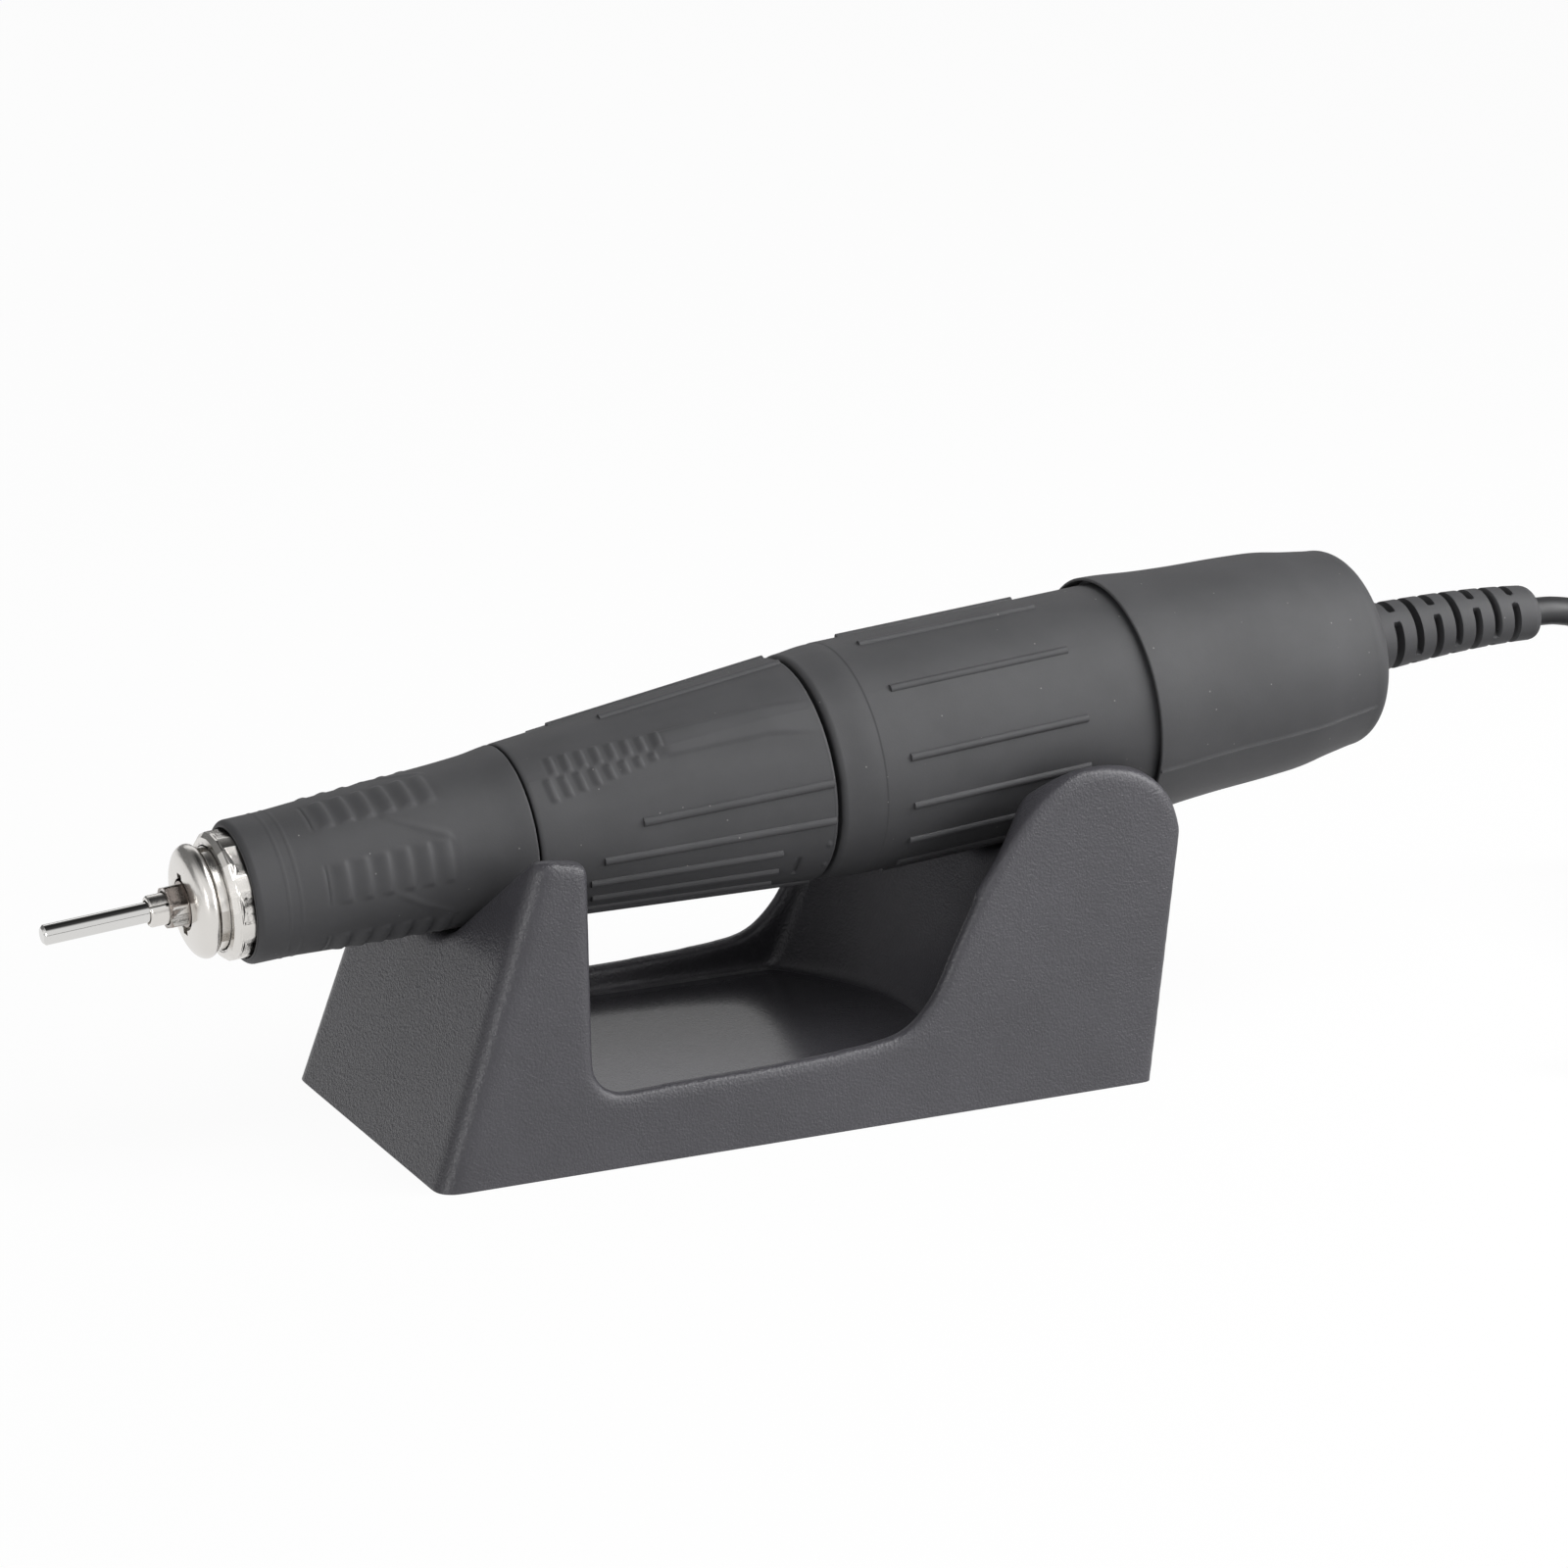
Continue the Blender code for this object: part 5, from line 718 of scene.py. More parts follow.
@dataclass(frozen=True)
class TurnedMetal:
    """A metal that was turned about the handpiece's axis."""

    name: str
    colour: str
    roughness: float
    line_mm: float
    line_depth_mm: float
    cloud_mm: float = 2.5

    def build(self) -> Material:
        """Make the material, with turning lines about the handpiece's axis.

        Returns:
            The material.
        """
        material, add, shader = new_material(self.name)
        place = add("TexCoord").outputs["Object"]
        pose = AXIS.matrix()
        seat = {"Vector": place, "Location": pose.translation, "Rotation": pose.to_euler()}
        parts = add("SeparateXYZ", {0: add("Mapping", seat, vector_type="TEXTURE").outputs[0]}).outputs
        across = add("CombineXYZ", {"Y": parts["Y"], "Z": parts["Z"]}).outputs[0]
        radius = add("VectorMath", {0: across}, operation="LENGTH").outputs["Value"]
        rings = add("CombineXYZ", {"X": parts["X"], "Y": radius}).outputs[0]
        fine = {"Vector": rings, "Scale": 1 / (self.line_mm * MM), "Detail": 3.0}
        lines = add("TexNoise", fine).outputs["Fac"]
        broad = {"Vector": place, "Scale": 1 / (self.cloud_mm * MM), "Detail": 4.0}
        cloud = add("TexNoise", broad).outputs["Fac"]
        limits = {"Value": cloud, "To Min": self.roughness * 0.8, "To Max": self.roughness * 1.25}
        rough = add("MapRange", limits).outputs[0]
        relief = {"Strength": 1.0, "Distance": self.line_depth_mm * MM, "Height": lines}
        bump = add("Bump", relief).outputs[0]
        colour = linear(self.colour)
        add.feed(shader, {"Metallic": 1.0, "Base Color": colour, "Roughness": rough, "Normal": bump})
        return material


# One finish for each material slot of the record, and one more for the spindle's temper colour
FINISHES = {
    # Injection-moulded ABS from a spark-eroded tool: a fine leather-like grain, but a smooth tray floor
    "grained_plastic": MouldedFinish(
        "Grained ABS", "4a494e", 0.35, Texture.GRAINED, 0.3, 0.08,
        smooth_mm=((-27.5, 42.0), (-20.2, 20.2), (4.8, 5.62)),
    ),
    # Soft-touch rubber over-moulding: matte, with a faint tooth and some dust
    "soft_rubber": MouldedFinish(
        "Soft-touch rubber", "49494b", 0.62, Texture.SOFT, 0.22, 0.012, dust=0.35, ior=1.46
    ),
    # Plain moulded nylon inside the motor
    "moulded_plastic": MouldedFinish("Moulded nylon", "2b2b2d", 0.4, Texture.SMOOTH, 0.5, 0.003),
    # Stainless steel, turned and tumbled to a satin
    "satin_steel": TurnedMetal("Satin turned steel", "dad7d3", 0.25, 0.12, 0.0004),
    # Ground and polished tool steel of the shank
    "polished_steel": TurnedMetal("Ground tool steel", "d6d5d3", 0.08, 0.08, 0.0003),
    # Drawn spring wire
    "spring_steel": TurnedMetal("Drawn spring steel", "9c9ca0", 0.25, 0.1, 0.0005),
    # Clear anodised aluminium
    "anodised_aluminium": TurnedMetal("Anodised aluminium", "b9bbbf", 0.33, 0.1, 0.0008),
    # Enamelled copper wire
    "copper": TurnedMetal("Enamelled copper", "b5683c", 0.3, 0.25, 0.03),
    # Punched and stacked iron sheets
    "laminated_steel": TurnedMetal("Laminated iron", "8a8c90", 0.38, 0.35, 0.02),
    # Sintered ferrite and pressed carbon: dull, dark and slightly rough
    "ferrite": MouldedFinish("Sintered ferrite", "38383b", 0.6, Texture.SOFT, 0.2, 0.006),
    "carbon": MouldedFinish("Pressed carbon", "232323", 0.5, Texture.SOFT, 0.15, 0.006),
    # Extruded PVC jacket of the cord, smooth with a soft gloss
    "cord_jacket": MouldedFinish("PVC cord jacket", "2c2c2e", 0.42, Texture.SMOOTH, 0.3, 0.002),
    # Nickel-plated brass of the plug
    "plated_brass": TurnedMetal("Nickel-plated brass", "c9c3b4", 0.18, 0.15, 0.0006),
    # Hardened spindle steel: a grey-brown temper colour
    "tempered_steel": TurnedMetal("Tempered spindle steel", "958c86", 0.26, 0.12, 0.0003),
}


class Palette:
    """The built materials, and the pieces that wear them."""

    def __init__(self) -> None:
        """Build every material once."""
        self.by_slot = {slot: finish.build() for slot, finish in FINISHES.items()}

    def dress_nodes(self) -> None:
        """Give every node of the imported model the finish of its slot."""
        for part in frame["record"]["subparts"]:
            materials = frame["nodes"][part["node"]].data.materials
            materials.clear()
            materials.append(self.by_slot[part["material_slot"]])

    def piece(
        self, name: str, mesh: Mesh, body: Body, slot: str, *nodes: str,
        finish: str | None = None, sharp_deg: float = 34.0,
    ) -> None:
        """Show a piece that rides on a body and stands for the nodes that it covers.

        Args:
            name: the piece's name.
            mesh: its mesh, in world metres.
            body: the body that carries it.
            slot: its material slot.
            nodes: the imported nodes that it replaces.
            finish: its finish, where that isn't the slot's own.
            sharp_deg: the angle from which an edge stays crisp.
        """
        piece = show(name, mesh, self.by_slot[finish or slot], sharp_deg)
        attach(piece, body.value)
        if nodes:
            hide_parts(*nodes)
        LOG.info("%s: %d faces on %s", piece.name, len(piece.data.polygons), body.value)

    def rubber(self, name: str, mesh: Mesh, body: Body, node: str, sharp_deg: float = 40.0) -> None:
        """Show a piece of soft rubber, which has few crisp edges."""
        self.piece(name, mesh, body, "soft_rubber", node, sharp_deg=sharp_deg)


@dataclass
class Chuck:
    """The shank, the collet and the spindle's nose, in mm."""

    palette: Palette
    shank_radius: float = 1.175
    shank_front: float = -83.95
    shank_rear: float = -55.6
    shank_chamfer: float = 0.28
    edge: float = 0.32
    collet_radius: float = 1.825
    collet_bore: float = 1.375
    collet_front: float = -71.6
    collet_rear: float = -50.6
    slits: int = 3
    slit: float = 0.4
    slit_depth: float = 12.0
    nose_front: float = -69.5
    nose_corner: float = 2.656
    nose_across: float = 4.6
    nose_flat: float = 2.1
    nose_rear: float = -66.1
    spindle_length: float = 20.0
    spindle_radius: float = 2.975
    spindle_bore: float = 2.025

    def build(self) -> None:
        """Make the shank, the collet and the spindle."""
        self._shank()
        self._collet()
        self._spindle()

    def _shank(self) -> None:
        """Make the ground shank with its two chamfers."""
        skin = TurnedSkin(even_azimuths(96))
        front, rear, radius, edge = self.shank_front, self.shank_rear, self.shank_radius, self.shank_chamfer
        skin.turn((front, radius * 0.4), (front, radius - edge - 0.04), (front + 0.03, radius - edge))
        skin.turn((front + edge, radius - 0.02), (front + edge + 0.06, radius))
        skin.turn((rear - edge, radius), (rear, radius - edge))
        mesh = skin.mesh("shank", True)
        self.palette.piece("test_shank_ground", mesh, Body.SHANK, "polished_steel", "test_shank")

    def _collet(self) -> None:
        """Make the slit collet with its rounded mouth."""
        skin = TurnedSkin(even_azimuths(96))
        front, rear, radius, bore = self.collet_front, self.collet_rear, self.collet_radius, self.collet_bore
        stop = self.shank_rear + 0.3
        skin.turn(*edge_arc(front + self.edge, radius - self.edge, self.edge, (180, 90)))
        skin.turn((rear, radius), (rear, bore * 0.3), (stop, bore * 0.3), (stop, bore), (front, bore))
        length = self.slit_depth + 1
        boxes = []
        for index in range(self.slits):
            pose = AXIS.pose(front - 1 + length / 2, math.pi * (2 * index + 1) / self.slits, radius)
            boxes.append(((length, self.slit, radius), pose))
        mesh = carved(skin.mesh("collet"), [box_mesh("slits", boxes)])
        self.palette.piece("collet_slit", mesh, Body.CHUCK, "satin_steel", "collet")

    def _spindle(self) -> None:
        """Make the spindle's hexagonal nose and the tube behind it."""
        skin = TurnedSkin(even_azimuths(180))
        front, rear, corner = self.nose_front, self.nose_rear, self.nose_corner
        hexagon = np.minimum(corner, self.nose_across / 2 / np.cos(aside(skin.azimuths, PLANE_DEG, 6)))
        for station, ring in edge_arc(front + self.edge, corner - self.edge, self.edge, (180, 90)):
            skin.row(station, np.minimum(hexagon, ring))
        step, end = front + self.nose_flat, rear + self.spindle_length
        skin.turn((step - 0.05, hexagon), (step, corner), (rear, corner), (rear, self.spindle_radius))
        skin.turn((end, self.spindle_radius), (end, self.spindle_bore), (front, self.spindle_bore))
        look = {"finish": "tempered_steel", "sharp_deg": 25}
        self.palette.piece("spindle_nose", skin.mesh("nose"), Body.SPINDLE, "satin_steel", **look)


@dataclass
class NoseCap:
    """The domed cap and the flatted steel collar behind it, in mm."""

    palette: Palette
    front: float = -67.4
    face: float = 3.6
    bulge: float = 6.6
    dome_length: float = 2.4
    groove_length: float = 1.2
    spigot: float = 5.925
    spigot_length: float = 2.4
    hole: float = 2.956
    hole_edge: float = 0.12
    bore: float = 3.575
    lip: float = 0.8
    barrel_front: float = -63.8
    barrel_length: float = 4.0
    barrel_radius: float = 7.025
    collar_radius: float = 7.425
    collar_length: float = 2.7
    collar_chamfer: float = 0.5
    chamfer_front: float = 0.36
    chamfer_length: float = 0.44
    flat_setback: float = 0.82
    flat_run: float = 0.5
    flats: int = 8
    flat_arc_deg: float = 31.0
    windows: int = 3
    window_deg: float = 41.0
    window_middle_deg: float = 109.0
    window_depth: float = 2.3
    notch: Triple = (1.4, 1.3, 1.3)
    dome_shares: Pairs = (
        (0.00, 0.00), (0.015, 0.18), (0.05, 0.36), (0.13, 0.60), (0.27, 0.81), (0.42, 0.93),
        (0.58, 0.99), (0.70, 1.00), (0.82, 0.98), (0.91, 0.92), (0.97, 0.84), (1.00, 0.77),
    )

    def build(self) -> None:
        """Make the cap and the collar."""
        self._cap()
        self._collar()

    def _cap(self) -> None:
        """Make the domed cap with its face notches and groove windows."""
        skin = TurnedSkin(even_azimuths(192))
        spans = ((0, 0.06, 7), (0.09, 0.9, 20), (0.92, 1, 6))
        shares = np.concatenate([np.linspace(*span) for span in spans])
        radii = self.face + (self.bulge - self.face) * softened(self.dome_shares, shares, 0.02)
        skin.turn(*zip(self.front + self.dome_length * shares, radii))
        groove = self.front + self.dome_length
        end = groove + self.groove_length + self.spigot_length
        lip = self.front + self.lip
        skin.turn((groove, self.spigot + 0.25), (groove + 0.2, self.spigot), (end, self.spigot))
        skin.turn((end, self.bore), (lip, self.bore), (lip, self.hole))
        skin.turn((self.front + self.hole_edge, self.hole), (self.front, self.hole + self.hole_edge))
        width = 2 * self.spigot * math.sin(math.radians(self.window_deg) / 2)
        boxes = []
        for index in range(self.windows):
            azimuth = math.radians(self.window_middle_deg) + FULL_TURN * index / self.windows
            pose = AXIS.pose(groove + self.groove_length / 2, azimuth, self.spigot)
            boxes.append(((self.groove_length - 0.2, width, self.window_depth), pose))
        boxes += [(self.notch, AXIS.pose(self.front, azimuth, self.hole)) for azimuth in (0, math.pi)]
        mesh = carved(skin.mesh("cap"), [box_mesh("windows", boxes)])
        self.palette.piece("nose_cap_dome", mesh, Body.HANDPIECE, "satin_steel", "nose_cap")

    def _collar(self) -> None:
        """Make the visible collar of the barrel with its flats."""
        half = math.radians(self.flat_arc_deg) / 2
        middles = math.radians(PLANE_DEG) + even_azimuths(self.flats)
        corners = np.mod(np.concatenate([middles - half, middles + half]), FULL_TURN)
        skin = TurnedSkin(np.unique(np.concatenate([even_azimuths(160), corners])))
        full, edge, front = self.collar_radius, self.collar_chamfer, self.barrel_front
        flat = full * math.cos(half)
        faceted = np.minimum(full, flat / np.cos(aside(skin.azimuths, PLANE_DEG, self.flats)))
        bore = self.spigot + 0.2
        skin.turn((front, bore), (front, full - edge - 0.55), (front + 0.1, full - edge - 0.4))
        skin.turn((front + 0.34, full - edge - 0.32), (front + self.chamfer_front, full - edge))
        for share in np.linspace(0, 1, 6):
            ring = np.minimum(full, full - edge * (1 - share) ** 1.6)
            skin.row(front + self.chamfer_front + self.chamfer_length * share, ring)
        for share in np.linspace(0, 1, 5):
            ring = np.maximum(faceted, full + (flat - full) * share)
            skin.row(front + self.flat_setback + self.flat_run * share, np.minimum(full, ring))
        rear = front + self.collar_length
        end = rear + self.barrel_length
        skin.turn((rear, faceted), (rear, self.barrel_radius), (end, self.barrel_radius), (end, bore))
        self.palette.piece("barrel_collar", skin.mesh("collar"), Body.HANDPIECE, "satin_steel", sharp_deg=20)


@dataclass
class FrontGrip:
    """The tapered rubber grip with its recessed rib patches, in mm."""

    palette: Palette
    front: float = -61.4
    rear: float = -28.0
    front_radius: float = 8.285
    rear_radius: float = 10.325
    bore: float = 7.325
    mouth: float = 7.625
    rim: float = 0.75
    rear_edge: float = 0.25
    row_pitch: float = 0.175
    patches: int = 6
    patch_middle_deg: float = 21.0
    patch_half_deg: float = 14.5
    patch_front: float = -52.9
    patch_rear: float = -37.2
    recess: float = 0.04
    slot_depth: float = 0.16
    slot_width: float = 0.16
    rib_height: float = 0.24
    rib_pitch: float = 2.45
    rib_first: float = -52.45
    rib_crest: float = 0.68
    lines: Pair = (-57.6, -56.2)
    line_height: float = 0.05
    line_width: float = 0.12
    crease_height: float = 0.12
    crease_width: float = 0.28
    crease_radius: float = 9.3
    crease_lean: float = 0.55
    # (station, azimuth in degrees) points of the crease between two patches
    crease: Pairs = ((-46.0, 36.0), (-44.3, 40.5), (-41.5, 52.0), (-37.9, 64.5), (-36.8, 70.0))
    rise_shares: Pairs = (
        (0.0, 0.020), (0.045, 0.030), (0.150, 0.045), (0.280, 0.180), (0.420, 0.300), (0.540, 0.380),
        (0.660, 0.500), (0.780, 0.600), (0.900, 0.740), (0.960, 0.900), (1.0, 1.0),
    )

    def base(self, station: float) -> float:
        """Return the smooth radius under the patches at a station."""
        rise = softened(self.rise_shares, (station - self.front) / (self.rear - self.front), 0.03)
        return self.front_radius + (self.rear_radius - self.front_radius) * float(rise)

    def surface(self, station: float, azimuths: np.ndarray) -> np.ndarray:
        """Read the grip's skin.

        Args:
            station: the place along the axis.
            azimuths: the angles around it.

        Returns:
            The radius at each azimuth.
        """
        half = math.radians(self.patch_half_deg)
        offset = np.abs(aside(azimuths, self.patch_middle_deg, self.patches))
        side = 1 - smooth_step(offset, half - 0.03, half + 0.05)
        front, rear = self.patch_front, self.patch_rear
        along = plateau(station, (front - 0.15, front + 0.15), (rear - 2.5, rear + 0.8))
        phase = (station - self.rib_first) / self.rib_pitch % 1.0
        wave = plateau(phase, (0.05, self.rib_crest), (self.rib_crest + 0.04, 1.0))
        slot = self.slot_depth * bell(station - front, self.slot_width)
        sunk = along * (self.recess - self.rib_height * wave) + slot
        lines = self.line_height * sum(bell(station - line, self.line_width) for line in self.lines)
        radius = self.base(station) - side * sunk + lines
        return radius + self.crease_height * self._crease(station, azimuths)

    def _crease(self, station: float, azimuths: np.ndarray) -> np.ndarray:
        """Read the crease of the land between two patches.

        Args:
            station: the place along the axis.
            azimuths: the angles around it.

        Returns:
            Its share at each azimuth, from 0 to 1.
        """
        middle_deg = np.interp(station, *np.array(self.crease).T)
        distance = aside(azimuths, middle_deg, self.patches) * self.crease_radius * self.crease_lean
        return plateau(station, (-45.4, -43.8), (-38.2, -37.2)) * bell(distance, self.crease_width)

    def build(self) -> None:
        """Make the grip."""
        skin = TurnedSkin(even_azimuths(300))
        front, rear, rim, edge = self.front, self.rear, self.rim, self.rear_edge
        skin.turn(*edge_arc(front + rim, self.base(front + rim) - rim, rim, (180, 92), 7))
        skin.relief(np.arange(front + rim + 0.05, rear - edge, self.row_pitch), self.surface)
        skin.turn(*edge_arc(rear - edge, self.base(rear) - edge, edge, (88, 0)))
        skin.turn((rear, self.bore), (front + 3.4, self.bore), (front + 0.6, self.mouth))
        skin.row(front, self.mouth + 0.25)
        mesh = skin.mesh("grip")
        self.palette.rubber("front_grip_skin", mesh, Body.HANDPIECE, "front_grip")


@dataclass
class TwistRing:
    """The ribbed ring that opens the chuck, in mm."""

    palette: Palette
    ribs: RibTree
    front: float = -27.7
    rear: float = 8.4
    front_radius: float = 10.325
    rear_radius: float = 13.4
    bore: float = 8.725
    rear_bore: float = 11.5
    counterbore: float = -2.2
    bore_taper: float = 6.0
    front_edge: float = 0.25
    edge: float = 0.45
    rib_radius: float = 0.58
    rib_sunk: float = 0.2
    # (degrees from the moulding plane, front end, rear end) of the long ribs on one side
    long_ribs: tuple[Triple, ...] = (
        (40.0, -15.3, 8.0), (60.0, -20.3, 8.0), (75.5, -21.8, 1.7), (90.0, -21.3, 1.7),
        (104.5, -21.8, 1.7), (120.0, -20.3, 8.0), (140.0, -15.3, 8.0),
    )
    # Where the raised land's two flanks lie, in degrees from the moulding plane at each station
    land_stations: tuple[float, ...] = (-24.5, -10.5, 1.7, 9.5)
    land_low_deg: tuple[float, ...] = (16.5, 4.5, 6.5, 13.5)
    land_high_deg: tuple[float, ...] = (-14.5, -9.5, -7.5, -3.0)
    land_height: float = 0.27
    hollow_depth: float = 0.34
    pad_depth: float = 0.08
    seam_height: float = 0.05
    bars: int = 8
    bar_first: float = -23.85
    bar_pitch: float = 1.84
    bar_shift: float = -1.2
    bar_rise: float = 0.95
    bar_fall: float = 0.5
    bar_height: float = 0.24
    # The tick's station, and the two azimuths in degrees that it runs between
    tick: Triple = (4.05, 123.5, 138.5)
    tick_depth: float = 0.3
    pips: Pairs = ((7.45, 116.6), (7.6, 132.7))
    pip_height: float = 0.2
    # (start, end, spacing) of the skin's rows between its rounded edges
    row_spans: tuple[Triple, ...] = (
        (-27.4, -26.2, 0.25), (-26.1, -9.4, 0.13), (-9.2, 3.6, 0.3), (3.7, 4.5, 0.08), (4.6, 7.0, 0.2),
        (7.05, 7.95, 0.12),
    )

    def cone(self, station: float) -> float:
        """Return the plain cone's radius at a station."""
        share = (station - self.front) / (self.rear - self.front)
        return self.front_radius + (self.rear_radius - self.front_radius) * share

    def surface(self, station: float, azimuths: np.ndarray) -> np.ndarray:
        """Read the ring's skin, with the raised land and the hollows beside it.

        Args:
            station: the place along the axis.
            azimuths: the angles around it.

        Returns:
            The radius at each azimuth.
        """
        degrees = np.degrees(aside(azimuths, PLANE_DEG, 2))
        low = np.interp(station, self.land_stations, self.land_low_deg)
        high = np.interp(station, self.land_stations, self.land_high_deg)
        land = plateau(degrees, (high - 2.5, high), (low, low + 2.2))
        hollow = bell(degrees - low - 7.5, 6.5) + 0.5 * bell(degrees - high + 9.5, 6.5)
        pad = plateau(degrees, (high - 1.5, high + 1.0), (low - 1.0, low + 1.5))
        radius = self.cone(station) + self.land_height * plateau(station, (-12.5, -10.2), (2.0, 9.0)) * land
        radius -= self.hollow_depth * plateau(station, (-25.5, -19.0), (-2.0, 7.5)) * hollow
        radius -= self.pad_depth * plateau(station, (-25.2, -24.2), (-11.2, -9.8)) * pad
        radius += self.seam_height * bell(degrees, 0.55)
        return radius + self._bars(station, degrees) + self._marks(station, np.degrees(azimuths))

    def _bars(self, station: float, degrees: np.ndarray) -> np.ndarray:
        """Read the two rows of soft cross bars on the thumb pads.

        Args:
            station: the place along the axis.
            degrees: the angles from the moulding plane.

        Returns:
            The bars' height at each angle.
        """
        height = np.zeros_like(degrees)
        for index in range(self.bars):
            share = index / (self.bars - 1)
            crest = self.bar_first + self.bar_pitch * index
            rows = (
                (-14.5 + 3.6 * share, -1.2, crest, -0.1),
                (1.6, 16.3 - 10.3 * share, crest + self.bar_shift, 0.25),
            )
            for low, high, place, lean in rows:
                off = station - place - lean * (degrees - low) / 14.0
                hump = plateau(off, (-self.bar_rise, -0.05), (0.05, self.bar_fall))
                ends = plateau(degrees, (low - 1.2, low + 0.8), (high - 0.8, high + 1.2))
                height = np.maximum(height, hump * ends)
        return self.bar_height * height

    def _marks(self, station: float, degrees: np.ndarray) -> np.ndarray:
        """Read the sunk tick and the two small pips that show the ring's stops.

        Args:
            station: the place along the axis.
            degrees: the angles from the handpiece's top.

        Returns:
            The marks' height at each angle.
        """
        place, low, high = self.tick
        across = 1 - smooth_step(abs(station - place), 0.18, 0.34)
        relief = -self.tick_depth * across * plateau(degrees, (low, low + 1.5), (high - 1.5, high))
        for pip_station, pip_deg in self.pips:
            off = np.hypot(station - pip_station, np.radians(degrees - pip_deg) * self.cone(station))
            relief = relief + self.pip_height * (1 - smooth_step(off, 0.15, 0.45))
        return relief

    def build(self) -> None:
        """Make the ring with its ribs."""
        skin = TurnedSkin(even_azimuths(330))
        front, rear, small, edge = self.front, self.rear, self.front_edge, self.edge
        skin.turn(*edge_arc(front + small, self.cone(front) - small, small, (180, 95)))
        skin.relief(np.concatenate([np.arange(*span) for span in self.row_spans]), self.surface)
        skin.turn(*edge_arc(rear - edge, self.cone(rear) - edge, edge, (85, 0), 6))
        skin.turn((rear, self.rear_bore), (self.counterbore, self.rear_bore))
        skin.turn((self.counterbore - self.bore_taper, self.bore), (front, self.bore))
        splines = []
        for offset, start, end in self.long_ribs:
            ends = ((start, self.cone(start)), (end, self.cone(end)))
            splines.append(bar_points(*ends, PLANE_DEG + offset, self.rib_sunk, self.rib_radius))
        rubber = self.palette.by_slot["soft_rubber"]
        # The fan of one side, turned by half a turn, is the fan of the other
        ribs = self.ribs.sweep(splines, self.rib_radius, rubber, 2)
        mesh = joined("ring", [skin.mesh("skin"), ribs])
        self.palette.rubber("twist_ring_skin", mesh, Body.TWIST, "twist_ring")


@dataclass
class MotorSleeve:
    """The ribbed motor housing, in mm."""

    palette: Palette
    ribs: RibTree
    front: float = 9.0
    rear: float = 52.3
    radius: float = 14.0
    nose_drop: float = 0.42
    nose_length: float = 4.8
    edge: float = 0.7
    wall_front: float = 2.0
    bore: float = 12.3
    neck_front: float = 1.1
    neck_radius: float = 11.2
    neck_bore: float = 9.7
    tail_radius: float = 13.1
    tail_length: float = 5.5
    step_station: float = 14.5
    step_height: float = 0.07
    seam_height: float = 0.035
    rib_offsets: tuple[float, ...] = (0.0, 35.5, 60.0, 81.5, 102.5, 123.5, 144.5, 166.0)
    rib_front: float = 17.9
    rib_rear: float = 41.4
    rib_radius: float = 0.52
    rib_sunk: float = 0.14

    def base(self, station: float) -> float:
        """Read the housing's outline, with its fine step but without its mould line.

        Args:
            station: the place along the axis.

        Returns:
            The radius.
        """
        nose = self.nose_drop * (1 - smooth_step(station, self.front, self.front + self.nose_length))
        step = 1 - smooth_step(station, self.step_station - 0.05, self.step_station + 0.05)
        return self.radius - nose - self.step_height * step

    def surface(self, station: float, azimuths: np.ndarray) -> np.ndarray:
        """Return the radius at each azimuth, with the mould line."""
        return self.base(station) + self.seam_height * bell(np.degrees(aside(azimuths, PLANE_DEG)), 0.5)

    def build(self) -> None:
        """Make the housing and its ribs."""
        skin = TurnedSkin(even_azimuths(360))
        front, edge, wall = self.front, self.edge, self.front + self.wall_front
        skin.turn((self.neck_front, self.neck_radius), (front, self.neck_radius))
        skin.turn(*edge_arc(front + edge, self.base(front + edge) - edge, edge, (180, 92), 8))
        near = np.arange(front + edge + 0.05, self.step_station + 0.4, 0.1)
        far = np.linspace(self.step_station + 0.8, self.rear, 40)
        skin.relief(np.concatenate([near, far]), self.surface)
        end = self.rear + self.tail_length
        skin.turn((self.rear, self.tail_radius), (end, self.tail_radius), (end, self.bore))
        skin.turn((wall, self.bore), (wall, self.neck_bore), (self.neck_front, self.neck_bore))
        ends = ((self.rib_front, self.radius), (self.rib_rear, self.radius))
        sides = [(0.0, 1)] + [(offset, side) for offset in self.rib_offsets[1:] for side in (-1, 1)]
        places = [PLANE_DEG + side * offset for offset, side in sides]
        splines = [bar_points(*ends, place, self.rib_sunk, self.rib_radius) for place in places]
        ribs = self.ribs.sweep(splines, self.rib_radius, self.palette.by_slot["soft_rubber"])
        mesh = joined("sleeve", [skin.mesh("skin"), ribs])
        self.palette.rubber("motor_sleeve_skin", mesh, Body.HANDPIECE, "motor_sleeve")


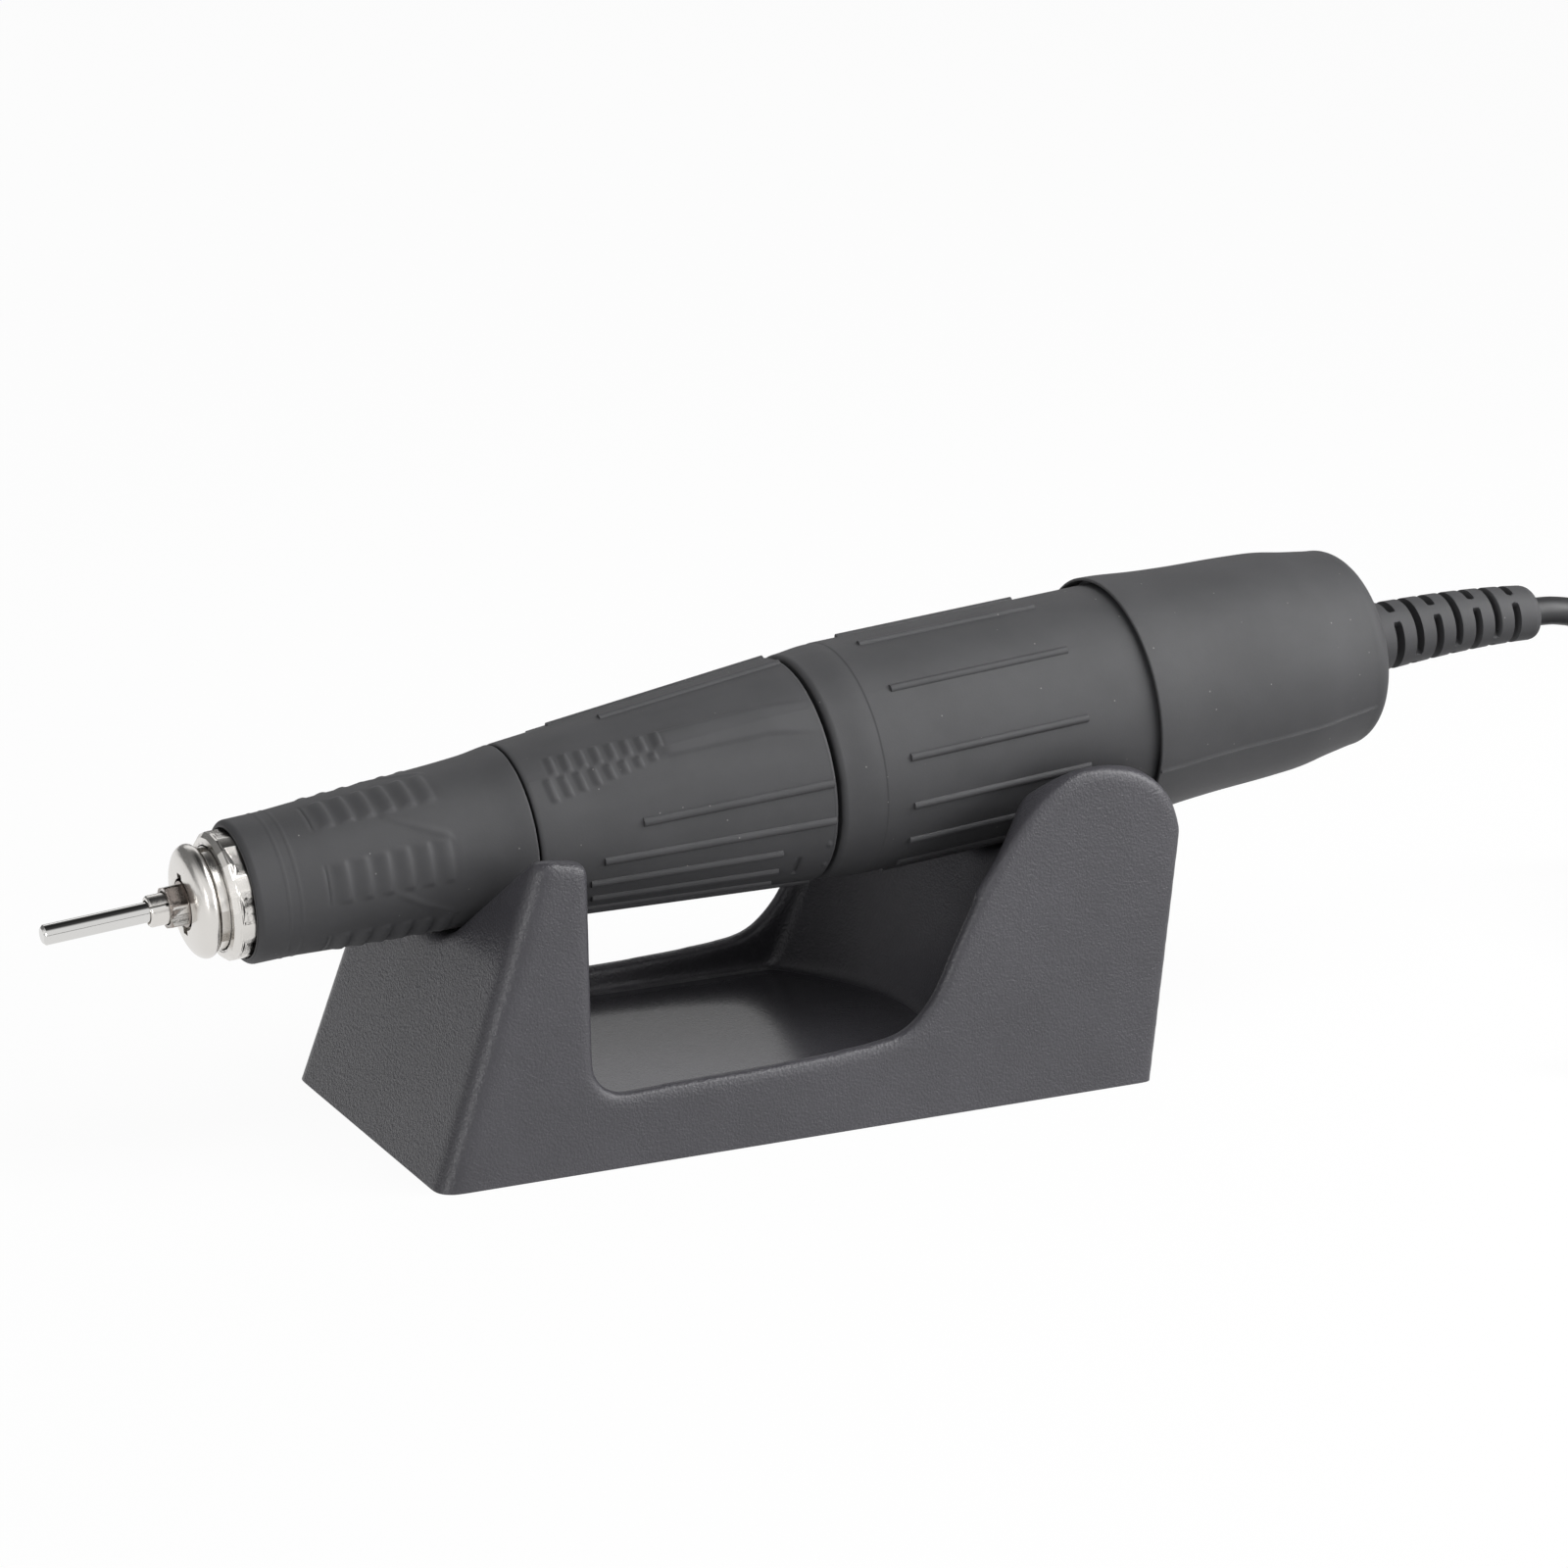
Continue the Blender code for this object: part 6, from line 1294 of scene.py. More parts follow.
@dataclass
class RearCap:
    """The soft cap over the rear of the motor, in mm."""

    palette: Palette
    front: float = 50.6
    rear: float = 85.1
    radius: float = 14.9
    taper: float = 3.1
    edge: float = 0.2
    mouth: float = 14.5
    mouth_rear: float = 52.6
    mouth_edge: float = 0.12
    bore: float = 13.4
    bore_rear: float = 58.1
    corner: float = 2.6
    inner_radius: float = 9.99
    end_wall: float = 0.5
    hole: float = 4.7
    seam_deg: float = 113.0
    seam_height: float = 0.19
    seam_width_deg: float = 0.75
    taper_shares: Pairs = (
        (0.0, 0.0), (0.056, 0.010), (0.205, 0.177), (0.353, 0.274), (0.547, 0.340),
        (0.700, 0.435), (0.814, 0.680), (0.889, 0.790), (0.93, 0.88), (1.0, 0.9),
    )

    def base(self, station: float) -> float:
        """Return the cap's radius at a station, without its mould line."""
        share = (station - self.front) / (self.rear - self.front)
        return self.radius - self.taper * float(softened(self.taper_shares, share, 0.045))

    def surface(self, station: float, azimuths: np.ndarray) -> np.ndarray:
        """Return the radius at each azimuth, with the mould line."""
        off_deg = np.degrees(aside(azimuths, self.seam_deg, 2))
        return self.base(station) + self.seam_height * bell(off_deg, self.seam_width_deg)

    def build(self) -> None:
        """Make the cap with its lip and rounded end."""
        skin = TurnedSkin(even_azimuths(360))
        front, rear, edge, corner = self.front, self.rear, self.edge, self.corner
        skin.turn(*edge_arc(front + edge, self.radius - edge, edge, (180, 92), 6))
        skin.relief(np.linspace(front + edge + 0.1, rear - corner - 0.05, 70), self.surface)
        skin.turn(*edge_arc(rear - corner, self.base(rear - corner) - corner, corner, (88, 0), 12))
        wall = rear - self.end_wall
        skin.turn((rear, self.hole + edge), (rear - edge, self.hole), (wall, self.hole))
        skin.turn((wall, self.inner_radius - corner), (wall - corner, self.inner_radius))
        skin.turn((self.bore_rear, self.bore), (self.mouth_rear, self.bore), (self.mouth_rear, self.mouth))
        skin.turn((front + 0.15, self.mouth), (front, self.mouth + self.mouth_edge))
        mesh = skin.mesh("cap")
        self.palette.rubber("rear_cap_skin", mesh, Body.HANDPIECE, "rear_cap")


@dataclass
class StrainRelief:
    """The slotted strain relief, in mm."""

    palette: Palette
    root: float = 82.3
    flange_radius: float = 6.2
    flange_rear: float = 84.3
    cap_rear: float = 86.6
    rear: float = 112.4
    root_radius: float = 4.4
    end_radius: float = 3.45
    droop: float = 1.2
    end_edge: float = 1.0
    cord_hole: float = 1.3
    row_pitch: float = 0.09
    slots: int = 7
    slot_first: float = 90.85
    slot_pitch: float = 2.93
    slot_half: float = 0.58
    slot_depth: float = 1.5
    slot_arc_deg: float = 76.0
    slot_round: float = 0.35

    def share(self, station: float) -> float:
        """Return how far along its free length a station lies."""
        return max(0.0, (station - self.cap_rear) / (self.rear - self.cap_rear))

    def sag(self, station: float) -> float:
        """Return how far the relief hangs below the straight axis at a station."""
        return self.droop * self.share(station) ** 3

    def surface(self, station: float, azimuths: np.ndarray) -> np.ndarray:
        """Read the relief's skin, with its alternating slots.

        Args:
            station: the place along the axis.
            azimuths: the angles around it.

        Returns:
            The radius at each azimuth.
        """
        radius = self.root_radius + (self.end_radius - self.root_radius) * self.share(station)
        depth = np.zeros_like(azimuths)
        for index in range(self.slots):
            along = abs(station - self.slot_first - self.slot_pitch * index)
            off = np.abs(aside(azimuths, PLANE_DEG + (0 if index % 2 else 90), 2))
            past = np.maximum(0.0, off - math.radians(self.slot_arc_deg))
            round_end = np.hypot(along, past * radius + self.slot_round)
            slot = 1 - smooth_step(round_end, self.slot_half - 0.1, self.slot_half + 0.06)
            depth = np.maximum(depth, slot)
        return radius - self.slot_depth * depth

    def build(self) -> None:
        """Make the relief."""
        skin = TurnedSkin(even_azimuths(144))
        skin.turn((self.root, self.flange_radius * 0.35), (self.root, self.flange_radius))
        skin.turn((self.flange_rear, self.flange_radius), (self.flange_rear, self.root_radius))
        edge = self.end_edge
        for station in np.arange(self.cap_rear - 0.3, self.rear - edge, self.row_pitch).tolist():
            skin.row(station, self.surface(station, skin.azimuths), self.sag(station))
        for station, ring in edge_arc(self.rear - edge, self.end_radius - edge, edge, (88, 0), 7):
            skin.row(station, ring, self.sag(station))
        skin.row(self.rear, self.cord_hole, self.sag(self.rear))
        mesh = skin.mesh("relief", True)
        self.palette.rubber("strain_relief_slotted", mesh, Body.HANDPIECE, "strain_relief", 50)


def spline_path(knots: Sequence[Vector], steps: int) -> list[Vector]:
    """Draw a smooth curve through knots.

    Args:
        knots: the points that it passes.
        steps: how many steps it takes from one knot to the next.

    Returns:
        The curve's points.
    """
    padded = [2 * knots[0] - knots[1], *knots, 2 * knots[-1] - knots[-2]]
    path = []
    for before, start, end, after in zip(padded, padded[1:], padded[2:], padded[3:]):
        span = (end - start).length
        if span < 1e-6:
            continue
        into = (end - before) / max((end - before).length, 1e-9) * span
        out = (after - start) / max((after - start).length, 1e-9) * span
        for step in range(steps):
            t = step / steps
            t2, t3 = t * t, t * t * t
            point = start * (2 * t3 - 3 * t2 + 1) + into * (t3 - 2 * t2 + t)
            path.append(point + end * (3 * t2 - 2 * t3) + out * (t3 - t2))
    path.append(knots[-1].copy())
    return path


def rounded_path(points: Sequence[Pair], reach: float, step: float = 0.5) -> list[Pair]:
    """Round every corner of a flat path over a reach, and keep its two ends.

    Args:
        points: the path's (x, z) points.
        reach: how far each point is blended with its neighbours, in mm.
        step: the spacing of the new points, in mm.

    Returns:
        The new (x, z) points.
    """
    path = np.array(points)
    travel = np.concatenate([[0.0], np.cumsum(np.hypot(*np.diff(path, axis=0).T))])
    even = np.linspace(0.0, travel[-1], int(travel[-1] / step) + 1)
    drawn = np.stack([np.interp(even, travel, path[:, axis]) for axis in (0, 1)], axis=1)
    near = int(3 * reach / step)
    padded = np.concatenate([2 * drawn[0] - drawn[near:0:-1], drawn, 2 * drawn[-1] - drawn[-2:-near - 2:-1]])
    weights = np.exp(-0.5 * (np.arange(-near, near + 1) * step / reach) ** 2)
    weights /= weights.sum()
    smooth = np.stack([np.convolve(padded[:, axis], weights, "valid") for axis in (0, 1)], axis=1)
    return [(x, z) for x, z in smooth.tolist()]


def tube_mesh(name: str, path: Sequence[Vector], radius: float, sides: int) -> Mesh:
    """Make a closed round tube along a path, with frames that don't twist.

    Args:
        name: the mesh's name.
        path: its centreline, in metres.
        radius: its radius, in metres.
        sides: the sides of its section.

    Returns:
        The mesh in metres.
    """
    points: list[Vector] = []
    faces: list[tuple[int, ...]] = []
    normal = Vector((0, 0, 1))
    last = len(path) - 1
    for index, point in enumerate(path):
        way = (path[min(index + 1, last)] - path[max(index - 1, 0)]).normalized()
        normal = (normal - way * normal.dot(way)).normalized()
        side = way.cross(normal)
        for angle in even_azimuths(sides).tolist():
            points.append(point + (normal * math.cos(angle) + side * math.sin(angle)) * radius)
    for row in range(0, last * sides, sides):
        for step in range(sides):
            after = (step + 1) % sides
            faces.append((row + step, row + after, row + sides + after, row + sides + step))
    faces.append(tuple(reversed(range(sides))))
    faces.append(tuple(range(last * sides, last * sides + sides)))
    mesh = faced_mesh(name, [tuple(point) for point in points], faces)
    with edited(mesh) as solid:
        bmesh.ops.recalc_face_normals(solid, faces=solid.faces)
    return mesh


@dataclass
class CordAndPlug:
    """The cord from the strain relief through its coil to the plug, in metres."""

    palette: Palette
    relief: StrainRelief
    radius: float = 0.0018
    sides: int = 16
    gap: float = 0.0003
    lift: float = 0.0001
    turns: int = 5
    turn_gap: float = 0.00105
    layer_gap: float = 0.00105
    inner_radius: float = 0.0085
    centre: Pair = (0.157, -0.0106)
    start_deg: float = 86.0
    loop_points: int = 24
    tail_length: float = 0.014
    plug_heading_deg: float = 180.0
    tail_points: int = 8
    straight_share: float = 0.1
    plug_radius: float = 0.0044
    give: Pair = (0.041, 0.0105)
    route: tuple[Triple, ...] = (
        (0.1205, 0.0008, 0.0437),
        (0.1252, 0.0033, 0.0399),
        (0.1289, 0.0071, 0.0343),
        (0.1322, 0.0115, 0.0277),
        (0.1353, 0.0160, 0.0209),
        (0.1389, 0.0198, 0.0147),
        (0.1440, 0.0227, 0.0091),
    )

    def coil(self) -> list[Vector]:
        """Wind the coil in on top, down a layer, and out below.

        Returns:
            Its centreline, with a short straight lead at each end.
        """
        pitch = 2 * self.radius + self.turn_gap
        low = self.radius + self.lift
        high = low + 2 * self.radius + self.layer_gap
        winding = self.turns * self.loop_points
        climb = self.loop_points // 2
        points = []
        for index in range(2 * winding + climb + 1):
            angle = math.radians(self.start_deg) - FULL_TURN * index / self.loop_points
            past = max(winding - index, 0, index - winding - climb)
            radius = self.inner_radius + pitch * past / self.loop_points
            height = high + (low - high) * min(max((index - winding) / climb, 0.0), 1.0)
            x = self.centre[0] + radius * math.cos(angle)
            y = self.centre[1] + radius * math.sin(angle)
            points.append(Vector((x, y, height)))
        start = (points[0] - points[1]).normalized() * 2 * self.radius
        end = (points[-1] - points[-2]).normalized() * 2 * self.radius
        start.z = end.z = 0
        return [points[0] + start, *points, points[-1] + end]

    def centreline(self) -> list[Vector]:
        """Lead the cord from the relief through the coil to the plug.

        Returns:
            The whole cord's knots.
        """
        coil = self.coil()
        relief = self.relief
        start = Vector(AXIS.places(relief.rear, 0.0, 0.0, relief.droop))
        local = Vector((relief.rear - relief.cap_rear, 0, -3 * relief.droop)).normalized()
        way = AXIS.matrix().to_3x3() @ local
        start = start + way * self.gap
        entry = (coil[1] - coil[0]).normalized()
        leave = (coil[-1] - coil[-2]).normalized()
        heading = math.radians(self.plug_heading_deg)
        plug_way = Vector((math.cos(heading), math.sin(heading), 0))
        tail_start = coil[-1] + leave * self.gap
        tail = []
        for index in range(self.tail_points):
            share = index / (self.tail_points - 1)
            point = tail_start + leave.lerp(plug_way, share / 2) * self.tail_length * share
            rise = smooth_step(share, self.straight_share, 1 - self.straight_share)
            point.z += (self.plug_radius - self.radius) * rise
            tail.append(point)
        lead = [start, start + way * 2 * self.radius, *map(Vector, self.route)]
        return [*lead, coil[0] - entry * (self.gap + 2 * self.radius), *coil, *tail]

    def build(self) -> None:
        """Make the cord as one smooth tube."""
        path = spline_path(self.centreline(), 6)
        mesh = tube_mesh("cord", path, self.radius, self.sides)
        piece = show("cord", mesh, self.palette.by_slot["cord_jacket"], 60)
        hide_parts("cord_lead", "cord_coil", "cord_tail")
        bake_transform(piece)


@dataclass
class Cradle:
    """The moulded cradle, in mm."""

    palette: Palette
    length: float = 91.5
    width: float = 45.8
    lean: float = 0.0464
    wall: float = 2.2
    slope: float = 0.3525
    tower_height: float = 36.9
    tower_depth: float = 6.2
    tower_drop: float = 1.1
    foot: float = 4.0
    foot_steps: int = 12
    rail: float = 8.6
    rail_rise: float = 1.8
    rail_end_radius: float = 2.2
    ear_height: float = 39.2
    ear_rise: float = 24.4
    ear_top: float = 11.6
    ear_drop: float = 8.9
    cap_front: float = 50.6
    ear_clearance: float = 0.55
    floor: float = 5.5
    scoop_setback: float = 2.1
    scoop_depth: float = 9.0
    scoop_lean: float = 0.42
    notch_radii: Pair = (9.82, 10.625)
    notch_stations: Pair = (-38.1, -27.7)
    seat_radius: float = 14.7
    seat_wall: float = 2.8
    front_flank_deg: float = 41.0
    rear_flank_deg: float = 48.0
    saddle_overrun: float = 9.0
    base_rib: float = 3.0
    pans: int = 3
    edge: float = 0.95
    crisp_deg: float = 32.0
    weld: float = 0.03
    voxel: float = 0.35
    rounding: int = 24
    kept_share: float = 0.32
    outline_reach: float = 1.5
    skirt: float = 3.0
    ridge: float = 2.2
    ear_rise_shares: Pairs = (
        (0.102, 0.109), (0.193, 0.249), (0.299, 0.425), (0.402, 0.575), (0.533, 0.730),
        (0.660, 0.856), (0.754, 0.926), (0.869, 0.982), (1.000, 1.000),
    )
    ear_top_shares: Pairs = ((0.328, 0.056), (0.543, 0.135), (0.741, 0.315), (0.905, 0.562), (1.000, 1.000))

    def __post_init__(self) -> None:
        """Work out the places that follow from the sizes."""
        self.base_front = -self.length / 2
        self.base_rear = self.length / 2
        self.tower_front = self.base_front + self.slope * self.tower_height
        self.tower_rear = self.tower_front + self.tower_depth
        self.ear_rear = self.cap_front * math.cos(math.radians(AXIS.tilt_deg)) - self.ear_clearance
        self.ear_top_x = self.ear_rear - self.ear_top
        self.rail_end = self.ear_top_x - self.ear_rise
        self.rail_end_height = self.rail + self.rail_rise
        self.scoop_edge = self.rail_end + self.scoop_setback

    def side(self, height: float) -> float:
        """Return half the cradle's width at a height."""
        return self.width / 2 - self.lean * height

    def outline(self) -> list[Pair]:
        """Draw the side, with its curves drawn finely and a skirt below the base.

        Returns:
            The outline's (x, z) points.
        """
        points = [
            (self.base_front - self.slope * self.skirt, -self.skirt),
            (self.tower_front, self.tower_height),
            (self.tower_rear, self.tower_height - self.tower_drop),
        ]
        foot_x, foot_z = self.tower_rear + self.foot, self.rail + self.foot
        for index in range(self.foot_steps):
            angle = math.pi + math.pi / 2 * index / self.foot_steps
            points.append((foot_x + self.foot * math.cos(angle), foot_z + self.foot * math.sin(angle)))
        radius, end_height = self.rail_end_radius, self.rail_end_height
        knots = [(foot_x, self.rail), (self.rail_end - radius, end_height - radius / 8)]
        rise = self.ear_height - end_height
        for along, up in self.ear_rise_shares:
            knots.append((self.rail_end + self.ear_rise * along, end_height + rise * up))
        for along, down in self.ear_top_shares:
            knots.append((self.ear_top_x + self.ear_top * along, self.ear_height - self.ear_drop * down))
        curve = spline_path([Vector((x, z, 0)) for x, z in knots], 8)
        points += rounded_path([(point.x, point.y) for point in curve], self.outline_reach)
        rear_slope = (self.ear_rear - self.base_rear) / (self.ear_height - self.ear_drop)
        points.append((self.base_rear - rear_slope * self.skirt, -self.skirt))
        return points

    def loft(self, name: str, rings: Sequence[Sequence[Sequence[float]]]) -> Mesh:
        """Skin a row of closed rings.

        Args:
            name: the mesh's name.
            rings: the rings' points, in mm.

        Returns:
            The closed mesh in metres.
        """
        mesh = bpy.data.meshes.new(name)
        with edited(mesh) as solid:
            rows = [[solid.verts.new([value * MM for value in point]) for point in ring] for ring in rings]
            for front, rear in zip(rows, rows[1:]):
                for index in range(len(front)):
                    after = (index + 1) % len(front)
                    solid.faces.new((front[index], front[after], rear[after], rear[index]))
            solid.faces.new(rows[0])
            solid.faces.new(rows[-1])
            bmesh.ops.recalc_face_normals(solid, faces=solid.faces)
        return mesh

    def block(self) -> Mesh:
        """Make the outer block with its leaning sides and the round ridges of its sloping front.

        Returns:
            The block.
        """
        outline = self.outline()
        mesh = self.loft("cradle", [[(x, side * self.side(z), z) for x, z in outline] for side in (1, -1)])
        front = (self.tower_front + 0.01) * MM
        with edited(mesh) as solid:
            ridges = []
            for edge in solid.edges:
                one, other = (vert.co for vert in edge.verts)
                if max(one.x, other.x) < front and abs(one.y - other.y) < self.width / 2 * MM:
                    ridges.append(edge)
            width = self.ridge * MM
            bmesh.ops.bevel(solid, geom=ridges, offset=width, segments=6, profile=0.5, affect="EDGES")
        return mesh

    def trough(self) -> Mesh:
        """Make the trough and the scooped face.

        Returns:
            Their cutter.
        """
        front = self.tower_rear + 0.3
        rings = []
        for height in (self.floor, self.ear_height + 1):
            edge_x = self.scoop_edge + self.scoop_lean * (height - self.floor)
            half = self.side(height) - self.wall
            ring = [(front, half, height), (front, -half, height)]
            for share in np.linspace(-1, 1, 33).tolist():
                ring.append((edge_x + self.scoop_depth * (1 - share * share), half * share, height))
            rings.append(ring)
        return self.loft("trough", rings)

    def saddle(self, stations: Pair, radii: Pair, flank_deg: float) -> Mesh:
        """Make the cutter that seats the handpiece between two stations.

        Args:
            stations: where the seat starts and ends.
            radii: its radius there.
            flank_deg: how steep its flanks are.

        Returns:
            The cutter.
        """
        flank = math.radians(flank_deg)
        slope = (radii[1] - radii[0]) / (stations[1] - stations[0])
        pose = AXIS.matrix()
        rings = []
        for station in (stations[0] - self.saddle_overrun, stations[1] + self.saddle_overrun):
            radius = radii[0] + slope * (station - stations[0])
            side = radius * math.sin(flank) + (radius + radius * math.cos(flank)) / math.tan(flank)
            angles = [-math.pi / 2 - flank + 2 * flank * index / 32 for index in range(33)]
            arc = [(radius * math.cos(angle), radius * math.sin(angle)) for angle in angles]
            ring = [(-side, radius), *arc, (side, radius)]
            points = [pose @ Vector((station * MM, y * MM, z * MM)) for y, z in ring]
            rings.append([[value / MM for value in point] for point in points])
        return self.loft("saddle", rings)

    def pockets(self) -> Mesh:
        """Make the hollows under the cradle.

        Returns:
            Their cutter.
        """
        wall, floor, front, rear = self.wall, self.floor, self.tower_rear, self.base_rear
        lean = self.scoop_lean
        tan = math.tan(math.radians(AXIS.tilt_deg))
        front_top = AXIS.height_mm + tan * front - self.notch_radii[1] - self.seat_wall
        rear_top = AXIS.height_mm + tan * self.ear_top_x - self.seat_radius - self.seat_wall
        back = self.scoop_edge + self.scoop_depth + wall
        nose = self.base_front + wall
        # Each hollow's outline starts below the base, and its second point gives the top
        tower = [(nose - self.slope, -1), (nose + self.slope * front_top, front_top)]
        tower += [(front - wall, front_top), (front - wall, -1)]
        ears = [(back - lean * (floor + 1), -1), (back + lean * (rear_top - floor), rear_top)]
        ears += [(rear - wall, rear_top), (rear - wall, -1)]
        cells = [tower, ears]
        top = floor - wall
        pitch = (back - lean * floor - wall - front) / self.pans
        for column in range(self.pans):
            start = front + pitch * column
            end = start + pitch - wall
            cells.append([(start, -1), (start, top), (end, top), (end, -1)])
        meshes = []
        for outline in cells:
            outer = self.side(outline[1][1]) - wall
            for side in (-1, 1):
                rings = [[(x, y * side, z) for x, z in outline] for y in (self.base_rib / 2, outer)]
                meshes.append(self.loft("pocket", rings))
        return joined("pockets", meshes)

    def rounded(self, mesh: Mesh) -> Mesh:
        """Remesh the carved block finely, with the soft edges of a moulding.

        Args:
            mesh: the carved block.

        Returns:
            The rounded one.
        """
        work = helper("cradle_work", mesh)
        add_modifier(work, "WELD", merge_threshold=self.weld * MM)
        add_modifier(
            work,
            "BEVEL",
            limit_method="ANGLE",
            angle_limit=math.radians(self.crisp_deg),
            width=self.edge * MM,
            segments=4,
            use_clamp_overlap=False,
            miter_outer="MITER_ARC",
        )
        add_modifier(work, "REMESH", mode="VOXEL", voxel_size=self.voxel * MM)
        add_modifier(work, "SMOOTH", factor=0.5, iterations=self.rounding)
        add_modifier(work, "DECIMATE", ratio=self.kept_share)
        return plain_mesh(work, "cradle")

    def build(self) -> None:
        """Make the cradle with rounded edges."""
        notch = self.saddle(self.notch_stations, self.notch_radii, self.front_flank_deg)
        seat = self.saddle((self.rail_end, self.ear_rear), (self.seat_radius,) * 2, self.rear_flank_deg)
        mesh = carved(self.block(), [self.trough(), notch, seat])
        # A box takes the skirt away at the base
        size = (2 * self.length, self.length, 10.0)
        below = box_mesh("below", [(size, Matrix.Translation((0, 0, -size[2] / 2 * MM)))])
        final = carved(self.rounded(mesh), [below, self.pockets()])
        self.palette.piece("cradle_moulded", final, Body.CRADLE, "grained_plastic", "cradle", sharp_deg=50)


@dataclass
class Studio:
    """The floor, the lamps and the camera, in metres but for the camera's sizes."""

    lens_mm: float = 118.19
    sensor_mm: float = 36.0
    camera_mm: Triple = (-247.256, -524.950, 203.485)
    azimuth_deg: float = 25.915
    elevation_deg: float = 16.055
    roll_deg: float = 0.159
    floor_reach: float = 6.0
    floor_drop: float = 0.00005
    floor_level: float = 0.34
    floor_roughness: float = 0.7
    floor_glow_share: float = 0.95
    soft_light: float = 0.21
    # (height, brightness) of the walls that gloss shows, from below the floor to the ceiling
    wall_levels: Pairs = ((0.05, 0.15), (0.09, 1.0), (0.74, 1.0), (0.92, 0.06))
    # Where their brightness starts and ends to fall from the front (-Y) to the back, and both levels
    wall_fall: tuple[float, float, float, float] = (-0.3, 0.4, 0.95, 0.2)
    lamps_aim: Triple = (0, 0, 0.03)
    # The name, place, size and power in watts of each soft box
    lamps: tuple[tuple[str, Triple, Pair, float], ...] = (
        ("right_box", (0.42, -0.22, 0.25), (0.25, 0.25), 1.25),
        ("top_box", (0.22, -0.2, 0.5), (0.35, 0.3), 1.5),
        ("front_box", (0.6, -0.85, 0.2), (0.5, 0.3), 1.9),
        ("back_box", (0.2, 0.95, 0.6), (0.9, 0.5), 1.3),
        ("left_box", (-0.85, -0.52, 0.14), (0.25, 0.25), 1.7),
        ("far_left_box", (-0.95, 0.15, 0.3), (0.6, 0.5), 0.4),
    )

    def build(self) -> None:
        """Set up the whole studio."""
        self._camera()
        self._floor()
        self._world()
        self._lamps()
        bpy.context.scene.view_settings.view_transform = "Standard"

    def _camera(self) -> None:
        """Place the camera where the photograph was taken from."""
        turn = math.radians(self.azimuth_deg)
        pitch = math.radians(self.elevation_deg)
        roll = math.radians(self.roll_deg)
        level = math.cos(pitch)
        forward = Vector((math.sin(turn) * level, math.cos(turn) * level, -math.sin(pitch)))
        right = Vector((math.cos(turn), -math.sin(turn), 0))
        up = right.cross(forward)
        tilted_right = right * math.cos(roll) + up * math.sin(roll)
        tilted_up = up * math.cos(roll) - right * math.sin(roll)
        camera = bpy.data.cameras.new("Camera")
        camera.lens = self.lens_mm
        camera.sensor_width = self.sensor_mm
        camera.sensor_fit = "HORIZONTAL"
        camera.clip_start = 0.01
        camera.clip_end = 20
        obj = helper("Camera", camera)
        rotation = Matrix((tilted_right, tilted_up, -forward)).transposed()
        place = Vector([value * MM for value in self.camera_mm])
        obj.matrix_world = Matrix.Translation(place) @ rotation.to_4x4()
        bpy.context.scene.camera = obj

    def _floor(self) -> None:
        """Lay a white floor that shows almost white and keeps the object's shadow."""
        material, add, shader = new_material("White sweep")
        add.feed(shader, {"Base Color": grey(self.floor_level), "Roughness": self.floor_roughness})
        glow = add("Emission", {"Color": grey(1.0), "Strength": 1.0}).outputs[0]
        paper = add("BsdfDiffuse", {"Color": grey(1.0)}).outputs[0]
        shown = add("MixShader", {0: self.floor_glow_share, 1: paper, 2: glow}).outputs[0]
        path = add("LightPath").outputs
        rays = {0: path["Is Camera Ray"], 1: path["Is Glossy Ray"]}
        seen = add("Math", rays, operation="MAXIMUM").outputs[0]
        mixed = add("MixShader", {0: seen, 1: shader.outputs[0], 2: shown}).outputs[0]
        add.feed(material.node_tree.nodes["Material Output"], {"Surface": mixed})
        reach = self.floor_reach
        corners = [(-reach, -reach, 0), (reach, -reach, 0), (reach, reach, 0), (-reach, reach, 0)]
        mesh = faced_mesh("floor", corners, [(0, 1, 2, 3)])
        mesh.materials.append(material)
        floor = helper("floor", mesh)
        floor.location.z = -self.floor_drop

    def _world(self) -> None:
        """Light the set softly from all round, and show white walls under a dark ceiling to gloss."""
        world = bpy.data.worlds.new("Studio")
        bpy.context.scene.world = world
        world.use_nodes = True
        world.node_tree.nodes.clear()
        add = NodeMaker(world.node_tree)
        soft = add("Background", {"Color": grey(1.0), "Strength": self.soft_light}).outputs[0]
        parts = add("SeparateXYZ", {0: add("TexCoord").outputs["Generated"]}).outputs
        height = add("ValToRGB", {"Fac": parts["Z"]})
        set_ramp(height, [(position, grey(level)) for position, level in self.wall_levels])
        start, end, front, rear = self.wall_fall
        limits = {"Value": parts["Y"], "From Min": start, "From Max": end, "To Min": front, "To Max": rear}
        back = add("MapRange", limits).outputs[0]
        wall = add("Math", {0: height.outputs["Color"], 1: back}, operation="MULTIPLY").outputs[0]
        gloss = add("Background", {"Color": grey(1.0), "Strength": wall}).outputs[0]
        white = add("Background", {"Color": grey(1.0), "Strength": 1.0}).outputs[0]
        path = add("LightPath").outputs
        unseen = add("MixShader", {0: path["Is Glossy Ray"], 1: soft, 2: gloss}).outputs[0]
        mixed = add("MixShader", {0: path["Is Camera Ray"], 1: unseen, 2: white}).outputs[0]
        add("OutputWorld", {"Surface": mixed})

    def _lamps(self) -> None:
        """Hang the soft boxes."""
        for name, place, size, power in self.lamps:
            light = bpy.data.lights.new(name, "AREA")
            light.shape = "RECTANGLE"
            light.size, light.size_y = size
            light.energy = power
            lamp = helper(name, light)
            lamp.location = place
            beam = Vector(self.lamps_aim) - Vector(place)
            lamp.rotation_euler = beam.to_track_quat("-Z", "Y").to_euler()


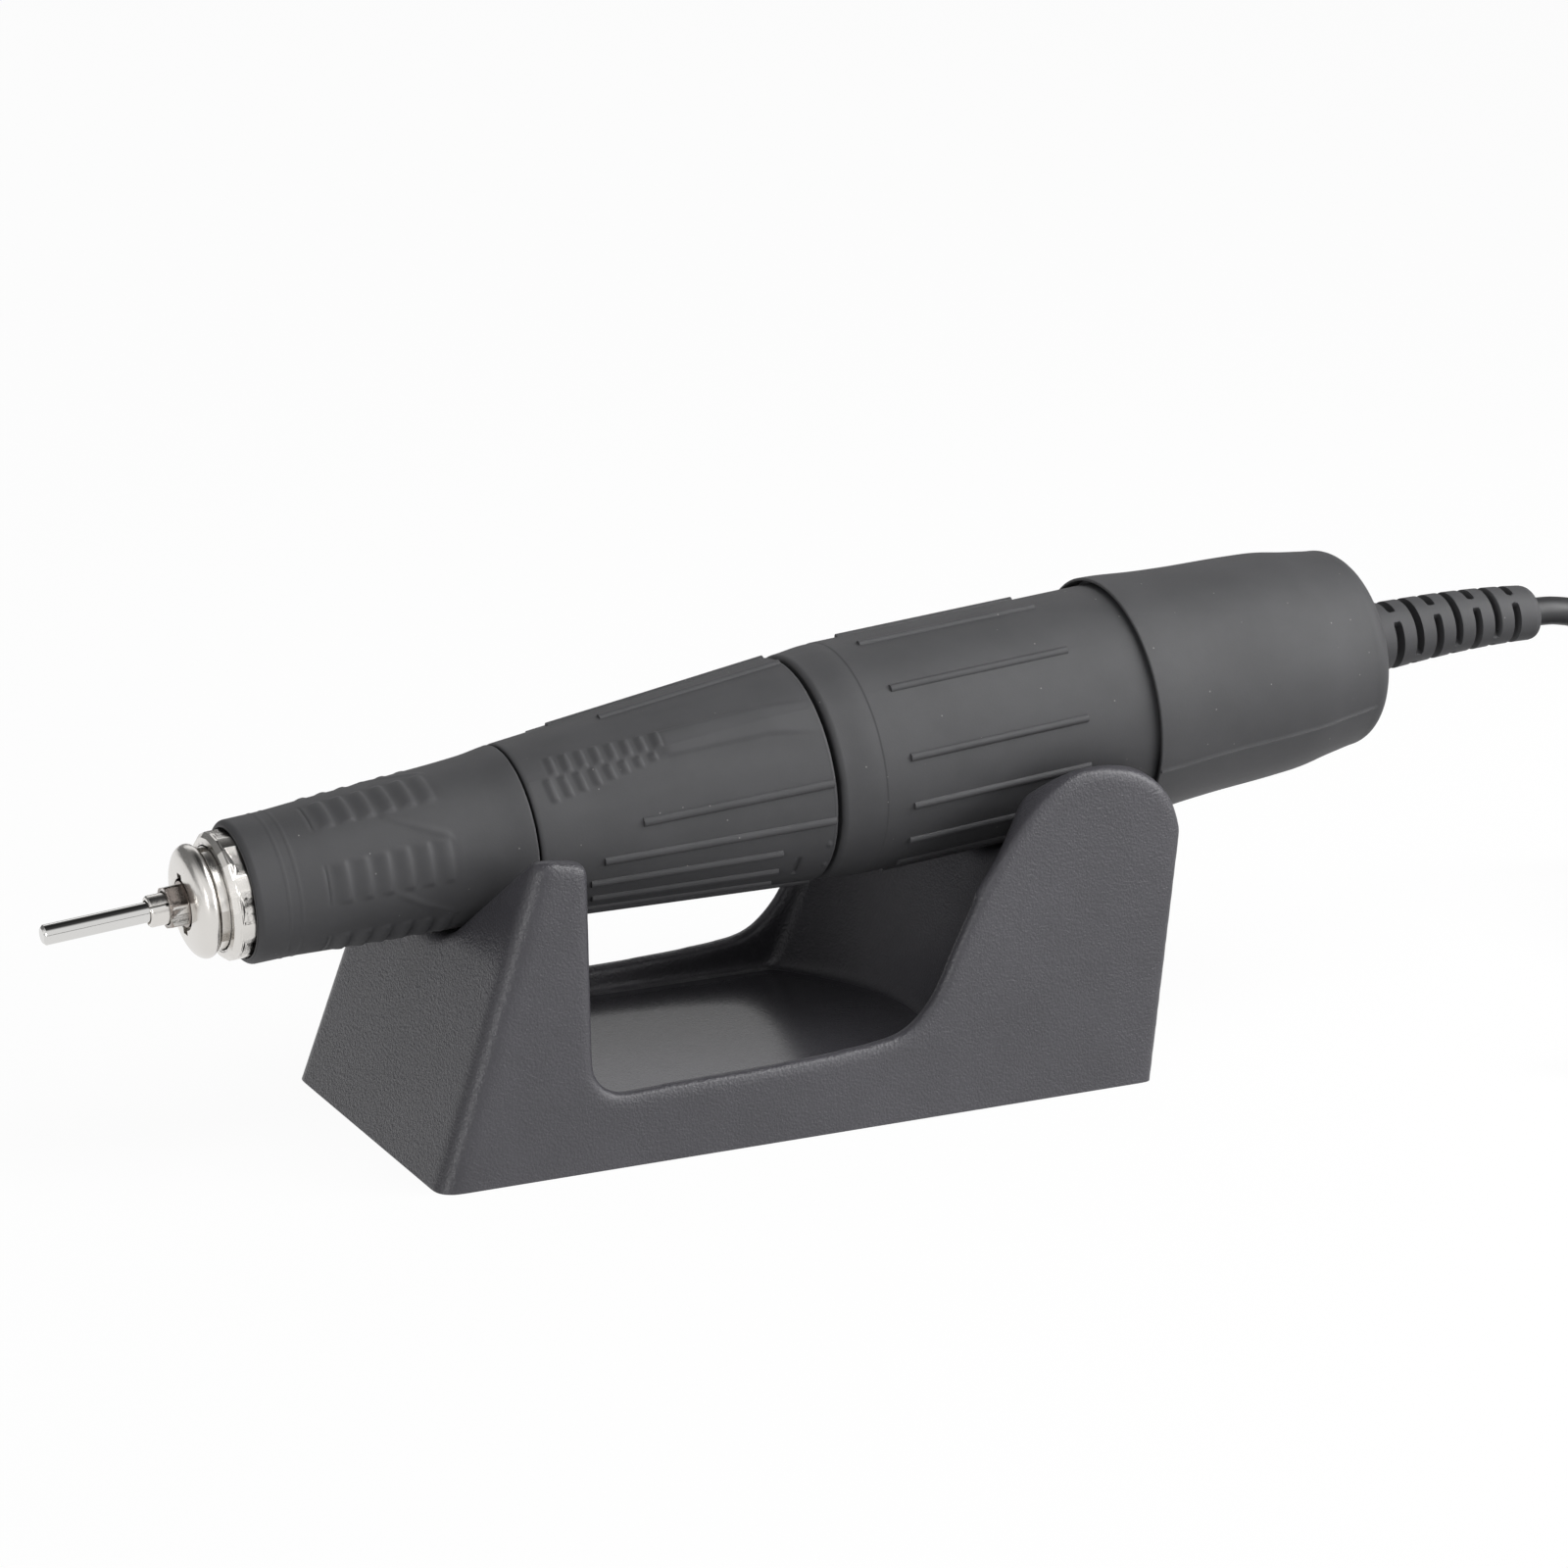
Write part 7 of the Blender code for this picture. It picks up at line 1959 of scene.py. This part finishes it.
def main() -> None:
    """Build every piece in order."""
    logging.basicConfig(level=logging.INFO, format="%(name)s %(message)s")
    palette = Palette()
    palette.dress_nodes()
    ribs = RibTree()
    relief = StrainRelief(palette)
    Studio().build()
    CordAndPlug(palette, relief).build()
    relief.build()
    Chuck(palette).build()
    NoseCap(palette).build()
    FrontGrip(palette).build()
    TwistRing(palette, ribs).build()
    MotorSleeve(palette, ribs).build()
    RearCap(palette).build()
    Cradle(palette).build()


if __name__ == "__main__":
    main()
